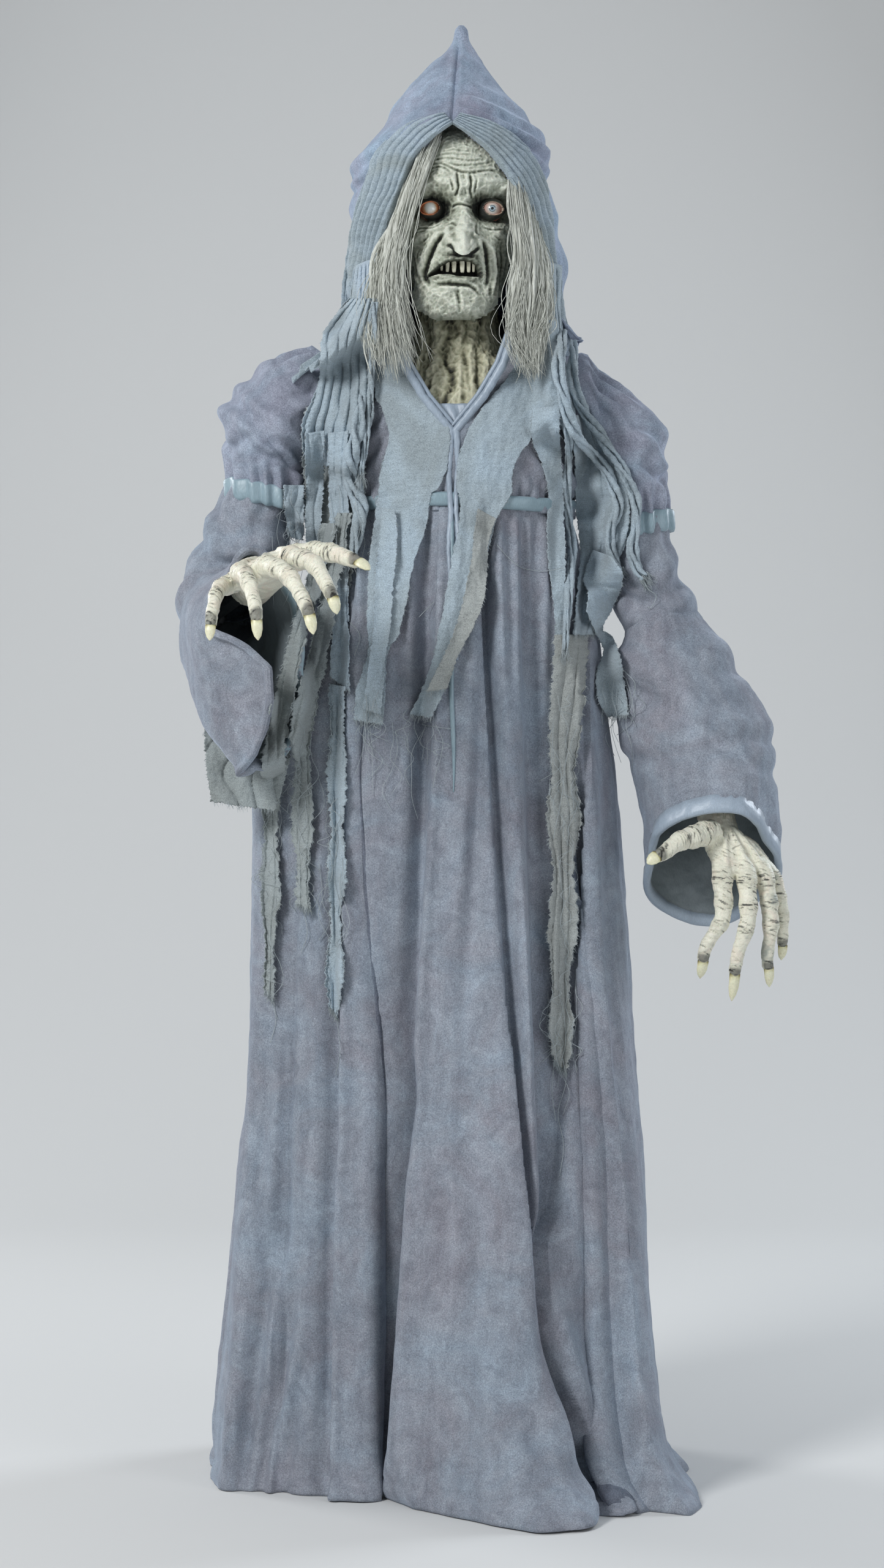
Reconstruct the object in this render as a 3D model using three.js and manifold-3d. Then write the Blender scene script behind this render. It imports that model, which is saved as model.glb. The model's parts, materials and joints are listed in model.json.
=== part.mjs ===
// Animated witch figure, life size: a pole stand with a moulded chest form, a turning head with a
// hinged jaw under a full latex mask, two posable arms with moulded hands, and a hooded velvet robe
// with torn gauze over it. Millimetres, +Z up, the figure faces -Y, origin on the floor under the pole.
import * as THREE from "three";
import { mergeVertices } from "three/addons/utils/BufferGeometryUtils.js";
import Module from "manifold-3d";

const wasm = await Module();
wasm.setup();

// ---------------------------------------------------------------- driving dimensions (mm)
const HEIGHT = 1830; // floor to hood tip
const HUB_R = 60, HUB_H = 34, BOSS_R = 27, BOSS_TOP = 84;
const LEG_R = 11, LEG_WALL = 2, LEG_IN = 24.6, LEG_OUT = 205, LEG_Z = 14.3;
const LEG_ANGLES = [300, 30, 120, 210]; // front right, back right, back left, front left, seen from above
const LOWER_R = 17, LOWER_IN = 15, LOWER_Z0 = 30.4, LOWER_Z1 = 900;
const UPPER_R = 14, UPPER_IN = 12, UPPER_Z0 = 700, UPPER_Z1 = 1378;
const FIT = 0.3; // running gap between separate pieces
const SHOULDER_Z = 1365, SHOULDER_X = 162, BAR_R = 13, PIN_R = 8;
const ELBOW_R = [-305, -10, 1085], WRIST_R = [-215, -260, 1125]; // the figure's own right arm
const ELBOW_L = [270, 0, 1060], WRIST_L = [325, -90, 820]; // the figure's own left arm
const ARM_R = 11, FORK_R = 16, TUBE_GAP = 30, PEG_R = 5;
const JAW_Y = -5, JAW_Z = 1545; // jaw pivot
const EYE_R = 14, EYE_Y = -91, EYE_Z = 1580, EYE_X = [-32, 45];
const SKULL = { x: 3, y: 10, z: 1600, rx: 70, ry: 88, wall: 4 };
const SEAM_Z = 1215; // high waist seam of the robe
const CLOTH = 5; // thickness the soft shells are drawn at

// ---------------------------------------------------------------- helpers
const V = (x, y, z) => new THREE.Vector3(x, y, z);
const of = (a) => V(a[0], a[1], a[2]);
const lerp = (a, b, t) => a + (b - a) * t;
const smooth = (t) => t * t * (3 - 2 * t);

function table(rows, z) {
  // rows [[z, ...values]] with z falling or rising: values at z, linear between rows
  const r = [...rows].sort((a, b) => a[0] - b[0]);
  if (z <= r[0][0]) return r[0].slice(1);
  for (let i = 1; i < r.length; i++)
    if (z <= r[i][0]) {
      const t = (z - r[i - 1][0]) / (r[i][0] - r[i - 1][0]);
      return r[i].slice(1).map((v, k) => lerp(r[i - 1][k + 1], v, t));
    }
  return r[r.length - 1].slice(1);
}

function solid(input) {
  // a closed three.js geometry, or a list of points and triangles, as a manifold with outward faces
  const g = input.index ? input.toNonIndexed() : input.clone();
  g.deleteAttribute("normal");
  g.deleteAttribute("uv");
  const m = mergeVertices(g, 1e-4);
  const vertProperties = new Float32Array(m.attributes.position.array);
  const triVerts = new Uint32Array(m.index.array);
  let s = new wasm.Manifold(new wasm.Mesh({ numProp: 3, vertProperties, triVerts }));
  if (s.volume() < 0) {
    for (let i = 0; i < triVerts.length; i += 3)
      [triVerts[i + 1], triVerts[i + 2]] = [triVerts[i + 2], triVerts[i + 1]];
    s = new wasm.Manifold(new wasm.Mesh({ numProp: 3, vertProperties, triVerts }));
  }
  return s;
}

// the one piece that matters of a cut solid, without the slivers beside it
const largest = (s) => s.decompose().reduce((a, b) => (b.volume() > a.volume() ? b : a));

function geometryOf(s) {
  const m = s.getMesh(), n = m.numProp;
  const p = new Float32Array(m.numVert * 3);
  for (let i = 0; i < m.numVert; i++) p.set(m.vertProperties.subarray(i * n, i * n + 3), i * 3);
  const g = new THREE.BufferGeometry()
    .setAttribute("position", new THREE.BufferAttribute(p, 3))
    .setIndex(new THREE.BufferAttribute(new Uint32Array(m.triVerts), 1));
  const flat = g.toNonIndexed();
  flat.computeVertexNormals();
  return flat;
}

function raw(points, tris) {
  const p = new Float32Array(points.length * 3);
  points.forEach((v, i) => p.set([v.x, v.y, v.z], i * 3));
  return new THREE.BufferGeometry()
    .setAttribute("position", new THREE.BufferAttribute(p, 3))
    .setIndex(new THREE.BufferAttribute(new Uint32Array(tris), 1));
}

function centroid(ring) {
  const c = V(0, 0, 0);
  ring.forEach((p) => c.add(p));
  return c.multiplyScalar(1 / ring.length);
}

function loft(rings) {
  // solid skinned over equal rings, with both ends closed
  const n = rings[0].length, pts = rings.flat(), tris = [];
  for (let k = 0; k + 1 < rings.length; k++)
    for (let i = 0; i < n; i++) {
      const a = k * n + i, b = k * n + ((i + 1) % n), c = a + n, d = b + n;
      tris.push(a, b, d, a, d, c);
    }
  const c0 = pts.length;
  pts.push(centroid(rings[0]), centroid(rings[rings.length - 1]));
  const last = (rings.length - 1) * n;
  for (let i = 0; i < n; i++) {
    const j = (i + 1) % n;
    tris.push(c0, j, i, c0 + 1, last + i, last + j);
  }
  return solid(raw(pts, tris));
}

function inset(ring, t) {
  // ring moved inwards by t, along the mean of its two edge normals in its own plane
  const c = centroid(ring), n = ring.length;
  return ring.map((p, i) => {
    const a = ring[(i + n - 1) % n], b = ring[(i + 1) % n];
    const along = b.clone().sub(a).normalize();
    const inward = c.clone().sub(p);
    inward.addScaledVector(along, -inward.dot(along)).normalize();
    return p.clone().addScaledVector(inward, t);
  });
}

function sleeve(rings, t = CLOTH) {
  // open-ended soft tube of wall t, skinned over rings
  const n = rings[0].length, m = rings.length;
  const inner = rings.map((r) => inset(r, t));
  const pts = [...rings.flat(), ...inner.flat()], off = n * m, tris = [];
  for (let k = 0; k + 1 < m; k++)
    for (let i = 0; i < n; i++) {
      const a = k * n + i, b = k * n + ((i + 1) % n), c = a + n, d = b + n;
      tris.push(a, b, d, a, d, c, off + a, off + d, off + b, off + a, off + c, off + d);
    }
  for (let i = 0; i < n; i++) {
    const j = (i + 1) % n, e = (m - 1) * n;
    tris.push(i, off + i, off + j, i, off + j, j);
    tris.push(e + i, e + j, off + e + j, e + i, off + e + j, off + e + i);
  }
  return solid(raw(pts, tris));
}

function sheet(grid, t) {
  // thin solid of thickness t behind a grid of points (rows of equal length)
  const m = grid.length, n = grid[0].length;
  const normal = (k, i) => {
    const a = grid[Math.max(k - 1, 0)][i], b = grid[Math.min(k + 1, m - 1)][i];
    const c = grid[k][Math.max(i - 1, 0)], d = grid[k][Math.min(i + 1, n - 1)];
    return b.clone().sub(a).cross(d.clone().sub(c)).normalize();
  };
  const front = grid.flat(), back = [];
  grid.forEach((row, k) => row.forEach((p, i) => back.push(p.clone().addScaledVector(normal(k, i), t))));
  const pts = [...front, ...back], off = m * n, tris = [];
  const quad = (a, b, c, d) => tris.push(a, b, c, a, c, d);
  for (let k = 0; k + 1 < m; k++)
    for (let i = 0; i + 1 < n; i++) {
      const a = k * n + i;
      quad(a, a + 1, a + n + 1, a + n);
      quad(off + a, off + a + n, off + a + n + 1, off + a + 1);
    }
  for (let i = 0; i + 1 < n; i++) {
    quad(i + 1, i, off + i, off + i + 1);
    const e = (m - 1) * n + i;
    quad(e, e + 1, off + e + 1, off + e);
  }
  for (let k = 0; k + 1 < m; k++) {
    const a = k * n, b = a + n - 1;
    quad(a, a + n, off + a + n, off + a);
    quad(b + n, b, off + b, off + b + n);
  }
  return solid(raw(pts, tris));
}

function frameOf(dir) {
  const d = dir.clone().normalize();
  const ref = Math.abs(d.z) > 0.9 ? V(1, 0, 0) : V(0, 0, 1);
  const u = ref.clone().cross(d).normalize();
  return { d, u, v: d.clone().cross(u) };
}

function ringAt(c, u, v, n) {
  return Array.from({ length: n }, (_, i) => {
    const t = (2 * Math.PI * i) / n;
    return c.clone().addScaledVector(u, Math.cos(t)).addScaledVector(v, Math.sin(t));
  });
}

function rod(a, b, r, n = 12, r2 = r) {
  const { u, v } = frameOf(b.clone().sub(a));
  return loft([
    ringAt(a, u.clone().multiplyScalar(r), v.clone().multiplyScalar(r), n),
    ringAt(b, u.clone().multiplyScalar(r2), v.clone().multiplyScalar(r2), n),
  ]);
}

function limb(points, radii, n = 8) {
  // rounded tapering limb through points
  let side = null;
  const rings = points.map((p, i) => {
    const a = points[Math.max(i - 1, 0)], b = points[Math.min(i + 1, points.length - 1)];
    const { d, u } = frameOf(b.clone().sub(a));
    side = (side || u).clone().addScaledVector(d, -(side || u).dot(d)).normalize();
    const other = d.clone().cross(side);
    return ringAt(p, side.clone().multiplyScalar(radii[i]), other.multiplyScalar(radii[i]), n);
  });
  return loft(rings);
}

const box = (x0, x1, y0, y1, z0, z1) => {
  const g = new THREE.BoxGeometry(x1 - x0, y1 - y0, z1 - z0);
  g.translate((x0 + x1) / 2, (y0 + y1) / 2, (z0 + z1) / 2);
  return solid(g);
};

function lathe(profile, n = 16) {
  const g = new THREE.LatheGeometry(profile.map(([r, z]) => new THREE.Vector2(r, z)), n);
  g.rotateX(Math.PI / 2); // lathe axis Y becomes Z
  return solid(g);
}

function prism(outline, y0, y1) {
  // outline in X and Z, pushed from y0 to y1
  const shape = new THREE.Shape(outline.map(([x, z]) => new THREE.Vector2(x, z)));
  const g = new THREE.ExtrudeGeometry(shape, { depth: y1 - y0, bevelEnabled: false });
  g.rotateX(Math.PI / 2); // shape plane XY becomes XZ, depth runs to -Y
  g.translate(0, y1, 0);
  return solid(g);
}

// closed ring in plan at height z, with its own half depths in front of and behind y = 0
function planRing(z, x0, x1, front, back, n) {
  const cx = (x0 + x1) / 2, a = (x1 - x0) / 2;
  return Array.from({ length: n }, (_, i) => {
    const t = (2 * Math.PI * i) / n, s = Math.sin(t);
    return V(cx + a * Math.cos(t), s * (s < 0 ? front : back), z);
  });
}

// front surface depth of a stack of plan rings [[z, x0, x1, front, back]] at x, z
function frontOf(rows, x, z) {
  const [x0, x1, f] = table(rows, z);
  const a = (x1 - x0) / 2, k = Math.min(1, Math.abs((x - (x0 + x1) / 2) / a));
  return f * Math.sqrt(Math.max(0, 1 - k * k));
}

// ---------------------------------------------------------------- scene graph
const colours = {
  steel: [0x8a8f94, 0.45, 0.9], black: [0x26272a, 0.6, 0.1], form: [0x8f9296, 0.6, 0.0],
  motor: [0x3a3c40, 0.5, 0.3], velvet: [0x7f889b, 0.9, 0.0], gauze: [0x95a5ac, 0.95, 0.0],
  satin: [0x8fa6b2, 0.5, 0.0], skin: [0xb1b5a3, 0.6, 0.0], hand: [0xd9d7bd, 0.6, 0.0],
  hair: [0xb4b8b0, 0.8, 0.0], eyeWhite: [0xe6e4da, 0.2, 0.0], eyeGrey: [0xb9c2c4, 0.2, 0.0],
  teeth: [0xd8d4b4, 0.35, 0.0], button: [0xa03028, 0.5, 0.0],
};
const at = (name, parent, x, y, z) => {
  const g = new THREE.Group();
  g.name = name + "_group";
  parent.add(g);
  const p = parent.userData.origin || V(0, 0, 0);
  g.position.set(x - p.x, y - p.y, z - p.z);
  g.userData.origin = V(x, y, z);
  return g;
};
// puts a solid drawn in the figure's frame into a group that stands at its own pivot
function put(name, group, s, colour) {
  const [c, roughness, metalness] = colours[colour];
  const g = geometryOf(s), o = group.userData.origin || V(0, 0, 0);
  g.translate(-o.x, -o.y, -o.z);
  const mesh = new THREE.Mesh(g, new THREE.MeshStandardMaterial({ color: c, roughness, metalness }));
  mesh.name = name;
  group.add(mesh);
  return mesh;
}

const root = new THREE.Group();
root.name = "animated_witch_figure";
root.userData.origin = V(0, 0, 0);
const stand = at("stand", root, 0, 0, 0);
const head = at("head", stand, 0, 0, 1440);
const jaw = at("jaw", head, 0, JAW_Y, JAW_Z);

// ---------------------------------------------------------------- stand
{
  let hub = lathe([[0, 0], [HUB_R, 0], [HUB_R, HUB_H - 4], [HUB_R - 4, HUB_H], [BOSS_R, HUB_H],
    [BOSS_R, BOSS_TOP], [0, BOSS_TOP]], 24);
  hub = hub.subtract(rod(V(0, 0, LOWER_Z0 - 0.4), V(0, 0, BOSS_TOP + 10), LOWER_R + 2 * FIT, 16));
  for (const a of LEG_ANGLES) {
    const c = Math.cos((a * Math.PI) / 180), s = Math.sin((a * Math.PI) / 180);
    hub = hub.subtract(rod(V(c * (LEG_IN - 0.6), s * (LEG_IN - 0.6), LEG_Z), V(c * 80, s * 80, LEG_Z), LEG_R + FIT, 12));
  }
  put("base_hub", stand, hub, "black");

  const leg = rod(V(LEG_IN, 0, 0), V(LEG_OUT, 0, 0), LEG_R, 12)
    .subtract(rod(V(LEG_IN - 5, 0, 0), V(LEG_OUT + 5, 0, 0), LEG_R - LEG_WALL, 12));
  const cap = box(184, 214, -15, 15, -LEG_Z, LEG_Z)
    .subtract(rod(V(180, 0, 0), V(LEG_OUT + 0.6, 0, 0), LEG_R + FIT, 12));
  const tags = ["front_left", "back_left", "back_right", "front_right"];
  LEG_ANGLES.forEach((a, i) => {
    const turn = new THREE.Group();
    turn.position.z = LEG_Z;
    turn.rotation.z = (a * Math.PI) / 180;
    turn.userData.origin = V(0, 0, 0);
    stand.add(turn);
    put("leg_tube_" + tags[i], turn, leg, "steel");
    put("foot_cap_" + tags[i], turn, cap, "black");
  });

  put("lower_pole", stand, lathe([[LOWER_IN, LOWER_Z0], [LOWER_R, LOWER_Z0], [LOWER_R, LOWER_Z1],
    [LOWER_IN, LOWER_Z1], [LOWER_IN, LOWER_Z0]], 16), "steel");
  put("upper_pole", stand, lathe([[UPPER_IN, UPPER_Z0], [UPPER_R, UPPER_Z0], [UPPER_R, UPPER_Z1],
    [UPPER_IN, UPPER_Z1], [UPPER_IN, UPPER_Z0]], 16), "steel");
  put("pole_coupler", stand, lathe([[LOWER_R + FIT, 880], [24, 880], [24, 930], [UPPER_R + FIT, 930],
    [UPPER_R + FIT, LOWER_Z1 + 0.4], [LOWER_R + FIT, LOWER_Z1 + 0.4], [LOWER_R + FIT, 880]], 16), "black");

  let bar = box(-30, 30, -28, 28, 1338, 1392).subtract(rod(V(0, 0, 1300), V(0, 0, UPPER_Z1 + 0.4), UPPER_R + FIT, 16));
  const side = rod(V(25, 0, SHOULDER_Z), V(150, 0, SHOULDER_Z), BAR_R, 12)
    .add(rod(V(149, 0, SHOULDER_Z), V(176, 0, SHOULDER_Z), PIN_R, 12));
  bar = bar.add(side).add(side.scale([-1, 1, 1]));
  put("shoulder_bar", stand, bar, "steel");
}

// moulded chest form: front and back shells bolted over the shoulder bar
const CHEST = [[1130, -125, 125, 85, 80], [1200, -132, 132, 95, 88], [1290, -140, 140, 100, 92],
  [1350, -139, 139, 92, 88], [1385, -118, 118, 66, 68], [1402, -86, 86, 50, 54]];
{
  const ringsAt = (t, extra) => CHEST.map(([z, a, b, f, k], i) =>
    planRing(i === 0 ? z - extra : i === CHEST.length - 1 ? z + extra : z, a + t, b - t, f - t, k - t, 20));
  const shell = loft(ringsAt(0, 0)).subtract(loft(ringsAt(4, 3)))
    .subtract(rod(V(-200, 0, SHOULDER_Z), V(200, 0, SHOULDER_Z), BAR_R + FIT, 12));
  put("chest_form_front", stand, shell.subtract(box(-300, 300, -0.3, 300, 1000, 1500)), "form");
  put("chest_form_back", stand, shell.subtract(box(-300, 300, -300, 0.3, 1000, 1500)), "form");
}

// control box on the pole, with its cover, speaker and mode button
{
  let b = box(-55, 55, 22, 84, 960, 1105).subtract(box(-52, 52, 25, 90, 963, 1102));
  b = b.add(box(-22, 22, -22, 23, 1000, 1056)).subtract(rod(V(0, 0, 990), V(0, 0, 1070), UPPER_R + FIT, 16));
  b = b.subtract(rod(V(45, 50, 1070), V(60, 50, 1070), 8 + FIT, 16));
  put("control_box", stand, b, "black");
  let cover = box(-55, 55, 84.3, 87.3, 960, 1105);
  for (const x of [-16, -8, 0, 8, 16]) cover = cover.subtract(box(x - 1.5, x + 1.5, 80, 90, 985, 1030));
  put("control_box_cover", stand, cover, "black");
  const sp = lathe([[0, 0], [16, 0], [16, 8], [20, 10], [33, 22], [36, 22], [36, 25], [31, 25], [14, 12], [0, 14]], 14);
  const g = geometryOf(sp);
  g.rotateX(-Math.PI / 2); // opens towards +Y, behind the cover's slots
  const m = put("speaker", stand, solid(g).translate([0, 57.5, 1007.5]), "motor");
  const button = at("mode_button", stand, 55, 50, 1070);
  put("mode_button", button, rod(V(46.5, 50, 1070), V(49.5, 50, 1070), 11, 16)
    .add(rod(V(49, 50, 1070), V(61, 50, 1070), 8, 16)), "button");
}

// neck gear motor on the shoulder bar, and the shaft it turns
put("neck_motor", stand, box(-28, 28, -28, 28, 1392.3, 1434).add(rod(V(0, 0, 1433), V(0, 0, 1440), 12, 12))
  .subtract(rod(V(0, 0, 1428), V(0, 0, 1445), 4.6, 10)), "motor");
put("neck_shaft", head, rod(V(0, 0, 1429), V(0, 0, 1441), 4, 10).add(rod(V(0, 0, 1440.4), V(0, 0, 1446), 18, 14))
  .add(rod(V(0, 0, 1445), V(0, 0, 1497), 8, 12)).add(rod(V(0, 0, 1496), V(0, 0, 1500), 26, 16)), "steel");

// skull frame: cap, cross bar, cheeks with the jaw pivot, post and foot plate
{
  const arc = (r, k) => Array.from({ length: 6 }, (_, i) => {
    const t = (Math.PI / 2) * (i / 5);
    return [k * Math.cos(t), r * Math.sin(t)];
  });
  const outer = arc(SKULL.ry, SKULL.ry), inner = arc(SKULL.ry - SKULL.wall, SKULL.ry - SKULL.wall).reverse();
  let s = lathe([...outer, ...inner, outer[0]].map(([r, z]) => [Math.max(r, 0), z]), 18);
  s = s.scale([SKULL.rx / SKULL.ry, 1, 1]).translate([SKULL.x, SKULL.y, SKULL.z - 28]);
  s = s.add(box(-64, 70, -8, 16, 1560, 1575))
    .add(box(-10, 10, 8, 18, 1502, 1565)).add(rod(V(0, 0, 1500.4), V(0, 0, 1505), 26, 16));
  for (const k of [-1, 1]) s = s.add(box(k < 0 ? -44 : 40, k < 0 ? -40 : 44, -16, 8, 1534, 1565));
  s = s.add(rod(V(-43, JAW_Y, JAW_Z), V(-56, JAW_Y, JAW_Z), 4, 12));
  s = s.subtract(rod(V(36, JAW_Y, JAW_Z), V(60, JAW_Y, JAW_Z), 4.4, 12));
  put("skull_frame", head, s, "form");
  put("jaw_motor", head, box(12, 39.6, -18, 7.6, 1528, 1559.6)
    .add(rod(V(39, JAW_Y, JAW_Z), V(56, JAW_Y, JAW_Z), 3.6, 12)), "motor");
  let lever = null;
  for (const k of [-1, 1]) {
    const x0 = k * 50, x1 = k * 54;
    const eye = rod(V(x0, JAW_Y, JAW_Z), V(x1, JAW_Y, JAW_Z), 10, 12);
    const arm = loft([
      [V(x0, JAW_Y - 4, JAW_Z + 5), V(x1, JAW_Y - 4, JAW_Z + 5), V(x1, JAW_Y, JAW_Z - 8), V(x0, JAW_Y, JAW_Z - 8)],
      [V(k * 20, -100, 1484), V(k * 25, -100, 1484), V(k * 25, -96, 1472), V(k * 20, -96, 1472)],
    ]);
    const one = eye.add(arm).subtract(rod(V(k * 45, JAW_Y, JAW_Z), V(k * 60, JAW_Y, JAW_Z), k < 0 ? 4.4 : 4.0, 12));
    lever = lever ? lever.add(one) : one;
  }
  put("jaw_lever", jaw, lever.add(box(-25, 25, -102, -96, 1472, 1484)), "steel");
}

// mask: face over the skull frame, jaw below the mouth, loose neck below that
const FACE = [[1442, -18, 20, 112, -80], [1450, -36, 38, 124, -62], [1470, -52, 54, 127, -36], [1500, -64, 67, 124, 30],
  [1540, -72, 80, 125, 70], [1580, -78, 86, 114, 88], [1620, -78, 86, 118, 92], [1660, -64, 72, 106, 80],
  [1688, -34, 42, 78, 40]];
{
  const ringsAt = (t, lift) => FACE.map(([z, a, b, f, k], i) => {
    const cx = (a + b) / 2, h = (b - a) / 2 - t, mid = (k - f) / 2, d = (k + f) / 2 - t;
    return Array.from({ length: 22 }, (_, j) => {
      const w = (2 * Math.PI * j) / 22;
      return V(cx + h * Math.cos(w), mid + d * Math.sin(w), z + (i === 0 ? lift : i === FACE.length - 1 ? -lift : 0));
    });
  });
  let m = loft(ringsAt(0, 0));
  // hooked nose and brow ridge
  m = m.add(limb([V(6, -108, 1585), V(8, -128, 1562), V(10, -148, 1540), V(11, -160, 1524), V(11, -152, 1514)], [9, 13, 16, 12, 6], 10));
  m = m.add(limb([V(-58, -84, 1600), V(-32, -106, 1603), V(6, -114, 1597), V(44, -106, 1603), V(64, -84, 1600)], [5, 9, 8, 9, 5], 8));
  const hollow = loft(ringsAt(CLOTH, 4));
  // mouth cut: a plane through the jaw pivot, so the jaw opens away from it
  const cut = (gap, up) => {
    const far = -400, z = (y) => JAW_Z + gap + ((1502 - JAW_Z) / (-125 - JAW_Y)) * (y - JAW_Y);
    const h = up ? 600 : -600;
    return loft([
      [V(-300, far, z(far)), V(-300, 300, z(300)), V(-300, 300, z(300) + h), V(-300, far, z(far) + h)],
      [V(300, far, z(far)), V(300, 300, z(300)), V(300, 300, z(300) + h), V(300, far, z(far) + h)],
    ]);
  };
  const shell = m.subtract(hollow);
  let face = shell.subtract(cut(0.8, false)).subtract(box(-300, 300, 4, 300, 1300, 1800)).subtract(box(-60, 62, -60, 300, 1480, 1550));
  for (const x of EYE_X) face = face.subtract(rod(V(x, -200, EYE_Z), V(x, -60, EYE_Z), EYE_R + 3, 14));
  put("mask_face", head, largest(face), "skin");
  const low = shell.subtract(cut(-0.8, true)).subtract(box(-300, 300, -30, 300, 1300, 1800)).subtract(box(-57, 59, -70, 300, 1380, 1560));
  put("mask_jaw", jaw, largest(low), "skin");
  EYE_X.forEach((x, i) => {
    const ball = new THREE.SphereGeometry(EYE_R, 12, 8);
    ball.rotateX(Math.PI / 2);
    ball.translate(x, EYE_Y, EYE_Z);
    put(i ? "eye_left" : "eye_right", head, solid(ball).add(rod(V(x, EYE_Y, EYE_Z), V(x, -70, EYE_Z), 4, 8)), i ? "eyeGrey" : "eyeWhite");
  });
  let teeth = box(-24, 30, -108, -101, 1508, 1515);
  for (const [x, w, d] of [[-17, 3.4, 9], [-5, 4.5, 12], [5, 4.5, 12], [14, 3.6, 10], [22, 3.6, 10]])
    teeth = teeth.add(loft([
      [V(x - w, -107.5, 1509), V(x + w, -107.5, 1509), V(x + w, -102, 1509), V(x - w, -102, 1509)],
      [V(x - w * 0.6, -107, 1509 - d), V(x + w * 0.6, -107, 1509 - d), V(x + w * 0.6, -104, 1509 - d), V(x - w * 0.6, -104, 1509 - d)],
    ]));
  put("upper_teeth", head, teeth, "teeth");

  const NECK = [[1406, -50, 54, 46, 50], [1425, -46, 50, 46, 52], [1440, -46, 50, 44, 54]];
  const tube = sleeve(NECK.map(([z, a, b, f, k]) => planRing(z, a, b, f, k, 18)), 4);
  const bib = [];
  for (const z of [1418, 1404, 1390, 1372, 1345, 1318, 1290]) {
    const w = lerp(50, 24, (1418 - z) / 128), row = [];
    for (let i = 0; i <= 6; i++) {
      const x = 1 + lerp(-w, w, i / 6);
      const y = z > 1410 ? -frontOf(NECK, x, 1410) + 1 : -frontOf(CHEST, x, Math.min(z, 1401)) - (z > 1385 ? 6 : 3);
      row.push(V(x, y, z));
    }
    bib.push(row);
  }
  put("mask_neck", stand, tube.add(sheet(bib, 4)), "skin");
}

// ---------------------------------------------------------------- arms
// hand of tapering fingers joined to a palm, with a peg that swivels in the forearm
function hand(wrist, f, fingers, knuckleMid, across, thick, wristAcross) {
  const n = knuckleMid.clone().sub(wrist).cross(across).normalize();
  const start = wrist.clone().addScaledVector(f, 1);
  const wa = wristAcross.clone().normalize(), wn = f.clone().cross(wa).normalize();
  const ringOf = (c, a, b) => ringAt(c, a, b, 10);
  const mid = start.clone().lerp(knuckleMid, 0.45);
  let s = loft([
    ringOf(start, wa.clone().multiplyScalar(23), wn.clone().multiplyScalar(19)),
    ringOf(start.clone().addScaledVector(f, 14), wa.clone().multiplyScalar(25), wn.clone().multiplyScalar(19)),
    ringOf(mid, across.clone().multiplyScalar(0.86), n.clone().multiplyScalar(thick + 3)),
    ringOf(knuckleMid, across.clone(), n.clone().multiplyScalar(thick)),
    ringOf(knuckleMid.clone().addScaledVector(knuckleMid.clone().sub(wrist).normalize(), 8), across.clone().multiplyScalar(0.86), n.clone().multiplyScalar(thick * 0.6)),
  ]);
  for (const [pts, r] of fingers) s = s.add(limb(pts.map(of), r, 7));
  return s.add(rod(start.clone().addScaledVector(f, -27), start.clone().addScaledVector(f, 3), PEG_R, 12));
}

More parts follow.
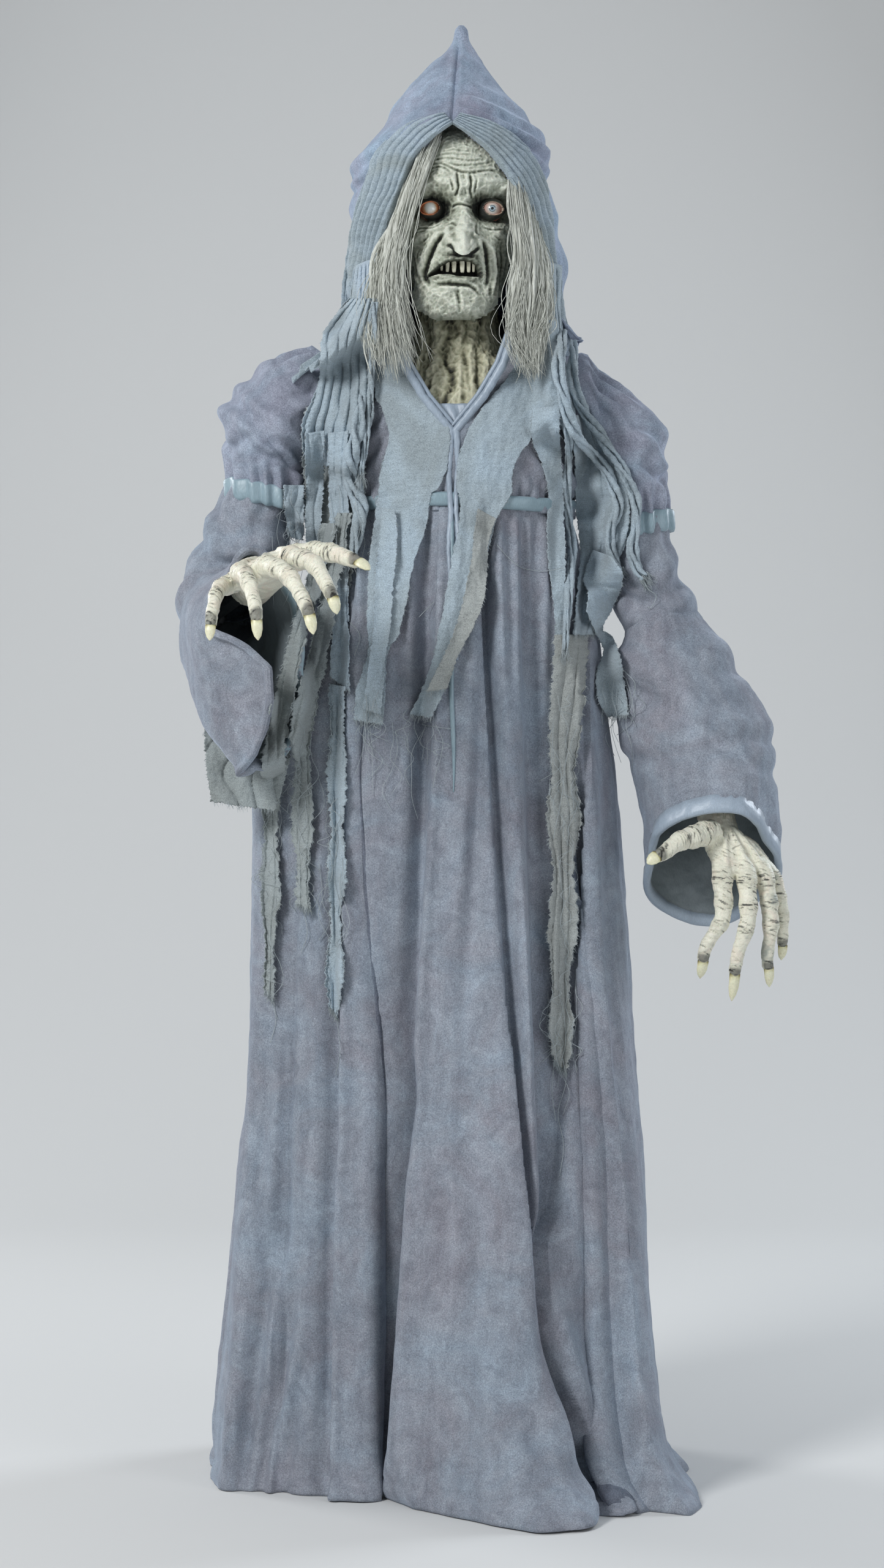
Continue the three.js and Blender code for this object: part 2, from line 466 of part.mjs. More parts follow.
function arm(side, E, W, handOf, rings) {
  const tag = side < 0 ? "right" : "left";
  const S = V(side * SHOULDER_X, 0, SHOULDER_Z), e = of(E), w = of(W);
  const u = e.clone().sub(S).normalize(), f = w.clone().sub(e).normalize();
  const ax = u.clone().cross(f).normalize();
  const upperGroup = at("upper_arm_" + tag, stand, S.x, S.y, S.z);
  const foreGroup = at("forearm_" + tag, upperGroup, e.x, e.y, e.z);
  const handGroup = at("hand_" + tag, foreGroup, w.x, w.y, w.z);
  const along = (p, d, t) => p.clone().addScaledVector(d, t);

  // upper arm: eye on the shoulder pin, tube, fork at the elbow
  let up = rod(V(S.x - 9, 0, S.z), V(S.x + 9, 0, S.z), 19, 14)
    .add(rod(along(S, u, 12), along(e, u, -TUBE_GAP), ARM_R, 10));
  up = up.add(rod(along(along(e, u, -TUBE_GAP), ax, -12), along(along(e, u, -TUBE_GAP), ax, 12), 9, 8));
  const v = u.clone().cross(ax);
  for (const k of [-1, 1]) {
    const c = along(e, ax, k * 9.2);
    const plate = rod(along(c, ax, -2), along(c, ax, 2), FORK_R, 12).add(loft([
      [-1, 1].flatMap((q) => [along(along(c, ax, q * 2), v, q * -9), along(along(c, ax, q * 2), v, q * 9)]),
      [-1, 1].flatMap((q) => [along(along(c, ax, q * 2), v, q * -9), along(along(c, ax, q * 2), v, q * 9)]).map((p) => along(p, u, -34)),
    ]));
    up = up.add(plate);
  }
  up = up.subtract(rod(along(e, ax, -20), along(e, ax, 20), 5.5, 10));
  up = up.subtract(rod(V(S.x - 30, 0, S.z), V(S.x + 30, 0, S.z), PIN_R + 0.5, 12));
  put("upper_arm_" + tag, upperGroup, up, "steel");
  put("elbow_bolt_" + tag, upperGroup, rod(along(e, ax, -15), along(e, ax, 14), 5, 10)
    .add(rod(along(e, ax, -15), along(e, ax, -11.5), 8.5, 6)).add(rod(along(e, ax, 11.5), along(e, ax, 15), 9, 10)), "steel");

  // forearm: tongue between the fork plates, tube, socket for the hand's peg
  const fv = f.clone().cross(ax);
  let fo = rod(along(e, ax, -6.8), along(e, ax, 6.8), 14, 12).add(loft([
    [along(along(e, ax, -6), fv, 9), along(along(e, ax, -6), fv, -9), along(along(e, ax, 6), fv, -9), along(along(e, ax, 6), fv, 9)],
    [along(along(e, ax, -6), fv, 9), along(along(e, ax, -6), fv, -9), along(along(e, ax, 6), fv, -9), along(along(e, ax, 6), fv, 9)].map((p) => along(p, f, TUBE_GAP + 4)),
  ]));
  fo = fo.add(rod(along(e, f, TUBE_GAP), w, ARM_R, 10)).subtract(rod(along(e, ax, -20), along(e, ax, 20), 5.5, 10))
    .subtract(rod(along(w, f, -30), along(w, f, 5), PEG_R + 0.5, 12));
  put("forearm_" + tag, foreGroup, fo, "steel");
  put("hand_" + tag, handGroup, handOf(w, f), "hand");

  // robe sleeves: puffed cap with its band, long sleeve to the elbow, wide lower sleeve
  const build = (list) => list.map(([c, nrm, a, b]) => {
    const d = of(nrm).normalize();
    const y = V(0, 1, 0).addScaledVector(d, -d.y).normalize(), x = y.clone().cross(d).normalize();
    return ringAt(of(c), x.multiplyScalar(a), y.multiplyScalar(b), 16);
  });
  put("over_sleeve_" + tag, upperGroup, sleeve(build(rings.cap)), "velvet");
  put("sleeve_upper_" + tag, upperGroup, sleeve(build(rings.upper)), "velvet");
  put("sleeve_lower_" + tag, foreGroup, sleeve(rings.lower), "velvet");
  return { u, f, ax };
}

const ringFrom = (c, u, v, n = 18) => ringAt(of(c), of(u), of(v), n);
const joints = {};
joints.right = arm(-1, ELBOW_R, WRIST_R,
  (w, f) => hand(w, f, [
    [[[-190, -318, 1132], [-193, -340, 1133], [-165, -385, 1122], [-148, -410, 1095], [-141, -417, 1080], [-136, -420, 1062]], [12, 12.5, 10.5, 8.5, 7.5, 2]],
    [[[-216, -318, 1122], [-220, -345, 1122], [-195, -395, 1110], [-175, -425, 1080], [-167, -434, 1060], [-162, -440, 1038]], [12, 12.5, 10.5, 8.5, 7.5, 2]],
    [[[-243, -318, 1114], [-251, -340, 1114], [-240, -390, 1105], [-230, -420, 1075], [-227, -427, 1055], [-225, -430, 1032]], [12, 12, 10, 8, 7, 2]],
    [[[-258, -308, 1104], [-267, -325, 1101], [-275, -365, 1092], [-280, -390, 1065], [-281, -396, 1050], [-282, -400, 1033]], [11, 11, 9, 7.5, 6.5, 2]],
    [[[-205, -285, 1128], [-186, -298, 1136], [-155, -318, 1140], [-126, -345, 1131], [-114, -353, 1125], [-100, -361, 1116]], [15, 15, 12, 9.5, 8, 2.5]],
  ], V(-231, -333, 1116), V(42, -9, 18), 14, V(0.929, 0.335, 0.02)),
  {
    cap: [[[-177, 0, 1364], [-1, 0, 0.05], 58, 58], [[-209, 0, 1352], [-0.8, 0, -0.6], 60, 66],
      [[-237, 0, 1312], [-0.5, 0, -0.866], 62, 68], [[-240, 0, 1275], [-0.3, 0, -0.95], 56, 62], [[-238, 0, 1243], [-0.2, 0, -0.98], 50, 57]],
    upper: [[[-240, 0, 1234], [-0.25, 0, -0.97], 47, 52], [[-271, -2, 1165], [-0.4, 0, -0.9], 53, 56], [[-296, -6, 1103], [-0.15, -0.45, -0.88], 54, 58]],
    lower: [
      ringFrom([-296.3, -6.9, 1101.2], [53, 0, -9], [0, 51, -26]),
      ringFrom([-296, -50, 1070], [50, 6, -4], [-6, 34, -60]),
      ringFrom([-284, -100, 1045], [52, 14, 0], [-6, 22, -88]),
      ringFrom([-264, -150, 1025], [55, 18, 0], [-4, 10, -114]),
      ringFrom([-243, -192, 1013], [57, 20, 0], [-4, 16, -137]),
    ],
  });
joints.left = arm(1, ELBOW_L, WRIST_L,
  (w, f) => hand(w, f, [
    [[[325, -128, 775], [326, -140, 753], [325, -150, 706], [307, -147, 675], [302, -140, 655], [299, -132, 632]], [12, 12.5, 10.5, 8.5, 7.5, 2]],
    [[[350, -122, 775], [356, -135, 755], [356, -150, 703], [345, -146, 665], [341, -138, 640], [338, -130, 604]], [12, 12.5, 10.5, 8.5, 7.5, 2]],
    [[[368, -112, 775], [379, -120, 757], [386, -132, 700], [383, -126, 665], [384, -118, 645], [386, -112, 620]], [11.5, 12, 10, 8, 7, 2]],
    [[[380, -98, 770], [392, -100, 752], [402, -106, 715], [404, -100, 685], [404, -94, 670], [403, -90, 652]], [10.5, 11, 9, 7.5, 6.5, 2]],
    [[[318, -116, 812], [296, -138, 806], [273, -158, 800], [252, -170, 786], [243, -175, 781], [231, -180, 773]], [15, 15, 12, 9.5, 8, 2.5]],
  ], V(358, -119, 762), V(39, 22, 0), 14, V(0.86, 0.5, 0)),
  {
    cap: [[[176, 0, 1337], [1, 0, 0.05], 56, 56], [[203, 0, 1314], [0.8, 0, -0.6], 52, 63],
      [[218, 0, 1277], [0.5, 0, -0.866], 51, 64], [[225, 0, 1240], [0.3, 0, -0.95], 46, 60], [[228, 0, 1206], [0.2, 0, -0.98], 40, 54]],
    upper: [[[229, 0, 1196], [0.2, 0, -0.98], 38, 50], [[241, 0, 1130], [0.2, 0, -0.98], 43, 55], [[263, -4, 1066], [0.2, -0.2, -0.96], 52, 62]],
    lower: [
      ringFrom([263.3, -4.3, 1064.2], [51, 0, 10], [0, 60, -12]),
      ringFrom([273, -14, 1014], [74, 0, 12], [0, 66, -16]),
      ringFrom([294, -28, 958], [92, 0, 8], [0, 72, -26]),
      ringFrom([308, -40, 900], [88, 0, 6], [0, 74, -38]),
      ringFrom([319, -54, 832], [85, 0, 2], [0, 76, -56]),
      ringFrom([318, -70, 765], [82, 0, 0], [0, 76, -73]),
    ],
  });

// ---------------------------------------------------------------- robe
const BODICE = [[SEAM_Z, -152, 144, 118, 108], [1260, -162, 154, 122, 112], [1320, -168, 160, 122, 114],
  [1370, -168, 160, 106, 106], [1400, -150, 142, 84, 90], [1422, -108, 104, 60, 70]];
{
  const ringsAt = (t, extra) => BODICE.map(([z, a, b, f, k], i) =>
    planRing(i === 0 ? z - extra : i === BODICE.length - 1 ? z + extra : z, a + t, b - t, f - t, k - t, 22));
  let b = loft(ringsAt(0, 0)).subtract(loft(ringsAt(CLOTH, 3)));
  b = b.subtract(prism([[-3, 1300], [70, 1424], [74, 1500], [-78, 1500], [-74, 1424]], -300, 0));
  b = b.subtract(rod(V(-300, 0, 1356), V(-120, 0, 1356), 57, 16)).subtract(rod(V(120, 0, 1356), V(300, 0, 1356), 57, 16));
  put("robe_bodice", stand, largest(b), "velvet");
}

// hem line on the floor, clockwise seen from above, from the left side round the front
const HEM = [[-306, -42], [-296, -80], [-276, -108], [-218, -121], [-150, -157], [-88, -170], [-60, -122], [-30, -200], [16, -253],
  [62, -300], [98, -328], [140, -312], [158, -270], [172, -170], [190, -208], [236, -240], [276, -250], [298, -196], [300, -120],
  [292, -30], [284, 60], [262, 140], [214, 205], [140, 250], [50, 268], [-50, 268], [-140, 250], [-216, 205], [-268, 140], [-298, 60]];
const SIDE = [[0, -306, 300, 328, 268], [60, -304, 262, 270, 262], [150, -296, 250, 240, 250], [274, -284, 243, 222, 236],
  [393, -274, 239, 208, 224], [480, -262, 232, 198, 214], [671, -260, 220, 178, 192], [845, -258, 206, 158, 168],
  [930, -246, 196, 148, 156], [1060, -206, 180, 134, 132], [1150, -172, 160, 124, 118], [SEAM_Z - 0.6, -152, 144, 118, 108]];
function skirtRing(z) {
  const [x0, x1, f, k] = table(SIDE, z), w = Math.pow(1 - Math.min(z / SEAM_Z, 1), 1.2);
  const cx = (x0 + x1) / 2, a = (x1 - x0) / 2;
  return HEM.map(([hx, hy]) => {
    // place round the ring from the hem, shape eased towards an oval higher up
    const t = Math.atan2(hy / (hy < 0 ? 328 : 268), (hx + 3) / 303);
    const ex = Math.cos(t), ey = Math.sin(t);
    const sx = lerp(ex, (hx + 3) / 303, w), sy = lerp(ey, hy / (hy < 0 ? 328 : 268), w);
    return V(cx + a * sx, sy < 0 ? sy * f : sy * k, z);
  });
}
{
  const levels = [SEAM_Z - 0.6, 1060, 930, 845, 671, 480, 274, 110, 0];
  put("robe_skirt", stand, sleeve(levels.map(skirtRing)), "velvet");
}

// ---------------------------------------------------------------- hood, hair and gauze
const HOOD = [[1500, -128, 134, 78, 112], [1540, -127, 133, 96, 120], [1577, -132, 123, 114, 126], [1614, -133, 117, 122, 128],
  [1650, -129, 115, 124, 126], [1674, -113, 112, 122, 120], [1697, -93, 97, 112, 106], [1730, -75, 73, 86, 84],
  [1773, -39, 42, 46, 46], [1797, -12, 27, 22, 22], [HEIGHT, 1, 15, 7, 7]];
{
  const ringsAt = (t, extra) => HOOD.map(([z, a, b, f, k], i) => {
    const q = Math.min(t, (b - a) / 2 - 2);
    return planRing(i === 0 ? z - extra : z, a + q, b - q, f - Math.min(t, f - 2), k - Math.min(t, k - 2), 22);
  });
  const inner = ringsAt(6, 5).slice(0, -2);
  let h = loft(ringsAt(0, 0)).subtract(loft(inner));
  h = h.subtract(prism([[-101, 1480], [-98, 1505], [-74, 1582], [-50, 1640], [-5, 1680], [27, 1660], [66, 1614], [82, 1543], [93, 1505], [95, 1480]], -300, -30));
  put("hood", head, largest(h), "velvet");
}
const lock = (list) => loft(list.map(([z, x, y, a, b]) => ringAt(V(x, y, z), V(a, 0, 0), V(0, b, 0), 8)));
put("hair_right", head, lock([[1590, -58, -104, 5, 5], [1560, -66, -98, 7, 7], [1520, -80, -92, 9, 8], [1470, -90, -86, 12, 9],
  [1420, -86, -96, 13, 9], [1375, -78, -128, 11, 8], [1335, -68, -150, 6, 6]]), "hair");
put("hair_left", head, lock([[1590, 62, -104, 5, 5], [1560, 68, -98, 7, 7], [1520, 80, -92, 9, 8], [1470, 92, -88, 12, 9],
  [1420, 96, -98, 13, 9], [1375, 92, -126, 11, 8], [1325, 86, -150, 6, 6]]), "hair");

// robe front at x, z: the bodice above the seam, the skirt below it
const robeFront = (x, z) => (z > SEAM_Z ? frontOf(BODICE, x, z) : (() => {
  const ring = skirtRing(z);
  let best = 0;
  for (let i = 0; i < ring.length; i++) {
    const a = ring[i], b = ring[(i + 1) % ring.length];
    if (a.y > 0 && b.y > 0) continue;
    if ((a.x - x) * (b.x - x) <= 0 && a.x !== b.x) best = Math.max(best, -lerp(a.y, b.y, (x - a.x) / (b.x - a.x)));
  }
  return best;
})());
// gauze piece hanging in front of the robe: rows [z, left, right, stand-off]
const panel = (rows, t, cols = 5) => sheet(rows.map(([z, x0, x1, off]) => Array.from({ length: cols }, (_, i) => {
  const x = lerp(x0, x1, i / (cols - 1));
  return V(x, -(robeFront(x, z) + off), z);
})), t);
const gauze = (name, rows, t, group = stand, cols = 5) => put(name, group, panel(rows, t, cols), "gauze");

gauze("shawl_right", [[1398, -112, -76, 12], [1360, -114, -60, 12], [1320, -112, -28, 12], [1290, -106, -8, 12], [1240, -112, -14, 12],
  [1180, -116, -34, 14], [1120, -118, -58, 14], [1050, -120, -80, 14], [950, -122, -92, 14]], 4);
gauze("shawl_left", [[1398, 70, 112, 12], [1360, 54, 116, 12], [1320, 22, 116, 12], [1290, 3, 114, 12], [1240, 2, 60, 12],
  [1180, -8, 52, 14], [1120, -20, 40, 14], [1050, -32, 14, 14], [950, -48, -14, 14], [908, -50, -22, 14]], 4);
gauze("strip_bunch_right", [[1398, -150, -122, 16], [1350, -160, -126, 20], [1300, -164, -126, 26], [1240, -152, -126, 22], [1180, -142, -126, 24]], 10, stand, 3);
gauze("strip_bunch_left", [[1398, 124, 144, 18], [1350, 126, 150, 22], [1300, 126, 152, 30], [1240, 126, 148, 24], [1160, 128, 146, 30], [1130, 130, 146, 30]], 10, stand, 3);
gauze("strip_long_right", [[1160, -158, -134, 12], [1050, -158, -134, 12], [930, -158, -134, 12], [800, -156, -136, 12], [640, -156, -138, 12], [580, -154, -144, 12]], 5, stand, 3);
gauze("strip_long_left", [[1270, 92, 118, 14], [1180, 96, 122, 14], [1050, 100, 124, 14], [930, 98, 122, 14], [800, 100, 120, 14], [640, 98, 118, 14], [520, 94, 118, 14]], 5, stand, 3);
gauze("strip_curl_left", [[1146, 158, 176, 20], [1080, 150, 176, 22], [1020, 160, 182, 22], [960, 168, 186, 24]], 5, stand, 3);
gauze("strip_short_right", [[1080, -186, -164, 22], [960, -190, -168, 20], [850, -190, -170, 18], [740, -188, -174, 16]], 5, stand, 3);

// gauze falling from the hood's rim to each shoulder
const drape = (pts, t) => sheet(pts.map((row) => row.map(of)), t);
put("hood_drape_right", head, drape([
  [[-122, 40, 1492], [-126, -10, 1492], [-118, -50, 1492], [-104, -66, 1492]],
  [[-136, 34, 1464], [-142, -12, 1464], [-134, -58, 1464], [-116, -82, 1464]],
  [[-152, 28, 1436], [-160, -14, 1436], [-152, -66, 1436], [-130, -98, 1430]]], 5), "gauze");
put("hood_drape_left", head, drape([
  [[104, -66, 1492], [120, -50, 1492], [130, -10, 1492], [126, 40, 1492]],
  [[116, -82, 1464], [134, -58, 1464], [142, -12, 1464], [138, 34, 1464]],
  [[130, -98, 1430], [150, -66, 1436], [158, -14, 1436], [150, 28, 1436]]], 5), "gauze");

export { joints };
export default root;
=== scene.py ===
# Looks of the animated witch figure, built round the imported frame. Metres, +Z up, the figure faces -Y.
import json
import math

import bpy
import numpy as np
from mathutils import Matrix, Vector
from mathutils.bvhtree import BVHTree


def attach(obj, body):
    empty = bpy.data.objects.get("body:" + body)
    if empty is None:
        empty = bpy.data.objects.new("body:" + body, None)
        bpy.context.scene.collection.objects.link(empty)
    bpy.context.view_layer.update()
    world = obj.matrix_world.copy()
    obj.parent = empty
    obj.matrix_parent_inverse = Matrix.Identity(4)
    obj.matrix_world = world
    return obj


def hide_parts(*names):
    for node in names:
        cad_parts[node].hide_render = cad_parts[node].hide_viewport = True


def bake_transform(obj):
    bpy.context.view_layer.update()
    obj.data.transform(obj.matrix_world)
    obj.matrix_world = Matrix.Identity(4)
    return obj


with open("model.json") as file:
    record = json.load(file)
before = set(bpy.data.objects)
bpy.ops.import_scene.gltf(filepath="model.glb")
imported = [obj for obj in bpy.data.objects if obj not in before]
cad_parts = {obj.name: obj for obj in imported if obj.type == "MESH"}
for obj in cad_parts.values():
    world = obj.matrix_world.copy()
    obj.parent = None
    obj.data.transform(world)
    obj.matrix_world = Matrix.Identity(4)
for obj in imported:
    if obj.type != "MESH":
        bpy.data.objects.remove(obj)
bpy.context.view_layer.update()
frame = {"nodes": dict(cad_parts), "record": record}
scene = bpy.context.scene
TAU = 2 * math.pi
CAM = np.array([-0.017, -4.0, 0.8696])

# ------------------------------------------------------------------ camera, floor and light
cam = bpy.data.objects.new("camera", bpy.data.cameras.new("camera"))
scene.collection.objects.link(cam)
cam.location = CAM
cam.rotation_euler = (math.pi / 2, 0, 0)
cam.data.lens = 72.5
cam.data.sensor_width = 36
cam.data.clip_end = 60
scene.camera = cam


def light(name, place, target, size, watts, colour):
    d = bpy.data.lights.new(name, "AREA")
    d.shape, d.size, d.energy, d.color = "DISK", size, watts, colour
    o = bpy.data.objects.new(name, d)
    scene.collection.objects.link(o)
    o.location = place
    o.rotation_euler = (Vector(target) - Vector(place)).to_track_quat("-Z", "Y").to_euler()


light("key", (-2.4, -2.9, 3.0), (0, 0, 1.0), 1.3, 118, (0.97, 0.985, 1.0))
light("fill", (2.9, -2.6, 1.5), (0, 0, 0.9), 2.2, 30, (0.90, 0.94, 1.0))
light("rim_left", (-2.6, 1.9, 2.2), (0, 0, 1.1), 1.2, 42, (0.95, 0.97, 1.0))
light("rim_right", (2.5, 1.7, 2.2), (0, 0, 1.0), 1.2, 46, (0.85, 0.92, 1.0))
world = bpy.data.worlds.new("world")
scene.world = world
world.use_nodes = True
world.node_tree.nodes["Background"].inputs[0].default_value = (0.62, 0.66, 0.70, 1)
world.node_tree.nodes["Background"].inputs[1].default_value = 0.42
scene.view_settings.view_transform = "Standard"
scene.view_settings.look = "None"

# ------------------------------------------------------------------ numbers and small helpers
rng = np.random.default_rng(11)


def norm(v):
    v = np.asarray(v, float)
    return v / np.maximum(np.linalg.norm(v, axis=-1, keepdims=True), 1e-12)


def sstep(a, b, x):
    t = np.clip((np.asarray(x, float) - a) / (b - a), 0, 1)
    return t * t * (3 - 2 * t)


def gauss(x, w):
    return np.exp(-(np.asarray(x, float) / w) ** 2)


def _hash(i, j, k, seed):
    i, j, k = (np.asarray(a).astype(np.int64) for a in (i, j, k))
    h = (i * 374761393 + j * 668265263 + k * 2147483647 + seed * 1274126177) & 0xFFFFFFFF
    h = ((h ^ (h >> 13)) * 1274126177) & 0xFFFFFFFF
    return ((h ^ (h >> 16)) & 0xFFFFFF) / float(0xFFFFFF)


_R1 = np.array([[0.36, 0.48, -0.8], [-0.8, 0.6, 0.0], [0.48, 0.64, 0.6]])
_R2 = np.array([[0.8, -0.36, 0.48], [0.6, 0.48, -0.64], [0.0, 0.8, 0.6]])


def _lattice(q, seed):
    f = np.floor(q)
    u = q - f
    u = u * u * u * (u * (u * 6 - 15) + 10)
    out = 0.0
    for a in (0, 1):
        for b in (0, 1):
            for c in (0, 1):
                w = (u[..., 0] if a else 1 - u[..., 0]) * (u[..., 1] if b else 1 - u[..., 1]) * (u[..., 2] if c else 1 - u[..., 2])
                out = out + w * _hash(f[..., 0] + a, f[..., 1] + b, f[..., 2] + c, seed)
    return out * 2 - 1


def noise(p, scale, seed=0):
    """Smooth noise of about -1 to 1 at points p (..., 3), with cells 1/scale wide."""
    q = np.asarray(p, float) * scale
    return 0.78 * (_lattice(q @ _R1 + 0.37, seed) + _lattice(q @ _R2 * 1.13 + 5.71, seed + 101))


def fbm(p, scale, octaves=3, seed=0, gain=0.5):
    out, amp, tot = 0.0, 1.0, 0.0
    for k in range(octaves):
        out = out + amp * noise(p, scale * 2.03**k, seed + 17 * k)
        tot += amp
        amp *= gain
    return out / tot


def look(rows, z):
    """Rows [[z, values...]] as smooth values at z (Catmull-Rom like, by a monotone cubic)."""
    r = np.array(sorted(rows), float)
    z = np.asarray(z, float)
    x = r[:, 0]
    out = []
    for k in range(1, r.shape[1]):
        y = r[:, k]
        d = np.diff(y) / np.diff(x)
        m = np.zeros_like(y)
        m[0], m[-1] = d[0], d[-1]
        for i in range(1, len(y) - 1):
            m[i] = 0 if d[i - 1] * d[i] <= 0 else 2 * d[i - 1] * d[i] / (d[i - 1] + d[i])
        i = np.clip(np.searchsorted(x, z) - 1, 0, len(x) - 2)
        h = x[i + 1] - x[i]
        t = np.clip((z - x[i]) / h, 0, 1)
        out.append((2 * t**3 - 3 * t**2 + 1) * y[i] + (t**3 - 2 * t**2 + t) * h * m[i] + (-2 * t**3 + 3 * t**2) * y[i + 1] + (t**3 - t**2) * h * m[i + 1])
    return out if len(out) > 1 else out[0]


def spline(points, n, closed=False):
    """Catmull-Rom through points, n samples evenly spread by length."""
    p = np.asarray(points, float)
    if closed:
        q = np.vstack([p[-1], p, p[0], p[1]])
        segs = len(p)
    else:
        q = np.vstack([2 * p[0] - p[1], p, 2 * p[-1] - p[-2]])
        segs = len(p) - 1
    out = []
    ts = np.linspace(0, 1, 16, endpoint=False)[:, None]
    for i in range(segs):
        a, b, c, d = q[i], q[i + 1], q[i + 2], q[i + 3]
        out.append(0.5 * ((2 * b) + (-a + c) * ts + (2 * a - 5 * b + 4 * c - d) * ts**2 + (-a + 3 * b - 3 * c + d) * ts**3))
    out = np.vstack(out + [p[:1] if closed else p[-1:]])
    s = np.concatenate([[0], np.cumsum(np.linalg.norm(np.diff(out, axis=0), axis=1))])
    at = np.linspace(0, s[-1], n, endpoint=not closed)
    return np.stack([np.interp(at, s, out[:, k]) for k in range(p.shape[1])], 1)


# Front drawing grid: about 1 mm a unit, as the figure is seen from the camera on the plane y = 0.
def front(xd, yd):
    return 0.000993 * (np.asarray(xd, float) - 581), 1.8625 - 0.000993 * np.asarray(yd, float)


def drawn(p):
    """Drawing-grid place (x, y) of points p in space."""
    p = np.asarray(p, float)
    k = 4.0 / (4.0 + p[..., 1])
    x0 = (p[..., 0] - CAM[0]) * k + CAM[0]
    z0 = (p[..., 2] - CAM[2]) * k + CAM[2]
    return x0 / 0.000993 + 581, (1.8625 - z0) / 0.000993


def undrawn(xd, yd, y):
    """Point in space at depth y that is seen at drawing-grid place (xd, yd)."""
    x0, z0 = front(xd, yd)
    k = (4.0 + np.asarray(y, float)) / 4.0
    return np.stack([(x0 - CAM[0]) * k + CAM[0], np.broadcast_to(y, np.shape(x0)).astype(float), (z0 - CAM[2]) * k + CAM[2]], -1)


# ------------------------------------------------------------------ meshes
def mesh(name, verts, faces, material=None, smooth=True):
    m = bpy.data.meshes.new(name)
    v = np.asarray(verts, float).reshape(-1, 3)
    m.from_pydata(v.tolist(), [], [list(map(int, f)) for f in faces] if not isinstance(faces, np.ndarray) else faces.tolist())
    m.update()
    if smooth:
        m.shade_smooth()
    o = bpy.data.objects.new(name, m)
    scene.collection.objects.link(o)
    if material is not None:
        m.materials.append(material)
    return o


def grid_faces(m, n, wrap=False, flip=False, base=0):
    k, i = np.meshgrid(np.arange(m - 1), np.arange(n if wrap else n - 1), indexing="ij")
    a = k * n + i
    b = k * n + (i + 1) % n
    f = np.stack([a, b, b + n, a + n], -1).reshape(-1, 4)
    if flip:
        f = f[:, ::-1]
    return f + base


def outward(P, wrap=False):
    """Unit normals of a grid of points (m, n, 3), along rows x columns."""
    if wrap:
        dn = np.roll(P, -1, 1) - np.roll(P, 1, 1)
    else:
        dn = np.gradient(P, axis=1)
    dm = np.gradient(P, axis=0)
    return norm(np.cross(dn, dm))


def thick(name, P, t, material, wrap=False, inner=None, side=1.0):
    """A sheet of cloth: the grid P and a second grid t behind it, joined at the edges. Inner sets the back face's material."""
    N = outward(P, wrap) * side
    B = P - N * t
    m, n = P.shape[:2]
    f = grid_faces(m, n, wrap, flip=side < 0)
    g = grid_faces(m, n, wrap, flip=side > 0, base=m * n)
    rim = []
    cols = n if wrap else n - 1
    for row in (0, m - 1):
        for i in range(cols):
            a, b = row * n + i, row * n + (i + 1) % n
            q = [a, m * n + a, m * n + b, b] if (row == 0) == (side > 0) else [b, m * n + b, m * n + a, a]
            rim.append(q)
    if not wrap:
        for col in (0, n - 1):
            for k in range(m - 1):
                a, b = k * n + col, (k + 1) * n + col
                q = [b, m * n + b, m * n + a, a] if (col == 0) == (side > 0) else [a, m * n + a, m * n + b, b]
                rim.append(q)
    faces = np.vstack([f, g, np.array(rim, int)])
    o = mesh(name, np.vstack([P.reshape(-1, 3), B.reshape(-1, 3)]), faces, material)
    if inner is not None:
        o.data.materials.append(inner)
        idx = np.zeros(len(faces), int)
        idx[len(f):len(f) + len(g)] = 1
        o.data.polygons.foreach_set("material_index", idx)
    return o


def tube(points, radius, n=6, material=None, name="tube", taper=None, cap=True):
    """Verts and faces of a tube through points, with the radius at each."""
    p = np.asarray(points, float)
    r = np.broadcast_to(np.asarray(radius, float), (len(p),)) if taper is None else np.asarray(taper)
    d = norm(np.gradient(p, axis=0))
    side = np.cross(d[0], (0.31, 0.22, 0.92))
    if np.linalg.norm(side) < 1e-3:
        side = np.cross(d[0], (1, 0, 0))
    side = norm(side)
    rings = []
    a = np.linspace(0, TAU, n, endpoint=False)
    for i in range(len(p)):
        side = norm(side - d[i] * (side @ d[i]))
        o = np.cross(d[i], side)
        rings.append(p[i] + r[i] * (np.cos(a)[:, None] * side + np.sin(a)[:, None] * o))
    v = np.vstack(rings)
    f = grid_faces(len(p), n, wrap=True).tolist()
    if cap:
        f.append(list(range(n))[::-1])
        f.append(list(range((len(p) - 1) * n, len(p) * n)))
    return v, f


def many(name, parts, material, smooth=True):
    """One object from a list of (verts, faces)."""
    vs, fs, k = [], [], 0
    for v, f in parts:
        v = np.asarray(v).reshape(-1, 3)
        vs.append(v)
        fs += [[int(i) + k for i in q] for q in f]
        k += len(v)
    return mesh(name, np.vstack(vs), fs, material, smooth)


def tree_of(*objs):
    vs, fs, k = [], [], 0
    for o in objs:
        vs += [v.co.copy() for v in o.data.vertices]
        fs += [[i + k for i in p.vertices] for p in o.data.polygons]
        k += len(o.data.vertices)
    return BVHTree.FromPolygons(vs, fs)


def put(o, body, nodes=()):
    if body:
        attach(o, body)
    if nodes:
        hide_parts(*nodes)
    return o

# ------------------------------------------------------------------ materials
def node(nt, kind, inputs=None, **attrs):
    n = nt.nodes.new("ShaderNode" + kind)
    for k, v in attrs.items():
        setattr(n, k, v)
    for k, v in (inputs or {}).items():
        if isinstance(v, bpy.types.NodeSocket):
            nt.links.new(v, n.inputs[k])
        else:
            n.inputs[k].default_value = v
    return n


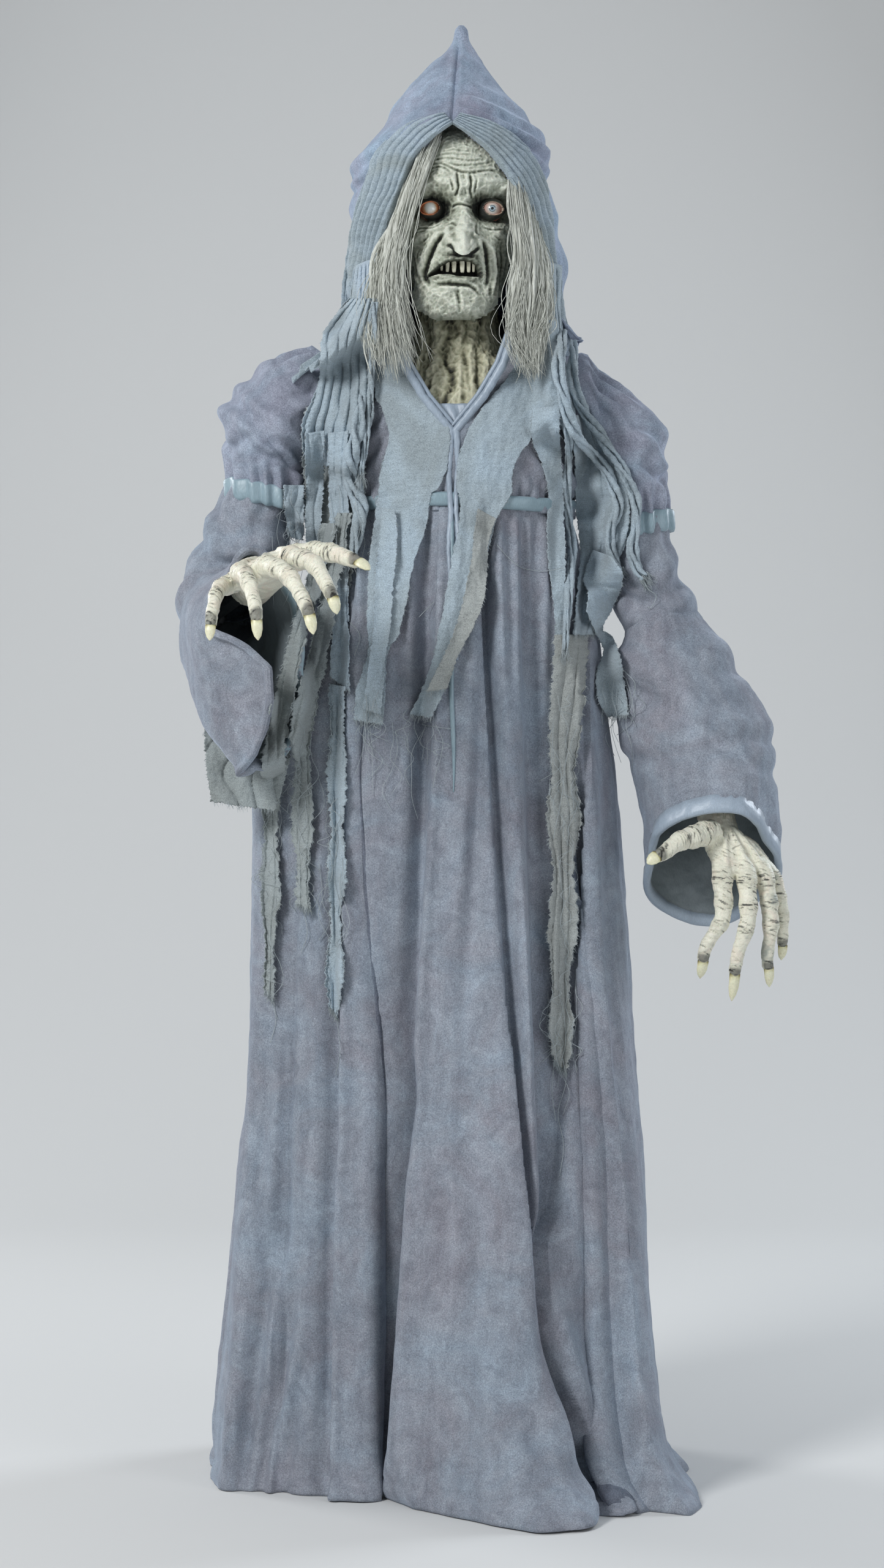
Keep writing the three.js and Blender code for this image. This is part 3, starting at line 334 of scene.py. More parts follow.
def ramp(nt, fac, stops):
    n = node(nt, "ValToRGB", {0: fac})
    e = n.color_ramp.elements
    e[0].position, e[0].color = stops[0][0], (*stops[0][1], 1)
    e[1].position, e[1].color = stops[-1][0], (*stops[-1][1], 1)
    for p, c in stops[1:-1]:
        x = e.new(p)
        x.color = (*c, 1)
    return n.outputs[0]


def noisy(nt, co, scale, detail=4, rough=0.55, stretch=None, distort=0.0):
    if stretch:
        co = node(nt, "Mapping", {0: co, 3: stretch}).outputs[0]
    return node(nt, "TexNoise", {"Vector": co, "Scale": scale, "Detail": detail, "Roughness": rough, "Distortion": distort}).outputs[0]


def mixed(nt, fac, a, b, kind="MIX"):
    n = node(nt, "Mix", {0: fac}, data_type="RGBA", blend_type=kind)
    for i, v in ((6, a), (7, b)):
        if isinstance(v, bpy.types.NodeSocket):
            nt.links.new(v, n.inputs[i])
        else:
            n.inputs[i].default_value = (*v, 1)
    return n.outputs[2]


def maths(nt, op, a, b=0.0, clamp=False):
    return node(nt, "Math", {0: a, 1: b}, operation=op, use_clamp=clamp).outputs[0]


def start(name, rough=0.8, **sockets):
    m = bpy.data.materials.new(name)
    m.use_nodes = True
    nt = m.node_tree
    b = nt.nodes["Principled BSDF"]
    b.inputs["Roughness"].default_value = rough
    for k, v in sockets.items():
        b.inputs[k.replace("_", " ")].default_value = v
    return m, nt, b, nt.nodes.new("ShaderNodeTexCoord").outputs["Object"]


def bump(nt, b, layers):
    last = None
    for height, strength, distance in layers:
        d = {"Height": height, "Strength": strength, "Distance": distance}
        if last is not None:
            d["Normal"] = last
        last = node(nt, "Bump", d).outputs[0]
    nt.links.new(last, b.inputs["Normal"])


def cloth_velvet(name, low, mid, blue, light=1.0, streak=(34, 34, 5)):
    m, nt, b, co = start(name, 0.88, Sheen_Weight=0.42, Sheen_Roughness=0.38, Sheen_Tint=(0.72, 0.82, 1.0, 1), Specular_IOR_Level=0.22)
    tint = ramp(nt, noisy(nt, co, 8.0, 6, 0.66, None, 0.8), [(0.32, low), (0.5, mid), (0.68, blue)])
    crush = ramp(nt, noisy(nt, co, 1.0, 6, 0.62, streak, 0.5), [(0.3, (0.80, 0.80, 0.82)), (0.52, (1, 1, 1)), (0.72, (1.16, 1.17, 1.18))])
    patch = ramp(nt, noisy(nt, co, 30, 5, 0.66, None, 1.2), [(0.34, (0.84, 0.84, 0.86)), (0.66, (1.16, 1.16, 1.16))])
    pile = noisy(nt, co, 620, 3, 0.7)
    speck = ramp(nt, pile, [(0.28, (0.64, 0.64, 0.66)), (0.5, (1, 1, 1)), (0.74, (1.42, 1.42, 1.42))])
    lint = ramp(nt, noisy(nt, co, 210, 2, 0.5), [(0.76, (1, 1, 1)), (0.80, (1.5, 1.5, 1.5))])
    c = mixed(nt, 1.0, tint, crush, "MULTIPLY")
    c = mixed(nt, 1.0, c, patch, "MULTIPLY")
    c = mixed(nt, 1.0, c, speck, "MULTIPLY")
    c = mixed(nt, 1.0, c, lint, "MULTIPLY")
    nt.links.new(mixed(nt, 1.0, c, (light,) * 3, "MULTIPLY"), b.inputs["Base Color"])
    bump(nt, b, [(noisy(nt, co, 30, 5, 0.6, None, 0.6), 0.32, 0.004), (pile, 0.45, 0.0009)])
    return m


velvet = cloth_velvet("velvet_robe", (0.255, 0.255, 0.288), (0.262, 0.286, 0.326), (0.270, 0.320, 0.375))
# velvet_inside is the robe velvet at about half its brightness: painted shade for the inside faces of the robe and
# sleeves, and for the cowl inside the hood
velvet_painted_shade = cloth_velvet("velvet_inside", (0.13, 0.135, 0.165), (0.135, 0.15, 0.185), (0.13, 0.16, 0.20))
velvet_hood = cloth_velvet("velvet_hood", (0.29, 0.295, 0.365), (0.29, 0.345, 0.43), (0.285, 0.375, 0.465), 1.0, (22, 22, 14))
velvet_cap = cloth_velvet("velvet_cap", (0.285, 0.285, 0.345), (0.305, 0.330, 0.395), (0.31, 0.375, 0.45), 1.0, (26, 26, 16))


def cloth_gauze(name, low, mid, high, streak=(70, 70, 620)):
    m, nt, b, co = start(name, 0.93, Sheen_Weight=0.18, Sheen_Roughness=0.5, Specular_IOR_Level=0.15)
    tone = ramp(nt, noisy(nt, co, 9, 4, 0.6, None, 0.8), [(0.32, low), (0.5, mid), (0.68, high)])
    slub = noisy(nt, co, 1.0, 4, 0.65, streak, 0.4)
    slubs = ramp(nt, slub, [(0.3, (0.90, 0.90, 0.90)), (0.5, (1, 1, 1)), (0.7, (1.08, 1.08, 1.07))])
    wob = node(nt, "VectorMath", {0: noisy(nt, co, 45, 2), 1: (0.0012, 0.0012, 0.0012)}, operation="MULTIPLY").outputs[0]
    sep = node(nt, "SeparateXYZ", {0: node(nt, "VectorMath", {0: co, 1: wob}, operation="ADD").outputs[0]})
    wa = maths(nt, "SINE", maths(nt, "MULTIPLY", sep.outputs[0], 4300.0))
    wb = maths(nt, "SINE", maths(nt, "MULTIPLY", sep.outputs[2], 4300.0))
    weave = maths(nt, "MULTIPLY", maths(nt, "ADD", wa, 1.0), maths(nt, "ADD", wb, 1.0))
    fine = noisy(nt, co, 900, 2, 0.7)
    threads = ramp(nt, fine, [(0.3, (0.66, 0.66, 0.66)), (0.5, (1, 1, 1)), (0.72, (1.28, 1.28, 1.28))])
    c = mixed(nt, 1.0, mixed(nt, 1.0, tone, slubs, "MULTIPLY"), threads, "MULTIPLY")
    nt.links.new(c, b.inputs["Base Color"])
    bump(nt, b, [(noisy(nt, co, 24, 5, 0.65, (1, 1, 2.4), 0.7), 0.55, 0.005), (slub, 0.35, 0.0016), (weave, 0.10, 0.0004), (fine, 0.5, 0.0008)])
    return m


gauze_m = cloth_gauze("gauze_blue", (0.31, 0.36, 0.385), (0.375, 0.445, 0.49), (0.415, 0.505, 0.575))
gauze_grey = cloth_gauze("gauze_grey", (0.27, 0.295, 0.29), (0.32, 0.355, 0.355), (0.37, 0.415, 0.425))
gauze_beige = cloth_gauze("gauze_beige", (0.30, 0.315, 0.305), (0.345, 0.365, 0.355), (0.39, 0.415, 0.41))
gauze_hood = cloth_gauze("gauze_hood", (0.32, 0.37, 0.385), (0.36, 0.43, 0.475), (0.39, 0.47, 0.55))


def cloth_satin(name, dark, pale):
    m, nt, b, co = start(name, 0.42, Sheen_Weight=0.25, Sheen_Roughness=0.3, Specular_IOR_Level=0.55)
    tone = ramp(nt, noisy(nt, co, 12, 3, 0.5), [(0.35, dark), (0.65, pale)])
    fine = noisy(nt, co, 1.0, 2, 0.6, (1400, 1400, 160))
    nt.links.new(mixed(nt, 1.0, tone, ramp(nt, fine, [(0.3, (0.86,) * 3), (0.7, (1.12,) * 3)]), "MULTIPLY"), b.inputs["Base Color"])
    bump(nt, b, [(noisy(nt, co, 38, 4, 0.6, None, 0.5), 0.35, 0.003), (fine, 0.2, 0.0003)])
    return m


satin = cloth_satin("satin_trim", (0.235, 0.33, 0.375), (0.30, 0.40, 0.45))
satin_pale = cloth_satin("satin_hem", (0.30, 0.36, 0.43), (0.38, 0.45, 0.53))
satin_dark = cloth_satin("satin_lining", (0.20, 0.235, 0.25), (0.26, 0.30, 0.32))


def painted(name, dark, wash_and_shade, base, pale, rough, grain, spots=None, subsurface=0.06):
    """Latex painted in layers: the mesh's own cav value picks the dark tone (painted shade in the deepest places, and
    dark paint), the wash (a dark wash and painted shade in creases), the base, and the pale tone (a dry brush and
    painted highlights on ridges).
    """
    m, nt, b, co = start(name, rough, Subsurface_Weight=subsurface, Subsurface_Scale=0.004, Specular_IOR_Level=0.38)
    cav = node(nt, "Attribute", attribute_name="cav").outputs["Fac"]
    blot = noisy(nt, co, 46, 5, 0.65, None, 0.6)
    k = maths(nt, "ADD", cav, maths(nt, "MULTIPLY", maths(nt, "SUBTRACT", blot, 0.5), 0.30))
    c = ramp(nt, k, [(0.0, dark), (0.26, wash_and_shade), (0.52, base), (0.86, pale)])
    tint = node(nt, "Attribute", attribute_name="tint").outputs["Color"]
    c = mixed(nt, 1.0, c, tint, "MULTIPLY")
    pores = noisy(nt, co, grain, 3, 0.7)
    c = mixed(nt, 1.0, c, ramp(nt, pores, [(0.3, (0.86, 0.86, 0.84)), (0.7, (1.08, 1.08, 1.08))]), "MULTIPLY")
    if spots:
        c = mixed(nt, ramp(nt, noisy(nt, co, spots[0], 3, 0.6), [(spots[1], (0, 0, 0)), (spots[1] + 0.1, (0.75,) * 3)]), c, spots[2])
    nt.links.new(c, b.inputs["Base Color"])
    bump(nt, b, [(noisy(nt, co, 120, 5, 0.65), 0.35, 0.0016), (pores, 0.35, 0.0006)])
    return m


skin_m = painted("latex_face", (0.012, 0.013, 0.012), (0.135, 0.145, 0.11), (0.40, 0.425, 0.345), (0.70, 0.72, 0.62), 0.58, 620)
neck_m = painted("latex_neck", (0.02, 0.02, 0.014), (0.16, 0.155, 0.10), (0.42, 0.41, 0.285), (0.66, 0.64, 0.48), 0.62, 520)
hand_m = painted("latex_hands", (0.018, 0.017, 0.014), (0.27, 0.27, 0.23), (0.66, 0.65, 0.53), (0.86, 0.85, 0.72), 0.5, 700, (34, 0.62, (0.30, 0.33, 0.30)))
nail_m = painted("nail_ivory", (0.05, 0.045, 0.02), (0.33, 0.29, 0.13), (0.72, 0.68, 0.42), (0.84, 0.82, 0.62), 0.30, 400)


def plain(name, low, high, scale, rough, strength=0.2, distance=0.0004, **sockets):
    m, nt, b, co = start(name, rough, **sockets)
    f = noisy(nt, co, scale, 4, 0.6)
    nt.links.new(ramp(nt, f, [(0.3, low), (0.7, high)]), b.inputs["Base Color"])
    nt.links.new(ramp(nt, noisy(nt, co, scale * 0.2, 3), [(0.3, (rough - 0.08,) * 3), (0.7, (rough + 0.1,) * 3)]), b.inputs["Roughness"])
    bump(nt, b, [(f, strength, distance)])
    return m


steel_m = plain("powder_coat", (0.075, 0.08, 0.085), (0.11, 0.115, 0.12), 900, 0.5, 0.3, 0.0003, Metallic=0.35)
plastic_m = plain("moulded_black", (0.018, 0.018, 0.02), (0.035, 0.035, 0.038), 1300, 0.55, 0.25, 0.0002)
form_m = plain("formed_grey", (0.34, 0.345, 0.35), (0.42, 0.425, 0.43), 260, 0.55, 0.2, 0.0008)
motor_m = plain("motor_case", (0.05, 0.05, 0.055), (0.09, 0.09, 0.1), 700, 0.45, 0.2, 0.0003)
button_m = plain("button_red", (0.35, 0.035, 0.025), (0.45, 0.05, 0.035), 500, 0.4, 0.1, 0.0002)
tooth_m = plain("tooth_ivory", (0.55, 0.52, 0.38), (0.80, 0.78, 0.64), 160, 0.3, 0.25, 0.0008)
gum_m = plain("gum_dark", (0.02, 0.016, 0.014), (0.06, 0.05, 0.045), 200, 0.35, 0.4, 0.001)
frame_m = {"steel": steel_m, "black_plastic": plastic_m, "moulded_form": form_m, "motor_case": motor_m, "velvet": velvet, "gauze": gauze_m,
           "latex_skin": skin_m, "latex_hand": hand_m, "hair_fibre": form_m, "eye_blank": form_m, "eye_grey": form_m, "tooth": tooth_m, "button_red": button_m}

hair_m, _nt, _b, _co = start("hair_fibre", 0.62, Specular_IOR_Level=0.4, Sheen_Weight=0.2)
_h = noisy(_nt, _co, 1.0, 3, 0.6, (420, 420, 9))
_nt.links.new(ramp(_nt, _h, [(0.25, (0.27, 0.275, 0.235)), (0.5, (0.54, 0.55, 0.49)), (0.75, (0.76, 0.78, 0.72))]), _b.inputs["Base Color"])
thread_m = plain("thread", (0.30, 0.34, 0.35), (0.46, 0.51, 0.53), 120, 0.9)


def eye_material(name, centre, stops, rough=0.12):
    """Painted eyeball: rings round the line of sight through centre."""
    m, nt, b, co = start(name, rough, Coat_Weight=0.8, Coat_Roughness=0.05)
    p = node(nt, "VectorMath", {0: co, 1: centre}, operation="SUBTRACT").outputs[0]
    flat = node(nt, "VectorMath", {0: p, 1: (1, 0, 1)}, operation="MULTIPLY").outputs[0]
    r = node(nt, "VectorMath", {0: flat}, operation="LENGTH").outputs["Value"]
    wob = maths(nt, "MULTIPLY", maths(nt, "SUBTRACT", noisy(nt, co, 420, 4, 0.7), 0.5), 0.0022)
    k = maths(nt, "DIVIDE", maths(nt, "ADD", r, wob), 0.0145)
    nt.links.new(ramp(nt, k, stops), b.inputs["Base Color"])
    bump(nt, b, [(noisy(nt, co, 300, 3), 0.08, 0.0004)])
    return m


# CAD nodes that stay as they are get their finish
_slot_of = {s["node"]: s["material_slot"] for s in frame["record"]["subparts"]}
for _name, _o in frame["nodes"].items():
    _o.data.materials.clear()
    _o.data.materials.append(frame_m[_slot_of[_name]])

# ------------------------------------------------------------------ robe skirt
SEAM = 1.2144
HEM = np.array([(-306, -42), (-296, -80), (-276, -108), (-218, -121), (-150, -157), (-88, -170), (-60, -122), (-30, -200), (16, -253),
                (62, -300), (98, -328), (140, -312), (158, -270), (172, -170), (190, -208), (236, -240), (276, -250), (298, -196), (300, -120),
                (292, -30), (284, 60), (262, 140), (214, 205), (140, 250), (50, 268), (-50, 268), (-140, 250), (-216, 205), (-268, 140), (-298, 60)]) / 1000.0
SIDE = [(0, -306, 300, 328, 268), (60, -304, 262, 270, 262), (150, -296, 250, 240, 250), (274, -284, 243, 222, 236),
        (393, -274, 239, 208, 224), (480, -262, 232, 198, 214), (671, -260, 220, 178, 192), (845, -258, 206, 158, 168),
        (930, -246, 196, 148, 156), (1060, -206, 180, 134, 132), (1150, -172, 160, 124, 118), (1214.4, -152, 144, 118, 108)]
SIDE = [tuple(v / 1000.0 for v in r) for r in SIDE]

# fold lines as seen from the front, on the drawing grid: (x, y) down the robe
OVERLAP = [(650, 470), (800, 452), (920, 444), (1450, 437), (1510, 432), (1900, 424)]
BLUE = [(650, 560), (800, 556), (972, 551), (1123, 545), (1238, 539), (1329, 536), (1400, 540), (1510, 530), (1650, 526), (1960, 517)]
BROAD = [(650, 606), (871, 618), (1077, 630), (1215, 641), (1306, 648), (1330, 651), (1489, 664), (1647, 680), (1727, 694), (1859, 712), (1960, 765)]
NARROW = [(650, 668), (900, 672), (1100, 678), (1280, 683), (1380, 682), (1541, 691), (1640, 695), (1760, 712)]
RIGHTP = [(650, 748), (900, 752), (1304, 733), (1541, 716), (1594, 700), (1700, 697), (1779, 717), (1843, 738), (1890, 765)]
SEAMLEFT = [(650, 402), (1000, 382), (1300, 374), (1540, 366), (1858, 358), (1920, 352)]


def at_line(line, y):
    return np.interp(y, [p[0] for p in line], [p[1] for p in line])


def folds_front(xd, yd):
    """How far the cloth stands out of its plain shape, in metres, for the front half."""
    top = sstep(650, 860, yd)  # folds open out below the seam's gathers
    low = sstep(1200, 1880, yd)
    d = np.zeros_like(xd)
    # left front panel lies over the side panel: a sharp edge, then flat
    e = xd - at_line(OVERLAP, yd)
    d += np.where(e > 0, 0.017, 0.0) * (0.35 + 0.65 * top) * np.exp(-np.clip(e, 0, None) / 70) + 0.004 * gauss(e - 5, 7)
    d -= 0.008 * gauss(e + 9, 12) * top
    # soft swells on that panel
    d += 0.006 * gauss(e - 42, 20) * top - 0.004 * gauss(e - 66, 13) * top
    # valley and the sharp bright edge of the centre panel
    b = xd - at_line(BLUE, yd)
    d -= (0.026 + 0.022 * low) * gauss(b + 13, 13) * (0.35 + 0.65 * top)
    d += np.where(b > 0, (0.018 + 0.014 * low) * np.exp(-np.clip(b, 0, None) / 85), 0.0) * (0.3 + 0.7 * top)
    d += 0.006 * gauss(b - 6, 7)
    # gathers in the upper part of the centre panel
    up = 1 - sstep(1050, 1420, yd)
    d += up * (0.006 * gauss(b - 44, 10) - 0.007 * gauss(b - 60, 8))
    # right edge of the broad panel, over a narrow ridge
    g = xd - at_line(BROAD, yd)
    d += np.where(g < 0, (0.010 + 0.020 * low) * np.exp(np.clip(g, None, 0) / 60), -0.004) * (0.3 + 0.7 * top)
    d -= (0.012 + 0.012 * low) * gauss(g - 6, 7)
    d += (0.014 - 0.004 * low) * gauss(g - 22, 12) * (0.45 + 0.55 * top)
    n = xd - at_line(NARROW, yd)
    d -= (0.015 + 0.012 * low) * gauss(n - 9, 15) * (0.4 + 0.6 * top) * (1 - 0.9 * sstep(1600, 1780, yd))
    d += 0.009 * gauss(n + 14, 9) * (0.4 + 0.6 * top) * (1 - 0.8 * sstep(1450, 1640, yd))
    # right panel: its left edge, a broad ridge
    r = xd - at_line(RIGHTP, yd)
    d += np.where(r > 0, (0.010 + 0.022 * low) * np.exp(-np.clip(r, 0, None) / 55), 0.0)
    d -= (0.012 + 0.014 * low) * gauss(r + 8, 14)
    d += 0.010 * gauss(xd - at_line([(650, 728), (1100, 748), (1400, 757), (1900, 770)], yd), 15) * top
    d -= 0.006 * gauss(xd - at_line([(650, 752), (1100, 775), (1400, 790), (1900, 800)], yd), 12) * top
    # left side panel: a sewn seam, and folds that flare towards the hem
    s = xd - at_line(SEAMLEFT, yd)
    d -= 0.0028 * gauss(s, 2.6)
    d += 0.004 * gauss(s - 30, 22) * top - 0.004 * gauss(s - 50, 12) * top
    for k, (x0, y0, x1, y1, a, w) in enumerate([(372, 1560, 318, 1900, 0.010, 11), (385, 1690, 345, 1900, 0.008, 9), (352, 1430, 290, 1900, 0.009, 13),
                                                 (338, 1180, 300, 1760, 0.006, 11), (362, 1000, 350, 1500, 0.005, 9)]):
        t = np.clip((yd - y0) / (y1 - y0), 0, 1)
        q = (xd - (x0 + (x1 - x0) * t)) / w
        d += a * np.exp(-q * q) * sstep(0, 0.25, t) - 0.6 * a * np.exp(-(q - 1.6) ** 2) * sstep(0, 0.25, t)
    # fine gathers just under the seam
    ph = xd / 11.5 + 0.8 * np.sin(xd / 37)
    d += 0.0032 * np.sin(ph * TAU / 2) * (1 - sstep(655, 980, yd)) * sstep(635, 662, yd)
    return d


def skirt_grid(n=760, m=300):
    t = np.concatenate([np.linspace(-math.pi, 0, int(n * 0.72), endpoint=False), np.linspace(0, math.pi, n - int(n * 0.72), endpoint=False)])
    ht = np.arctan2(HEM[:, 1] / np.where(HEM[:, 1] < 0, 0.328, 0.268), (HEM[:, 0] + 0.003) / 0.303)
    o = np.argsort(ht)
    ht, h = ht[o], HEM[o]
    ht3 = np.concatenate([ht - TAU, ht, ht + TAU])
    h3 = np.vstack([h, h, h])
    hx, hy = np.interp(t, ht3, h3[:, 0]), np.interp(t, ht3, h3[:, 1])
    k = np.exp(-np.linspace(-2, 2, 9) ** 2)
    k /= k.sum()
    pad = lambda a: np.convolve(np.concatenate([a[-4:], a, a[:4]]), k, "valid")
    hx, hy = pad(hx), pad(hy)
    u = np.linspace(0, 1, m)
    z = SEAM * (1 - u) ** 1.0
    x0, x1, f, b = look(SIDE, z)
    w = np.clip(1 - z / 1.215, 0, 1) ** 1.2
    ex, ey = np.cos(t)[None], np.sin(t)[None]
    sx = ex + ((hx[None] + 0.003) / 0.303 - ex) * w[:, None]
    sy = ey + (np.where(hy < 0, hy / 0.328, hy / 0.268)[None] - ey) * w[:, None]
    X = ((x0 + x1) / 2)[:, None] + ((x1 - x0) / 2)[:, None] * sx
    Y = np.where(sy < 0, sy * f[:, None], sy * b[:, None])
    Z = np.repeat(z[:, None], n, 1)
    P = np.stack([X, Y, Z], -1)
    N = outward(P, wrap=True)
    N[..., 2] *= 0.2
    N = norm(N)
    if (N[:, :, 1] * np.sign(P[:, :, 1])).mean() < 0:
        N = -N
    xd, yd = drawn(P)
    fr = sstep(0.03, -0.05, P[..., 1])
    d = folds_front(xd, yd) * fr
    # back and sides: hanging folds that deepen downwards
    ang = np.arctan2(P[..., 1] / 0.9, P[..., 0])
    bk = 1 - fr
    hang = 0.35 + 0.65 * sstep(1.15, 0.15, Z)
    wave = 0.55 * np.sin(ang * 17 + 1.3 * np.sin(ang * 3) + Z * 1.2) + 0.35 * np.sin(ang * 29 + 2 + Z * 2.1) + 0.3 * np.sin(ang * 9 + 1)
    d += bk * 0.011 * hang * (np.abs(wave) ** 0.8 * np.sign(wave))
    # cloth never hangs quite plain
    d += 0.0035 * fbm(P * (1, 1, 0.45), 9, 3, 5) + 0.0013 * fbm(P * (1, 1, 0.7), 42, 3, 9)
    d += 0.004 * fbm(P * (1, 1, 2.2), 10, 3, 21) * sstep(0.20, 0.0, Z)
    d *= sstep(SEAM, SEAM - 0.03, Z) * 0.85 + 0.15
    P = P + N * d[..., None]
    # turned hem: a stitched line, and a rounded roll at the floor
    P[..., 2] = np.maximum(P[..., 2], 0.0)
    zz = P[..., 2]
    P += N * (-0.0014 * gauss(zz - 0.026, 0.003) + 0.0022 * gauss(zz - 0.008, 0.010))[..., None]
    return P


SK = skirt_grid()
# the inside faces take the darkened velvet, as painted shade
skirt = thick("robe_skirt_cloth", SK[::-1], 0.0026, velvet, wrap=True, inner=velvet_painted_shade, side=1.0)

# ------------------------------------------------------------------ robe bodice
BODICE = [(1.2144, -.152, .144, .118, .108), (1.26, -.162, .154, .122, .112), (1.32, -.168, .160, .122, .114),
          (1.37, -.168, .160, .106, .106), (1.40, -.150, .142, .084, .090), (1.422, -.108, .104, .060, .070)]
VNECK = [(1.30, -0.003, -0.003), (1.345, -0.040, 0.034), (1.385, -0.064, 0.058), (1.424, -0.078, 0.072)]


def bodice_grid(n=420, m=110):
    t = np.linspace(0, TAU, n, endpoint=False)
    z = np.linspace(1.424, 1.206, m)
    x0, x1, f, b = look(BODICE, np.clip(z, 1.2144, 1.422))
    s = np.sin(t)[None]
    X = ((x0 + x1) / 2)[:, None] + ((x1 - x0) / 2)[:, None] * np.cos(t)[None]
    Y = np.where(s < 0, s * f[:, None], s * b[:, None])
    P = np.stack([X, Y, np.repeat(z[:, None], n, 1)], -1)
    N = outward(P, wrap=True)
    if (N[..., 1] * P[..., 1]).mean() < 0:
        N = -N
    xd, yd = drawn(P)
    d = 0.0045 * fbm(P * (1, 1, .8), 13, 3, 31) + 0.0016 * fbm(P, 48, 3, 33)
    # pulls towards the armholes and up from the seam
    for sx in (-1, 1):
        q = (P[..., 0] * sx - 0.09) * 0.8 + (P[..., 2] - 1.30) * 0.6
        d += 0.0035 * np.sin(q * 260 + 2.2 * fbm(P, 9, 2, 40)) * sstep(0.05, 0.12, P[..., 0] * sx) * sstep(1.40, 1.34, P[..., 2])
    d += 0.0022 * np.sin(t * 58)[None] * sstep(1.262, 1.222, P[..., 2])
    return P + N * d[..., None]


BO = bodice_grid()
# open the V at the neck by leaving out the faces round the points inside it
_z = BO[..., 2]
_l = np.interp(_z, [r[0] for r in VNECK], [r[1] for r in VNECK])
_r = np.interp(_z, [r[0] for r in VNECK], [r[2] for r in VNECK])
_front = (BO[..., 1] < 0) & (_z > 1.302)
_in = _front & (BO[..., 0] > _l) & (BO[..., 0] < _r)
keepq = ~(_in[:-1] | _in[1:] | np.roll(_in, -1, 1)[:-1] | np.roll(_in, -1, 1)[1:])
_f = grid_faces(*BO.shape[:2], wrap=True)[keepq.reshape(-1)]
bodice = mesh("robe_bodice_cloth", BO.reshape(-1, 3), _f, velvet)
_mod = bodice.modifiers.new("cloth", "SOLIDIFY")
_mod.thickness, _mod.offset = 0.003, -1.0


def bodice_front(x, z):
    x0, x1, f, b = look(BODICE, np.clip(z, 1.2144, 1.422))
    k = np.clip(np.abs((x - (x0 + x1) / 2) / ((x1 - x0) / 2)), 0, 1)
    return -f * np.sqrt(1 - k * k)


# waist band: a flat strip of satin over the seam, with a rolled upper edge
def band_ring(z, out, n=420):
    t = np.linspace(0, TAU, n, endpoint=False)
    x0, x1, f, b = look(BODICE, max(z, 1.2144))
    s = np.sin(t)
    P = np.stack([(x0 + x1) / 2 + (x1 - x0) / 2 * np.cos(t), np.where(s < 0, s * f, s * b), np.full(n, z)], -1)
    r = norm(P * (1, 1, 0))
    return P + r * out


_rows = []
for z, o in [(1.2090, 0.0035), (1.2100, 0.0062), (1.2130, 0.0076), (1.2180, 0.0078), (1.2230, 0.0076), (1.2262, 0.0060), (1.2270, 0.0030)]:
    R = band_ring(z, o)
    R[:, 2] += 0.0022 * np.sin(np.arctan2(R[:, 1], R[:, 0]) * 3 + 0.7)
    R += norm(R * (1, 1, 0)) * (0.0010 * fbm(R, 40, 2, 44))[:, None]
    _rows.append(R)
waist_band = thick("waist_band", np.array(_rows), 0.0012, satin, wrap=True)


# piping: a padded satin edge round the V neck, and the loop of trim that runs down the placket
def edge_line(side, n=70):
    col = 1 if side < 0 else 2
    z = np.linspace(1.424, 1.303, n)
    x = np.interp(z, [r[0] for r in VNECK], [r[col] for r in VNECK])
    return np.stack([x, bodice_front(x, z) - 0.004, z], -1)


piping_lines = []
for side in (-1, 1):
    e = edge_line(side)
    tail_z = np.linspace(1.30, 1.02, 90)
    tail = np.stack([np.full(90, -0.003 + side * 0.0045) + 0.0012 * np.sin(tail_z * 70 + side), np.zeros(90), tail_z], -1)
    e = np.vstack([e, tail])
    piping_lines.append((e, side))


# ------------------------------------------------------------------ sleeves
def rings_to_grid(rings, n, m, seed, folds, end_hold=0.02):
    """Smooth loft through given rings [(centre, u, v)] as a grid (m, n, 3), with outward folds added."""
    C = spline_param([r[0] for r in rings], m)
    U = spline_param([r[1] for r in rings], m)
    W = spline_param([r[2] for r in rings], m)
    a = np.linspace(0, TAU, n, endpoint=False)
    P = C[:, None] + np.cos(a)[None, :, None] * U[:, None] + np.sin(a)[None, :, None] * W[:, None]
    R = norm(P - C[:, None])
    N = outward(P, wrap=True)
    N *= np.sign((N * R).sum(-1).mean())
    s = np.linspace(0, 1, m)[:, None] * np.ones(n)[None]
    A = np.ones(m)[:, None] * a[None]
    d = folds(P, s, A) + 0.0030 * fbm(P, 16, 3, seed) + 0.0011 * fbm(P, 55, 3, seed + 3)
    hold = sstep(0, end_hold, s)
    return P + N * (d * hold)[..., None], N


def spline_param(points, m):
    """Smooth curve through points at even parameter steps."""
    p = np.asarray(points, float)
    q = np.vstack([2 * p[0] - p[1], p, 2 * p[-1] - p[-2]])
    t = np.linspace(0, len(p) - 1, m)
    i = np.clip(t.astype(int), 0, len(p) - 2)
    f = (t - i)[:, None]
    a, b, c, d = q[i], q[i + 1], q[i + 2], q[i + 3]
    return 0.5 * ((2 * b) + (-a + c) * f + (2 * a - 5 * b + 4 * c - d) * f**2 + (-a + 3 * b - 3 * c + d) * f**3)


def cap_ring(c, nrm, a, b):
    d = norm(nrm)
    y = norm(np.array([0, 1.0, 0]) - d * d[1])
    x = norm(np.cross(y, d))
    return (np.array(c) / 1000, x * a / 1000, y * b / 1000)


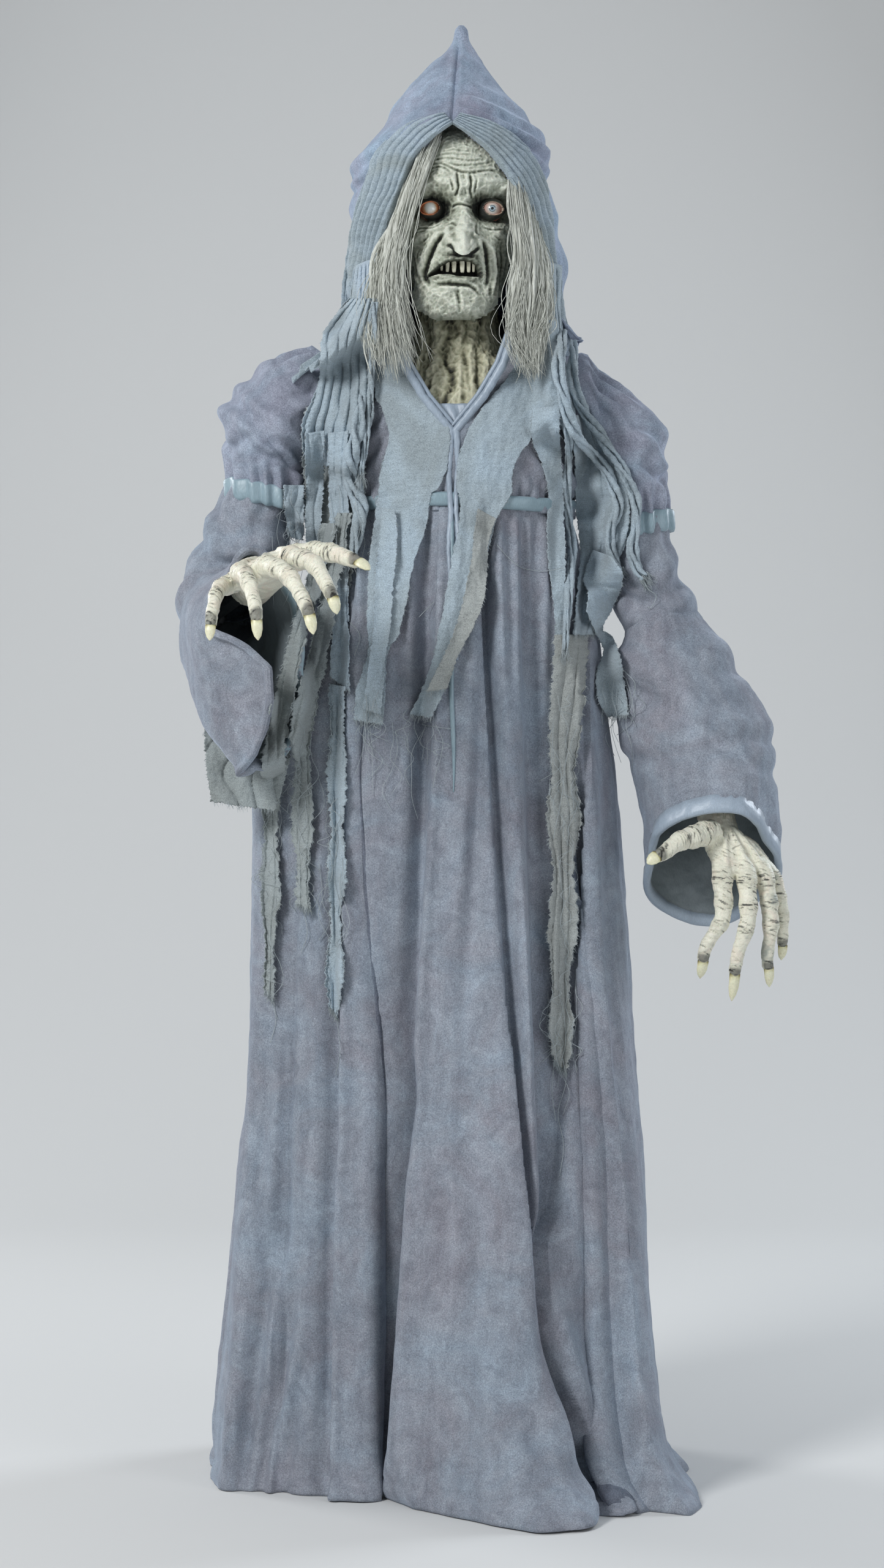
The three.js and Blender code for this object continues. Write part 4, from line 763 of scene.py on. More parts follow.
CAP = {"right": [((-177, 0, 1364), (-1, 0, .05), 58, 58), ((-209, 0, 1352), (-.8, 0, -.6), 60, 66), ((-237, 0, 1312), (-.5, 0, -.866), 62, 68),
                 ((-240, 0, 1275), (-.3, 0, -.95), 57, 63), ((-238, 0, 1243), (-.2, 0, -.98), 50, 57)],
       "left": [((176, 0, 1337), (1, 0, .05), 56, 56), ((203, 0, 1314), (.8, 0, -.6), 52, 63), ((218, 0, 1277), (.5, 0, -.866), 51, 64),
                ((225, 0, 1240), (.3, 0, -.95), 46, 60), ((228, 0, 1206), (.2, 0, -.98), 40, 54)]}
UPPER = {"right": [((-240, 0, 1240), (-.25, 0, -.97), 47, 52), ((-271, -2, 1165), (-.4, 0, -.9), 53, 56), ((-296, -6, 1103), (-.15, -.45, -.88), 54, 58)],
         "left": [((229, 0, 1204), (.2, 0, -.98), 38, 50), ((241, 0, 1130), (.2, 0, -.98), 43, 55), ((263, -4, 1066), (.2, -.2, -.96), 52, 62)]}
LOWER = {"right": [((-296.3, -6.9, 1101.2), (53, 0, -9), (0, 51, -26)), ((-296, -50, 1070), (50, 6, -4), (-6, 34, -60)), ((-284, -100, 1045), (52, 14, 0), (-6, 22, -88)),
                   ((-264, -150, 1025), (55, 18, 0), (-4, 10, -114)), ((-243, -192, 1013), (57, 20, 0), (-4, 16, -137))],
         "left": [((263.3, -4.3, 1064.2), (51, 0, 10), (0, 60, -12)), ((273, -14, 1014), (74, 0, 12), (0, 66, -16)), ((294, -28, 958), (92, 0, 8), (0, 72, -26)),
                  ((308, -40, 900), (88, 0, 6), (0, 74, -38)), ((319, -54, 832), (85, 0, 2), (0, 76, -56)), ((318, -70, 765), (82, 0, 0), (0, 76, -73))]}


def cap_folds(P, s, A):
    d = 0.006 * np.sin(A * 13 + 1.5 * np.sin(A * 3 + 1)) * (1 - sstep(0.0, 0.35, s))  # gathers into the armhole
    d += 0.0052 * np.sin(A * 15 + 0.6 + 1.2 * np.sin(A * 4)) * sstep(0.66, 1.0, s)  # gathers into the band
    d += 0.006 * gauss(s - 0.52 + 0.10 * np.sin(A * 2 + .5), 0.10) - 0.007 * gauss(s - 0.66 + 0.08 * np.sin(A * 3), 0.05)
    d += 0.0045 * np.sin((P[..., 0] * 0.8 + P[..., 2] * 0.9) * 150 + 2.6 * fbm(P, 12, 2, 61)) * gauss(s - 0.5, 0.33)
    return d


def upper_folds(P, s, A):
    return 0.0045 * np.sin(s * 17 + 1.8 * np.sin(A * 2 + 1) + 2.2 * fbm(P, 14, 2, 71)) * sstep(0.05, 0.4, s) + 0.003 * np.sin(A * 9 + 2) * (1 - sstep(0, .5, s))


def bell_folds_right(P, s, A):
    d = 0.010 * gauss(np.sin(A * 0.5 - 0.2), 0.16) * s - 0.008 * gauss(np.sin(A * 0.5 - 0.75), 0.10) * s
    d += 0.005 * np.sin(A * 5 + s * 4) * s + 0.005 * np.sin(s * 19 + 2 * np.sin(A) + 2 * fbm(P, 12, 2, 73)) * (1 - sstep(0.15, 0.55, s))
    return d


def bell_folds_left(P, s, A):
    # soft diagonal folds sagging over the elbow and forearm
    zz = P[..., 2] + 0.30 * (P[..., 0] - 0.29)
    d = 0.0
    for z0, a, w, tilt in [(1.026, .009, .020, .9), (0.972, .012, .019, -.6), (0.934, .008, .015, .8)]:
        c = zz - z0 - tilt * 0.05 * np.sin((P[..., 0] - 0.29) * 14)
        front_side = sstep(0.06, -0.03, P[..., 1] + 0.02) * 0.85 + 0.15
        d = d + front_side * (0.55 + 0.45 * noise(P, 11, int(z0 * 1000))) * (a * np.exp(-(c / w) ** 2) - 0.7 * a * np.exp(-((c + 1.5 * w) / (0.55 * w)) ** 2))
    d = d + 0.005 * np.sin(A * 5 + 1.2) * sstep(0.6, 1, s)
    return d


def roll_end(P, N, depth, amount):
    """Returns P unchanged: the last rows of the tube are not turned inwards as a soft hem."""
    return P


SLEEVES = {}
for side, sgn in (("right", -1), ("left", 1)):
    G, N = rings_to_grid([cap_ring(*r) for r in CAP[side]], 260, 150, 51 + sgn, cap_folds, 0.001)
    SLEEVES["cap_" + side] = G
    U, _ = rings_to_grid([cap_ring(*r) for r in UPPER[side]], 220, 110, 56 + sgn, upper_folds)
    SLEEVES["upper_" + side] = U
    L, _ = rings_to_grid([tuple(np.array(v) / 1000 for v in r) for r in LOWER[side]], 260, 200, 58 + sgn, bell_folds_right if side == "right" else bell_folds_left)
    SLEEVES["lower_" + side] = L


def flip_out(G):
    """Which side= makes thick() put its faces outside."""
    N = outward(G, wrap=True)
    R = norm(G - G.mean(1, keepdims=True))
    return 1.0 if (N * R).sum(-1).mean() > 0 else -1.0


# the caps reach in behind the bodice's armholes, and each wide sleeve grows out of the sleeve above it
for side, sgn in (("right", -1), ("left", 1)):
    G = SLEEVES["cap_" + side]
    c0 = G[0].mean(0)
    rel = G[0] - c0
    rows = []
    for x, z, k in ((0.138, 1.353, 1.00), (0.150, 1.355, 1.05), (0.160, 1.355, 1.08), (0.168, 1.353, 1.07)):
        w = (x - 0.138) / 0.04
        rows.append(np.array([sgn * x, 0, z]) + rel * np.array([0.2, k, k]))
    SLEEVES["cap_" + side] = np.vstack([np.array(rows), G[3:]])
    U, L = SLEEVES["upper_" + side], SLEEVES["lower_" + side]
    join = U[-1][(np.arange(L.shape[1]) * U.shape[1] / L.shape[1]).astype(int)]
    k = np.arange(L.shape[1])
    # line the two rings up by direction round the arm
    best = min(range(0, L.shape[1], 4), key=lambda q: np.linalg.norm(np.roll(join, q, 0) - L[0], axis=1).sum())
    flipped = join[::-1]
    best2 = min(range(0, L.shape[1], 4), key=lambda q: np.linalg.norm(np.roll(flipped, q, 0) - L[0], axis=1).sum())
    j1, j2 = np.roll(join, best, 0), np.roll(flipped, best2, 0)
    j = j1 if np.linalg.norm(j1 - L[0], axis=1).sum() <= np.linalg.norm(j2 - L[0], axis=1).sum() else j2
    cj = j.mean(0)
    j = cj + (j - cj) * 1.035
    s = np.linspace(0, 1, len(L))
    w = sstep(0.0, 0.16, s)[:, None, None]
    L = (j - L[0])[None] * (1 - w) + L
    tuck = norm(L[6].mean(0) - L[0].mean(0))
    first = np.array([cj + (j - cj) * 0.93 - tuck * 0.010, cj + (j - cj) * 0.985 - tuck * 0.004])
    L = np.vstack([first, L])
    if side == "right":
        # the outer edge of the mouth folds across the front, so the opening looks inwards
        e = L[-1]
        ce = e.mean(0)
        left = sstep(0.006, 0.040, ce[0] - e[:, 0])
        want = np.interp(e[:, 2], [0.880, 0.905, 0.935, 0.969, 1.006, 1.030, 1.050, 1.062], [-0.262, -0.243, -0.230, -0.222, -0.224, -0.250, -0.285, -0.300])
        move = np.maximum(want - e[:, 0], 0) * left * sstep(1.064, 1.040, e[:, 2])
        ws = sstep(0.70, 1.0, np.linspace(0, 1, len(L)))[:, None]
        L[..., 0] += move[None] * ws**1.3
        L[..., 1] -= (0.030 * move / 0.08)[None] * np.sin(np.clip(ws, 0, 1) * math.pi * 0.62)
    SLEEVES["lower_" + side] = L

sleeve_obj = {}
for side, sgn in (("right", -1), ("left", 1)):
    G = SLEEVES["cap_" + side]
    # the sleeves' inside faces take the darkened velvet, as painted shade
    sleeve_obj["cap_" + side] = thick("over_sleeve_%s_cloth" % side, G, 0.0028, velvet_cap, wrap=True, inner=velvet_painted_shade, side=flip_out(G))
    U = SLEEVES["upper_" + side]
    sleeve_obj["upper_" + side] = thick("long_sleeve_%s_cloth" % side, U, 0.0028, velvet, wrap=True, inner=velvet_painted_shade, side=flip_out(U))
    L = SLEEVES["lower_" + side]
    inner = satin_dark if side == "right" else satin_dark
    sleeve_obj["lower_" + side] = thick("wide_sleeve_%s_cloth" % side, L, 0.0034, velvet, wrap=True, inner=inner, side=flip_out(L))
    # satin band that closes the puffed cap
    e = G[-1]
    c = e.mean(0)
    axis = norm(G[-1].mean(0) - G[-8].mean(0))
    r = e - c
    rad = np.linalg.norm(r, axis=1).mean()
    base = c + norm(r) * (0.5 * np.linalg.norm(r, axis=1, keepdims=True) + 0.5 * rad)
    rows = []
    for a, o in [(-0.0030, -0.0015), (-0.0022, 0.0028), (0.000, 0.0042), (0.006, 0.0040), (0.013, 0.0044), (0.020, 0.0040), (0.0245, 0.0022), (0.0252, -0.0030)]:
        q = base + axis * a + norm(r) * o
        q = q + norm(r) * (0.0012 * fbm(q, 45, 2, 80))[:, None]
        rows.append(q)
    B = np.array(rows)
    sleeve_obj["band_" + side] = thick("cap_band_" + side, B, 0.0015, satin, wrap=True, side=flip_out(B))
    # turned hem at the wide sleeve's mouth: on the right a velvet roll outside with satin facing inside, on the left
    # pale satin all round
    e = L[-1]
    c = e.mean(0)
    axis = norm(L[-1] - L[-5])
    rn = outward(L, wrap=True)[-2]
    rn = rn * np.sign((rn * (L[-2] - L[-2].mean(0))).sum(-1).mean())
    pale = side == "left"
    rows = []
    prof = [(-0.020, 0.0008), (-0.010, 0.0022), (-0.003, 0.0034), (0.0018, 0.0022), (0.0032, -0.0012), (0.0018, -0.0046), (-0.003, -0.0066), (-0.012, -0.0066)]
    if not pale:
        prof = [(-0.012, 0.0006), (-0.006, 0.0022), (-0.001, 0.0030), (0.0024, 0.0014), (0.0030, -0.0018), (0.0014, -0.0052), (-0.004, -0.0064), (-0.014, -0.0064)]
    for a, o in prof:
        q = e + axis * (a if pale else min(a, 0.0)) + rn * o
        rows.append(q + rn * (0.0008 * fbm(q, 60, 2, 81))[:, None])
    B = np.array(rows)
    sleeve_obj["hem_" + side] = thick("sleeve_hem_" + side, B, 0.0008, satin_pale if pale else velvet, wrap=True, side=flip_out(B))
    if not pale:
        # the facing shows along the inner side of the mouth
        _h = sleeve_obj["hem_" + side]
        _h.data.materials.append(satin)
        _m = c[0] + 0.012
        for _q in _h.data.polygons:
            if _q.center[0] > _m:
                _q.material_index = 1

# ------------------------------------------------------------------ face
# Face drawing grid: 0.1728 mm a unit, x to the viewer's right, y down, as the face is seen from the front.
def face_xy(X, Z):
    return (X * 1000 + 93.7) / 0.1728, (1682.2 - Z * 1000) / 0.1728


def along(px, py, pts):
    """Distance from points to a drawn line, and how far along it (0 to 1) the nearest place is."""
    p = np.asarray(pts, float)
    if len(p) > 2:
        p = spline(p, 14)
    seg = np.linalg.norm(np.diff(p, axis=0), axis=1)
    s0 = np.concatenate([[0], np.cumsum(seg)])
    best, where = np.full(px.shape, 1e9), np.zeros(px.shape)
    for a, b, s, l in zip(p[:-1], p[1:], s0[:-1], seg):
        t = np.clip(((px - a[0]) * (b[0] - a[0]) + (py - a[1]) * (b[1] - a[1])) / (l * l), 0, 1)
        d = np.hypot(px - a[0] - t * (b[0] - a[0]), py - a[1] - t * (b[1] - a[1]))
        m = d < best
        best, where = np.where(m, d, best), np.where(m, (s + t * l) / s0[-1], where)
    return best, where


def groove(px, py, pts, width, depth, ridge=0.55):
    d, t = along(px, py, pts)
    fade = np.clip(4 * t * (1 - t), 0, 1) ** 0.4
    return fade * (-depth * gauss(d, width) + ridge * depth * gauss(d - 2.0 * width, 1.1 * width))


def lump(px, py, cx, cy, rx, ry, h, turn=0.0, power=1.0):
    c, s = math.cos(math.radians(turn)), math.sin(math.radians(turn))
    u, v = (px - cx) * c + (py - cy) * s, -(px - cx) * s + (py - cy) * c
    return h * np.exp(-(((u / rx) ** 2 + (v / ry) ** 2) ** power))


FACE = [(1.442, -.018, .020, .112, -.080), (1.450, -.036, .038, .124, -.062), (1.470, -.052, .054, .127, -.036), (1.500, -.064, .067, .124, .030),
        (1.540, -.072, .080, .125, .070), (1.580, -.078, .086, .114, .088), (1.620, -.078, .086, .118, .092), (1.660, -.064, .072, .106, .080),
        (1.688, -.034, .042, .078, .040)]
EYES = [(-0.032, 1.580), (0.045, 1.580)]


def blur(a, k):
    r = int(3 * k)
    w = np.exp(-0.5 * (np.arange(-r, r + 1) / k) ** 2)
    w /= w.sum()
    for ax in (0, 1):
        pad = [(0, 0), (0, 0)]
        pad[ax] = (r, r)
        b = np.pad(a, pad, mode="edge")
        a = np.apply_along_axis(lambda v: np.convolve(v, w, "valid"), ax, b)
    return a


def face_surface(n=330, m=360):
    z = np.linspace(1.689, 1.444, m)
    w = np.linspace(math.pi - 0.12, TAU + 0.12, n)
    x0, x1, f, b = look(FACE, z)
    cx, h, mid, dd = (x0 + x1) / 2, (x1 - x0) / 2, (b - f) / 2, (b + f) / 2
    X = cx[:, None] + h[:, None] * np.cos(w)[None]
    Y = mid[:, None] + dd[:, None] * np.sin(w)[None]
    Z = np.repeat(z[:, None], n, 1)
    P = np.stack([X, Y, Z], -1)
    fx, fy = face_xy(X, Z)
    d = np.zeros_like(X)  # mm towards the viewer
    dark = np.zeros_like(X)
    # --- forehead
    for pts, wd, dp in [([(440, 190), (540, 180), (650, 192)], 6, .7), ([(400, 222), (480, 208), (560, 214), (690, 216)], 7, 1.1),
                        ([(380, 252), (460, 242), (540, 250), (640, 262), (750, 244)], 7, 1.3), ([(430, 262), (520, 290), (600, 300), (700, 288), (790, 262)], 7, 1.2),
                        ([(360, 285), (440, 282), (510, 318), (570, 346), (640, 354), (720, 338), (790, 322), (850, 330)], 9, 2.2),
                        ([(520, 150), (600, 140), (660, 155)], 5, .5), ([(350, 320), (410, 305), (470, 320), (505, 350)], 7, 1.4)]:
        d += groove(fx, fy, pts, wd, dp)
    # --- brows: heavy lumpy ridge
    brow, bt = along(fx, fy, [(250, 500), (330, 440), (430, 400), (520, 430), (590, 470), (660, 440), (760, 420), (860, 410), (930, 470)])
    d += 7.5 * gauss(brow, 62)
    for c in [(345, 440, 34, 26, 2.4, -20), (395, 375, 40, 30, 2.6, 0), (452, 345, 34, 24, 2.0, 20), (455, 425, 42, 34, 3.0, 0), (505, 470, 26, 40, 2.6, 10), (520, 395, 20, 34, 2.0, 0),
              (392, 470, 30, 18, 2.0, 0), (700, 400, 30, 40, 2.4, 20), (742, 478, 42, 24, 3.4, 0), (800, 400, 46, 26, 2.4, 0), (868, 452, 44, 40, 4.0, 0), (915, 400, 26, 30, 1.6, 0),
              (770, 350, 40, 18, 1.6, 0), (310, 500, 26, 18, 1.6, -30)]:
        d += lump(fx, fy, c[0], c[1], c[2], c[3], c[4], c[5])
    for r in (30, 48, 64):
        q = np.hypot(fx - 868, (fy - 452) * 1.1)
        d -= 0.8 * gauss(q - r, 5) * sstep(40, -60, fy - 470)
    # --- frown furrows and the knot between the eyes
    for pts, wd, dp in [([(548, 350), (556, 420), (560, 470), (535, 520)], 9, 3.4), ([(640, 352), (646, 430), (640, 480), (655, 530)], 9, 3.4),
                        ([(505, 392), (515, 440), (528, 490)], 7, 1.8), ([(690, 392), (676, 450), (668, 500)], 7, 1.8), ([(512, 585), (560, 576), (610, 584), (664, 588)], 8, 3.0),
                        ([(596, 360), (600, 410)], 6, 1.0), ([(575, 500), (600, 470), (612, 510)], 6, 1.3)]:
        d += groove(fx, fy, pts, wd, dp)
    d += lump(fx, fy, 597, 420, 32, 62, 3.4) + lump(fx, fy, 568, 545, 42, 26, 4.2) + lump(fx, fy, 620, 545, 26, 24, 2.6)
    # --- nose, a heavy hook
    t = (fy - 560) / (905 - 560)
    ridge = np.interp(t, [-.15, 0, .12, .3, .5, .7, .86, .97, 1.05, 1.13], [0, 4, 9, 13, 19, 27, 36, 41, 30, 0])
    wid = np.interp(t, [-.15, 0, .15, .4, .7, .9, 1.1], [40, 58, 70, 72, 84, 92, 84])
    nx = fx - np.interp(t, [0, .3, .7, 1], [592, 608, 598, 585])
    nose = ridge * np.exp(-np.abs(nx / wid) ** 1.9)
    d += nose + lump(fx, fy, 625, 640, 44, 50, 3.4)
    for c in [(480, 792, 34, 50, 10.0, 0), (500, 850, 34, 30, 5.0, 0), (706, 856, 26, 48, 9.5, 0), (560, 800, 34, 40, 4.0, 0), (640, 786, 19, 17, 4.2, 0), (668, 812, 15, 15, 4.0, 0),
              (600, 838, 24, 22, 3.6, 0), (640, 850, 18, 16, 3.6, 0), (560, 760, 18, 15, 2.4, 0), (628, 900, 26, 20, 3.6, 0), (585, 905, 28, 22, 4.0, 0), (655, 880, 16, 15, 3.2, 0), (583, 728, 16, 15, 2.0, 0), (560, 862, 20, 18, 2.6, 0), (612, 760, 14, 14, 2.0, 0), (530, 700, 22, 16, 1.6, 0), (650, 730, 14, 22, 1.8, 0)]:
        d += lump(fx, fy, c[0], c[1], c[2], c[3], c[4], c[5])
    d += groove(fx, fy, [(462, 745), (520, 720), (560, 770)], 8, 1.6) + groove(fx, fy, [(690, 700), (676, 780), (700, 810)], 8, 1.8)
    d += groove(fx, fy, [(505, 880), (530, 905), (548, 950)], 13, 6.0, .2) + groove(fx, fy, [(640, 935), (668, 920), (690, 900)], 11, 4.5, .2)
    # painted shadow in the nostrils, under the tip
    dark += 0.9 * gauss(along(fx, fy, [(505, 885), (530, 908), (548, 950)])[0], 15) + 0.8 * gauss(along(fx, fy, [(645, 938), (690, 900)])[0], 12)
    # --- deep folds from nose to mouth corners
    for pts in ([(466, 790), (405, 862), (360, 945), (330, 1030), (322, 1095), (350, 1135)], [(700, 838), (745, 885), (768, 955), (772, 1060), (766, 1150)]):
        e, tt = along(fx, fy, pts)
        fade = np.clip(4.2 * tt * (1.05 - tt), 0, 1) ** 0.5
        d -= 7.0 * gauss(e, 17) * fade
        out = np.where(fx < 590, -1, 1)
        q, _ = along(fx - out * 42, fy, pts)
        d += 5.0 * gauss(q, 30) * fade
        # painted shade down the fold
        dark += 0.36 * gauss(e, 14) * fade
    # --- muzzle, lips and the open mouth
    d += lump(fx, fy, 545, 1080, 190, 120, 6.0, 0, 1.4)
    upper = np.interp(fx, [340, 380, 430, 490, 545, 600, 650, 690, 715], [1090, 1062, 1020, 990, 985, 985, 990, 1020, 1085])
    lower = np.interp(fx, [340, 380, 430, 490, 545, 600, 650, 690, 715], [1092, 1088, 1080, 1080, 1092, 1098, 1098, 1096, 1088])
    gape = sstep(-6, 8, fy - upper) * sstep(6, -8, fy - lower) * sstep(345, 372, fx) * sstep(722, 700, fx)
    lip, lt = along(fx, fy, [(350, 1085), (400, 1035), (460, 985), (520, 962), (560, 975), (600, 968), (650, 968), (700, 1000), (718, 1070)])
    d += 3.8 * gauss(lip, 17) * np.clip(5 * lt * (1 - lt), 0, 1)
    dark += 0.46 * gauss(lip, 19)
    low, lt = along(fx, fy, [(352, 1098), (420, 1098), (500, 1118), (580, 1126), (660, 1124), (722, 1098)])
    d += 4.6 * gauss(low, 17) * np.clip(5 * lt * (1 - lt), 0, 1)
    dark += 0.36 * gauss(low, 22)
    d += groove(fx, fy, [(410, 1150), (480, 1158), (560, 1164), (630, 1170), (680, 1196), (712, 1232)], 12, 4.2)
    # painted shade in the crease under the lower lip
    dark += 0.12 * gauss(along(fx, fy, [(430, 1152), (560, 1165), (640, 1172), (705, 1228)])[0], 16)
    # --- cleft chin with lumpy pads
    for c in [(430, 1215, 66, 40, 5.5, -8), (500, 1200, 42, 34, 4.0, 0), (460, 1262, 60, 34, 4.4, 0), (630, 1210, 62, 42, 5.5, 6), (600, 1262, 40, 34, 3.4, 0), (672, 1262, 34, 34, 3.2, 0),
              (520, 1300, 50, 34, 3.6, 0), (625, 1318, 50, 34, 3.6, 0), (395, 1190, 22, 16, 2.4, 0), (370, 1230, 22, 22, 1.8, 0)]:
        d += lump(fx, fy, c[0], c[1], c[2], c[3], c[4], c[5])
    d += groove(fx, fy, [(562, 1168), (556, 1230), (566, 1290), (570, 1350)], 12, 2.6)
    # faint painted shade down the cleft
    dark += 0.04 * gauss(along(fx, fy, [(562, 1170), (558, 1240), (568, 1340)])[0], 9)
    # --- cheeks
    for c in [(285, 785, 58, 40, 4.6, -12), (250, 830, 40, 30, 2.4, 0), (395, 730, 60, 26, 2.6, -25), (850, 775, 52, 30, 3.6, 10), (800, 850, 30, 70, 2.0, 0), (220, 690, 30, 40, 2.0, 0),
              (350, 1180, 30, 24, 2.0, 0), (300, 1160, 24, 30, 1.8, 0), (395, 830, 40, 60, 2.2, 0)]:
        d += lump(fx, fy, c[0], c[1], c[2], c[3], c[4], c[5])
    for pts, wd, dp in [([(235, 742), (300, 735), (380, 742), (440, 710)], 7, 1.8), ([(232, 800), (250, 770), (330, 758)], 6, 1.2), ([(300, 840), (340, 815), (352, 780)], 7, 1.6),
                        ([(740, 740), (800, 752), (880, 738)], 7, 1.8), ([(800, 790), (850, 812), (900, 800)], 6, 1.2),
                        ([(215, 880), (250, 990), (290, 1110), (335, 1200)], 11, 2.6), ([(785, 900), (800, 1000), (795, 1120), (780, 1230)], 9, 2.0),
                        ([(830, 860), (842, 980), (834, 1100), (815, 1220)], 8, 1.7), ([(868, 840), (884, 960), (872, 1090), (850, 1200)], 8, 1.5),
                        ([(905, 800), (922, 920), (908, 1050)], 7, 1.2), ([(290, 870), (270, 930), (290, 990)], 7, 1.3), ([(345, 860), (322, 930), (318, 990)], 6, 1.1)]:
        d += groove(fx, fy, pts, wd, dp)
    # hollows under the cheekbones, sunk in and painted darker as shade
    hollow = np.exp(-(((fx - 195) / 55) ** 2 + ((fy - 1040) / 150) ** 2) ** 1.3)
    d -= 8.0 * hollow
    dark += 0.30 * hollow
    hollow = np.exp(-(((fx - 880) / 60) ** 2 + ((fy - 1020) / 170) ** 2) ** 1.3)
    d -= 5.0 * hollow
    dark += 0.22 * hollow
    # --- lumpy old skin everywhere
    q = np.stack([X, Z * 1.1, Y * 0.3], -1)
    d += 1.6 * fbm(q, 62, 3, 3) + 1.0 * (1 - 2 * np.abs(noise(q * (1, .8, 1), 120, 5))) + 0.6 * (1 - 2 * np.abs(noise(q, 230, 8))) + 0.45 * fbm(q, 330, 2, 6)
    d += np.clip(nose / 14, 0, 1) * (1.3 * fbm(q, 140, 2, 12) + 0.6 * fbm(q, 290, 2, 13))
    detail = d.copy()
    # --- sockets, eyelids; the sockets and the skin round the lids are painted darker as shade
    rims = np.zeros_like(X)
    for i, (ex, ez) in enumerate(EYES):
        ux, uz = (X - ex) * 1000, (Z - ez) * 1000
        r = np.hypot(ux, uz)
        ox = ux - (4.5 if i == 0 else -5.0)
        sock = np.exp(-((ox / 23.0) ** 2 + ((uz + 1.5) / 15.5) ** 2) ** 1.5)
        d = d * (1 - 0.75 * sock) - 22.0 * sock
        # painted shade deep in the socket
        dark += 0.92 * np.exp(-((ox / 22.0) ** 2 + ((uz + 1.0) / 16.0) ** 2) ** 1.6) * sstep(8, 12, r)
        y_now = Y - d / 1000
        tilt = 0.10 if i == 0 else -0.12
        half = 9.9 if i == 0 else 9.4
        top = (7.2 if i == 0 else 6.6) * np.sqrt(np.clip(1 - (ux / half) ** 2, 0, 1))
        bot = -(6.6 if i == 0 else 6.8) * np.sqrt(np.clip(1 - (ux / half) ** 2, 0, 1))
        vz = uz - tilt * ux
        inside = sstep(-0.6, 0.6, np.minimum(top - vz, vz - bot)) * sstep(half + .5, half - .5, np.abs(ux))
        lid_r = 15.2 + 0.25 * noise(q, 260, 14)
        lid = -(0.091 + np.sqrt(np.clip(lid_r**2 - r**2, 0, None)) / 1000)
        near = sstep(15.4, 13.2, r)
        y_lid = y_now * (1 - near) + np.minimum(lid, y_now + 0.004) * near
        y_lid = np.where(near > 0, y_lid, y_now)
        y_in = y_lid * (1 - inside) + (-0.088) * inside
        d = (Y - y_in) * 1000
        rims += (1.0 if i == 0 else 0.8) * gauss(np.minimum(top - vz, vz - bot) + 0.9, 1.25) * sstep(half + 2.2, half + .4, np.abs(ux)) * (1 - inside) * (1 - 0.4 * sstep(0, 6, ux * (1 if i == 0 else -1)))
        # painted shade on the lids round the eyeball, and a line of painted shade in the lid crease
        dark += 0.42 * sstep(14.5, 12.5, r) * (1 - inside)
        dark += 0.25 * gauss(uz - 8.5, 1.6) * near
    # --- the open mouth falls back behind the lips, and its inside is painted dark as shade
    y_now = Y - d / 1000
    y_now = y_now * (1 - gape) + (-0.094) * gape
    d = (Y - y_now) * 1000
    dark += 1.2 * gape
    N = outward(P)
    if N[m // 2, n // 2, 1] > 0:
        N = -N
    # mostly straight out at the middle, sideways at the cheeks
    D = norm(np.stack([N[..., 0] * 0.55, N[..., 1] - 0.25, N[..., 2] * 0.12], -1))
    Q = P + D * (d / 1000 / np.maximum(-D[..., 1], 0.45))[..., None] * np.where(d > -6, 1, np.maximum(-D[..., 1], 0.45))[..., None]
    # the hook droops past its root
    Q[..., 2] -= 0.0125 * sstep(18, 44, nose) * sstep(0.55, 1.0, t)
    Q[..., 2] -= 0.004 * np.clip(nose / 40, 0, 1) * sstep(0.3, 0.9, t)
    # painted shade and painted highlight: grooves darker and ridges lighter (cavity, fine), less the dark masks above
    # (painted shade, and the lips' dark paint), and faces turned downwards, as under the chin, a little darker than
    # those turned up
    cavity = detail - blur(detail, 5.0)
    fine = detail - blur(detail, 2.0)
    edge = sstep(0.0, 0.10, np.linspace(0, 1, n))[None] * sstep(1.0, 0.90, np.linspace(0, 1, n))[None]
    cav = 0.67 + 0.105 * np.clip(cavity, -2.2, 2) + 0.15 * np.clip(fine, -1.4, 1.5) - dark
    up = outward(Q)
    up = up if up[m // 2, n // 2, 1] < 0 else -up
    cav += 0.05 * up[..., 2]
    tint = np.ones(X.shape + (4,))
    red = np.clip(rims, 0, 1)[..., None]
    left = (fx < 590)[..., None]
    tint[..., :3] = tint[..., :3] * (1 - red) + red * np.where(left, (4.6, 1.35, 0.72), (2.3, 1.35, 1.3))
    cav = np.where(rims > 0.3, np.maximum(cav, 0.10 + 0.24 * rims), np.maximum(cav, 0.02))
    pouch = np.exp(-(((fx - 690) / 60) ** 2 + ((fy - 640) / 60) ** 2))
    return Q, np.clip(cav, -0.2, 1.2), tint


def attributes(o, cav, tint=None):
    a = o.data.attributes.new("cav", "FLOAT", "POINT")
    a.data.foreach_set("value", np.asarray(cav, np.float32).ravel())
    t = o.data.attributes.new("tint", "FLOAT_COLOR", "POINT")
    tint = np.ones((len(o.data.vertices), 4)) if tint is None else tint
    t.data.foreach_set("color", np.asarray(tint, np.float32).ravel())


FP, FC, FT = face_surface()
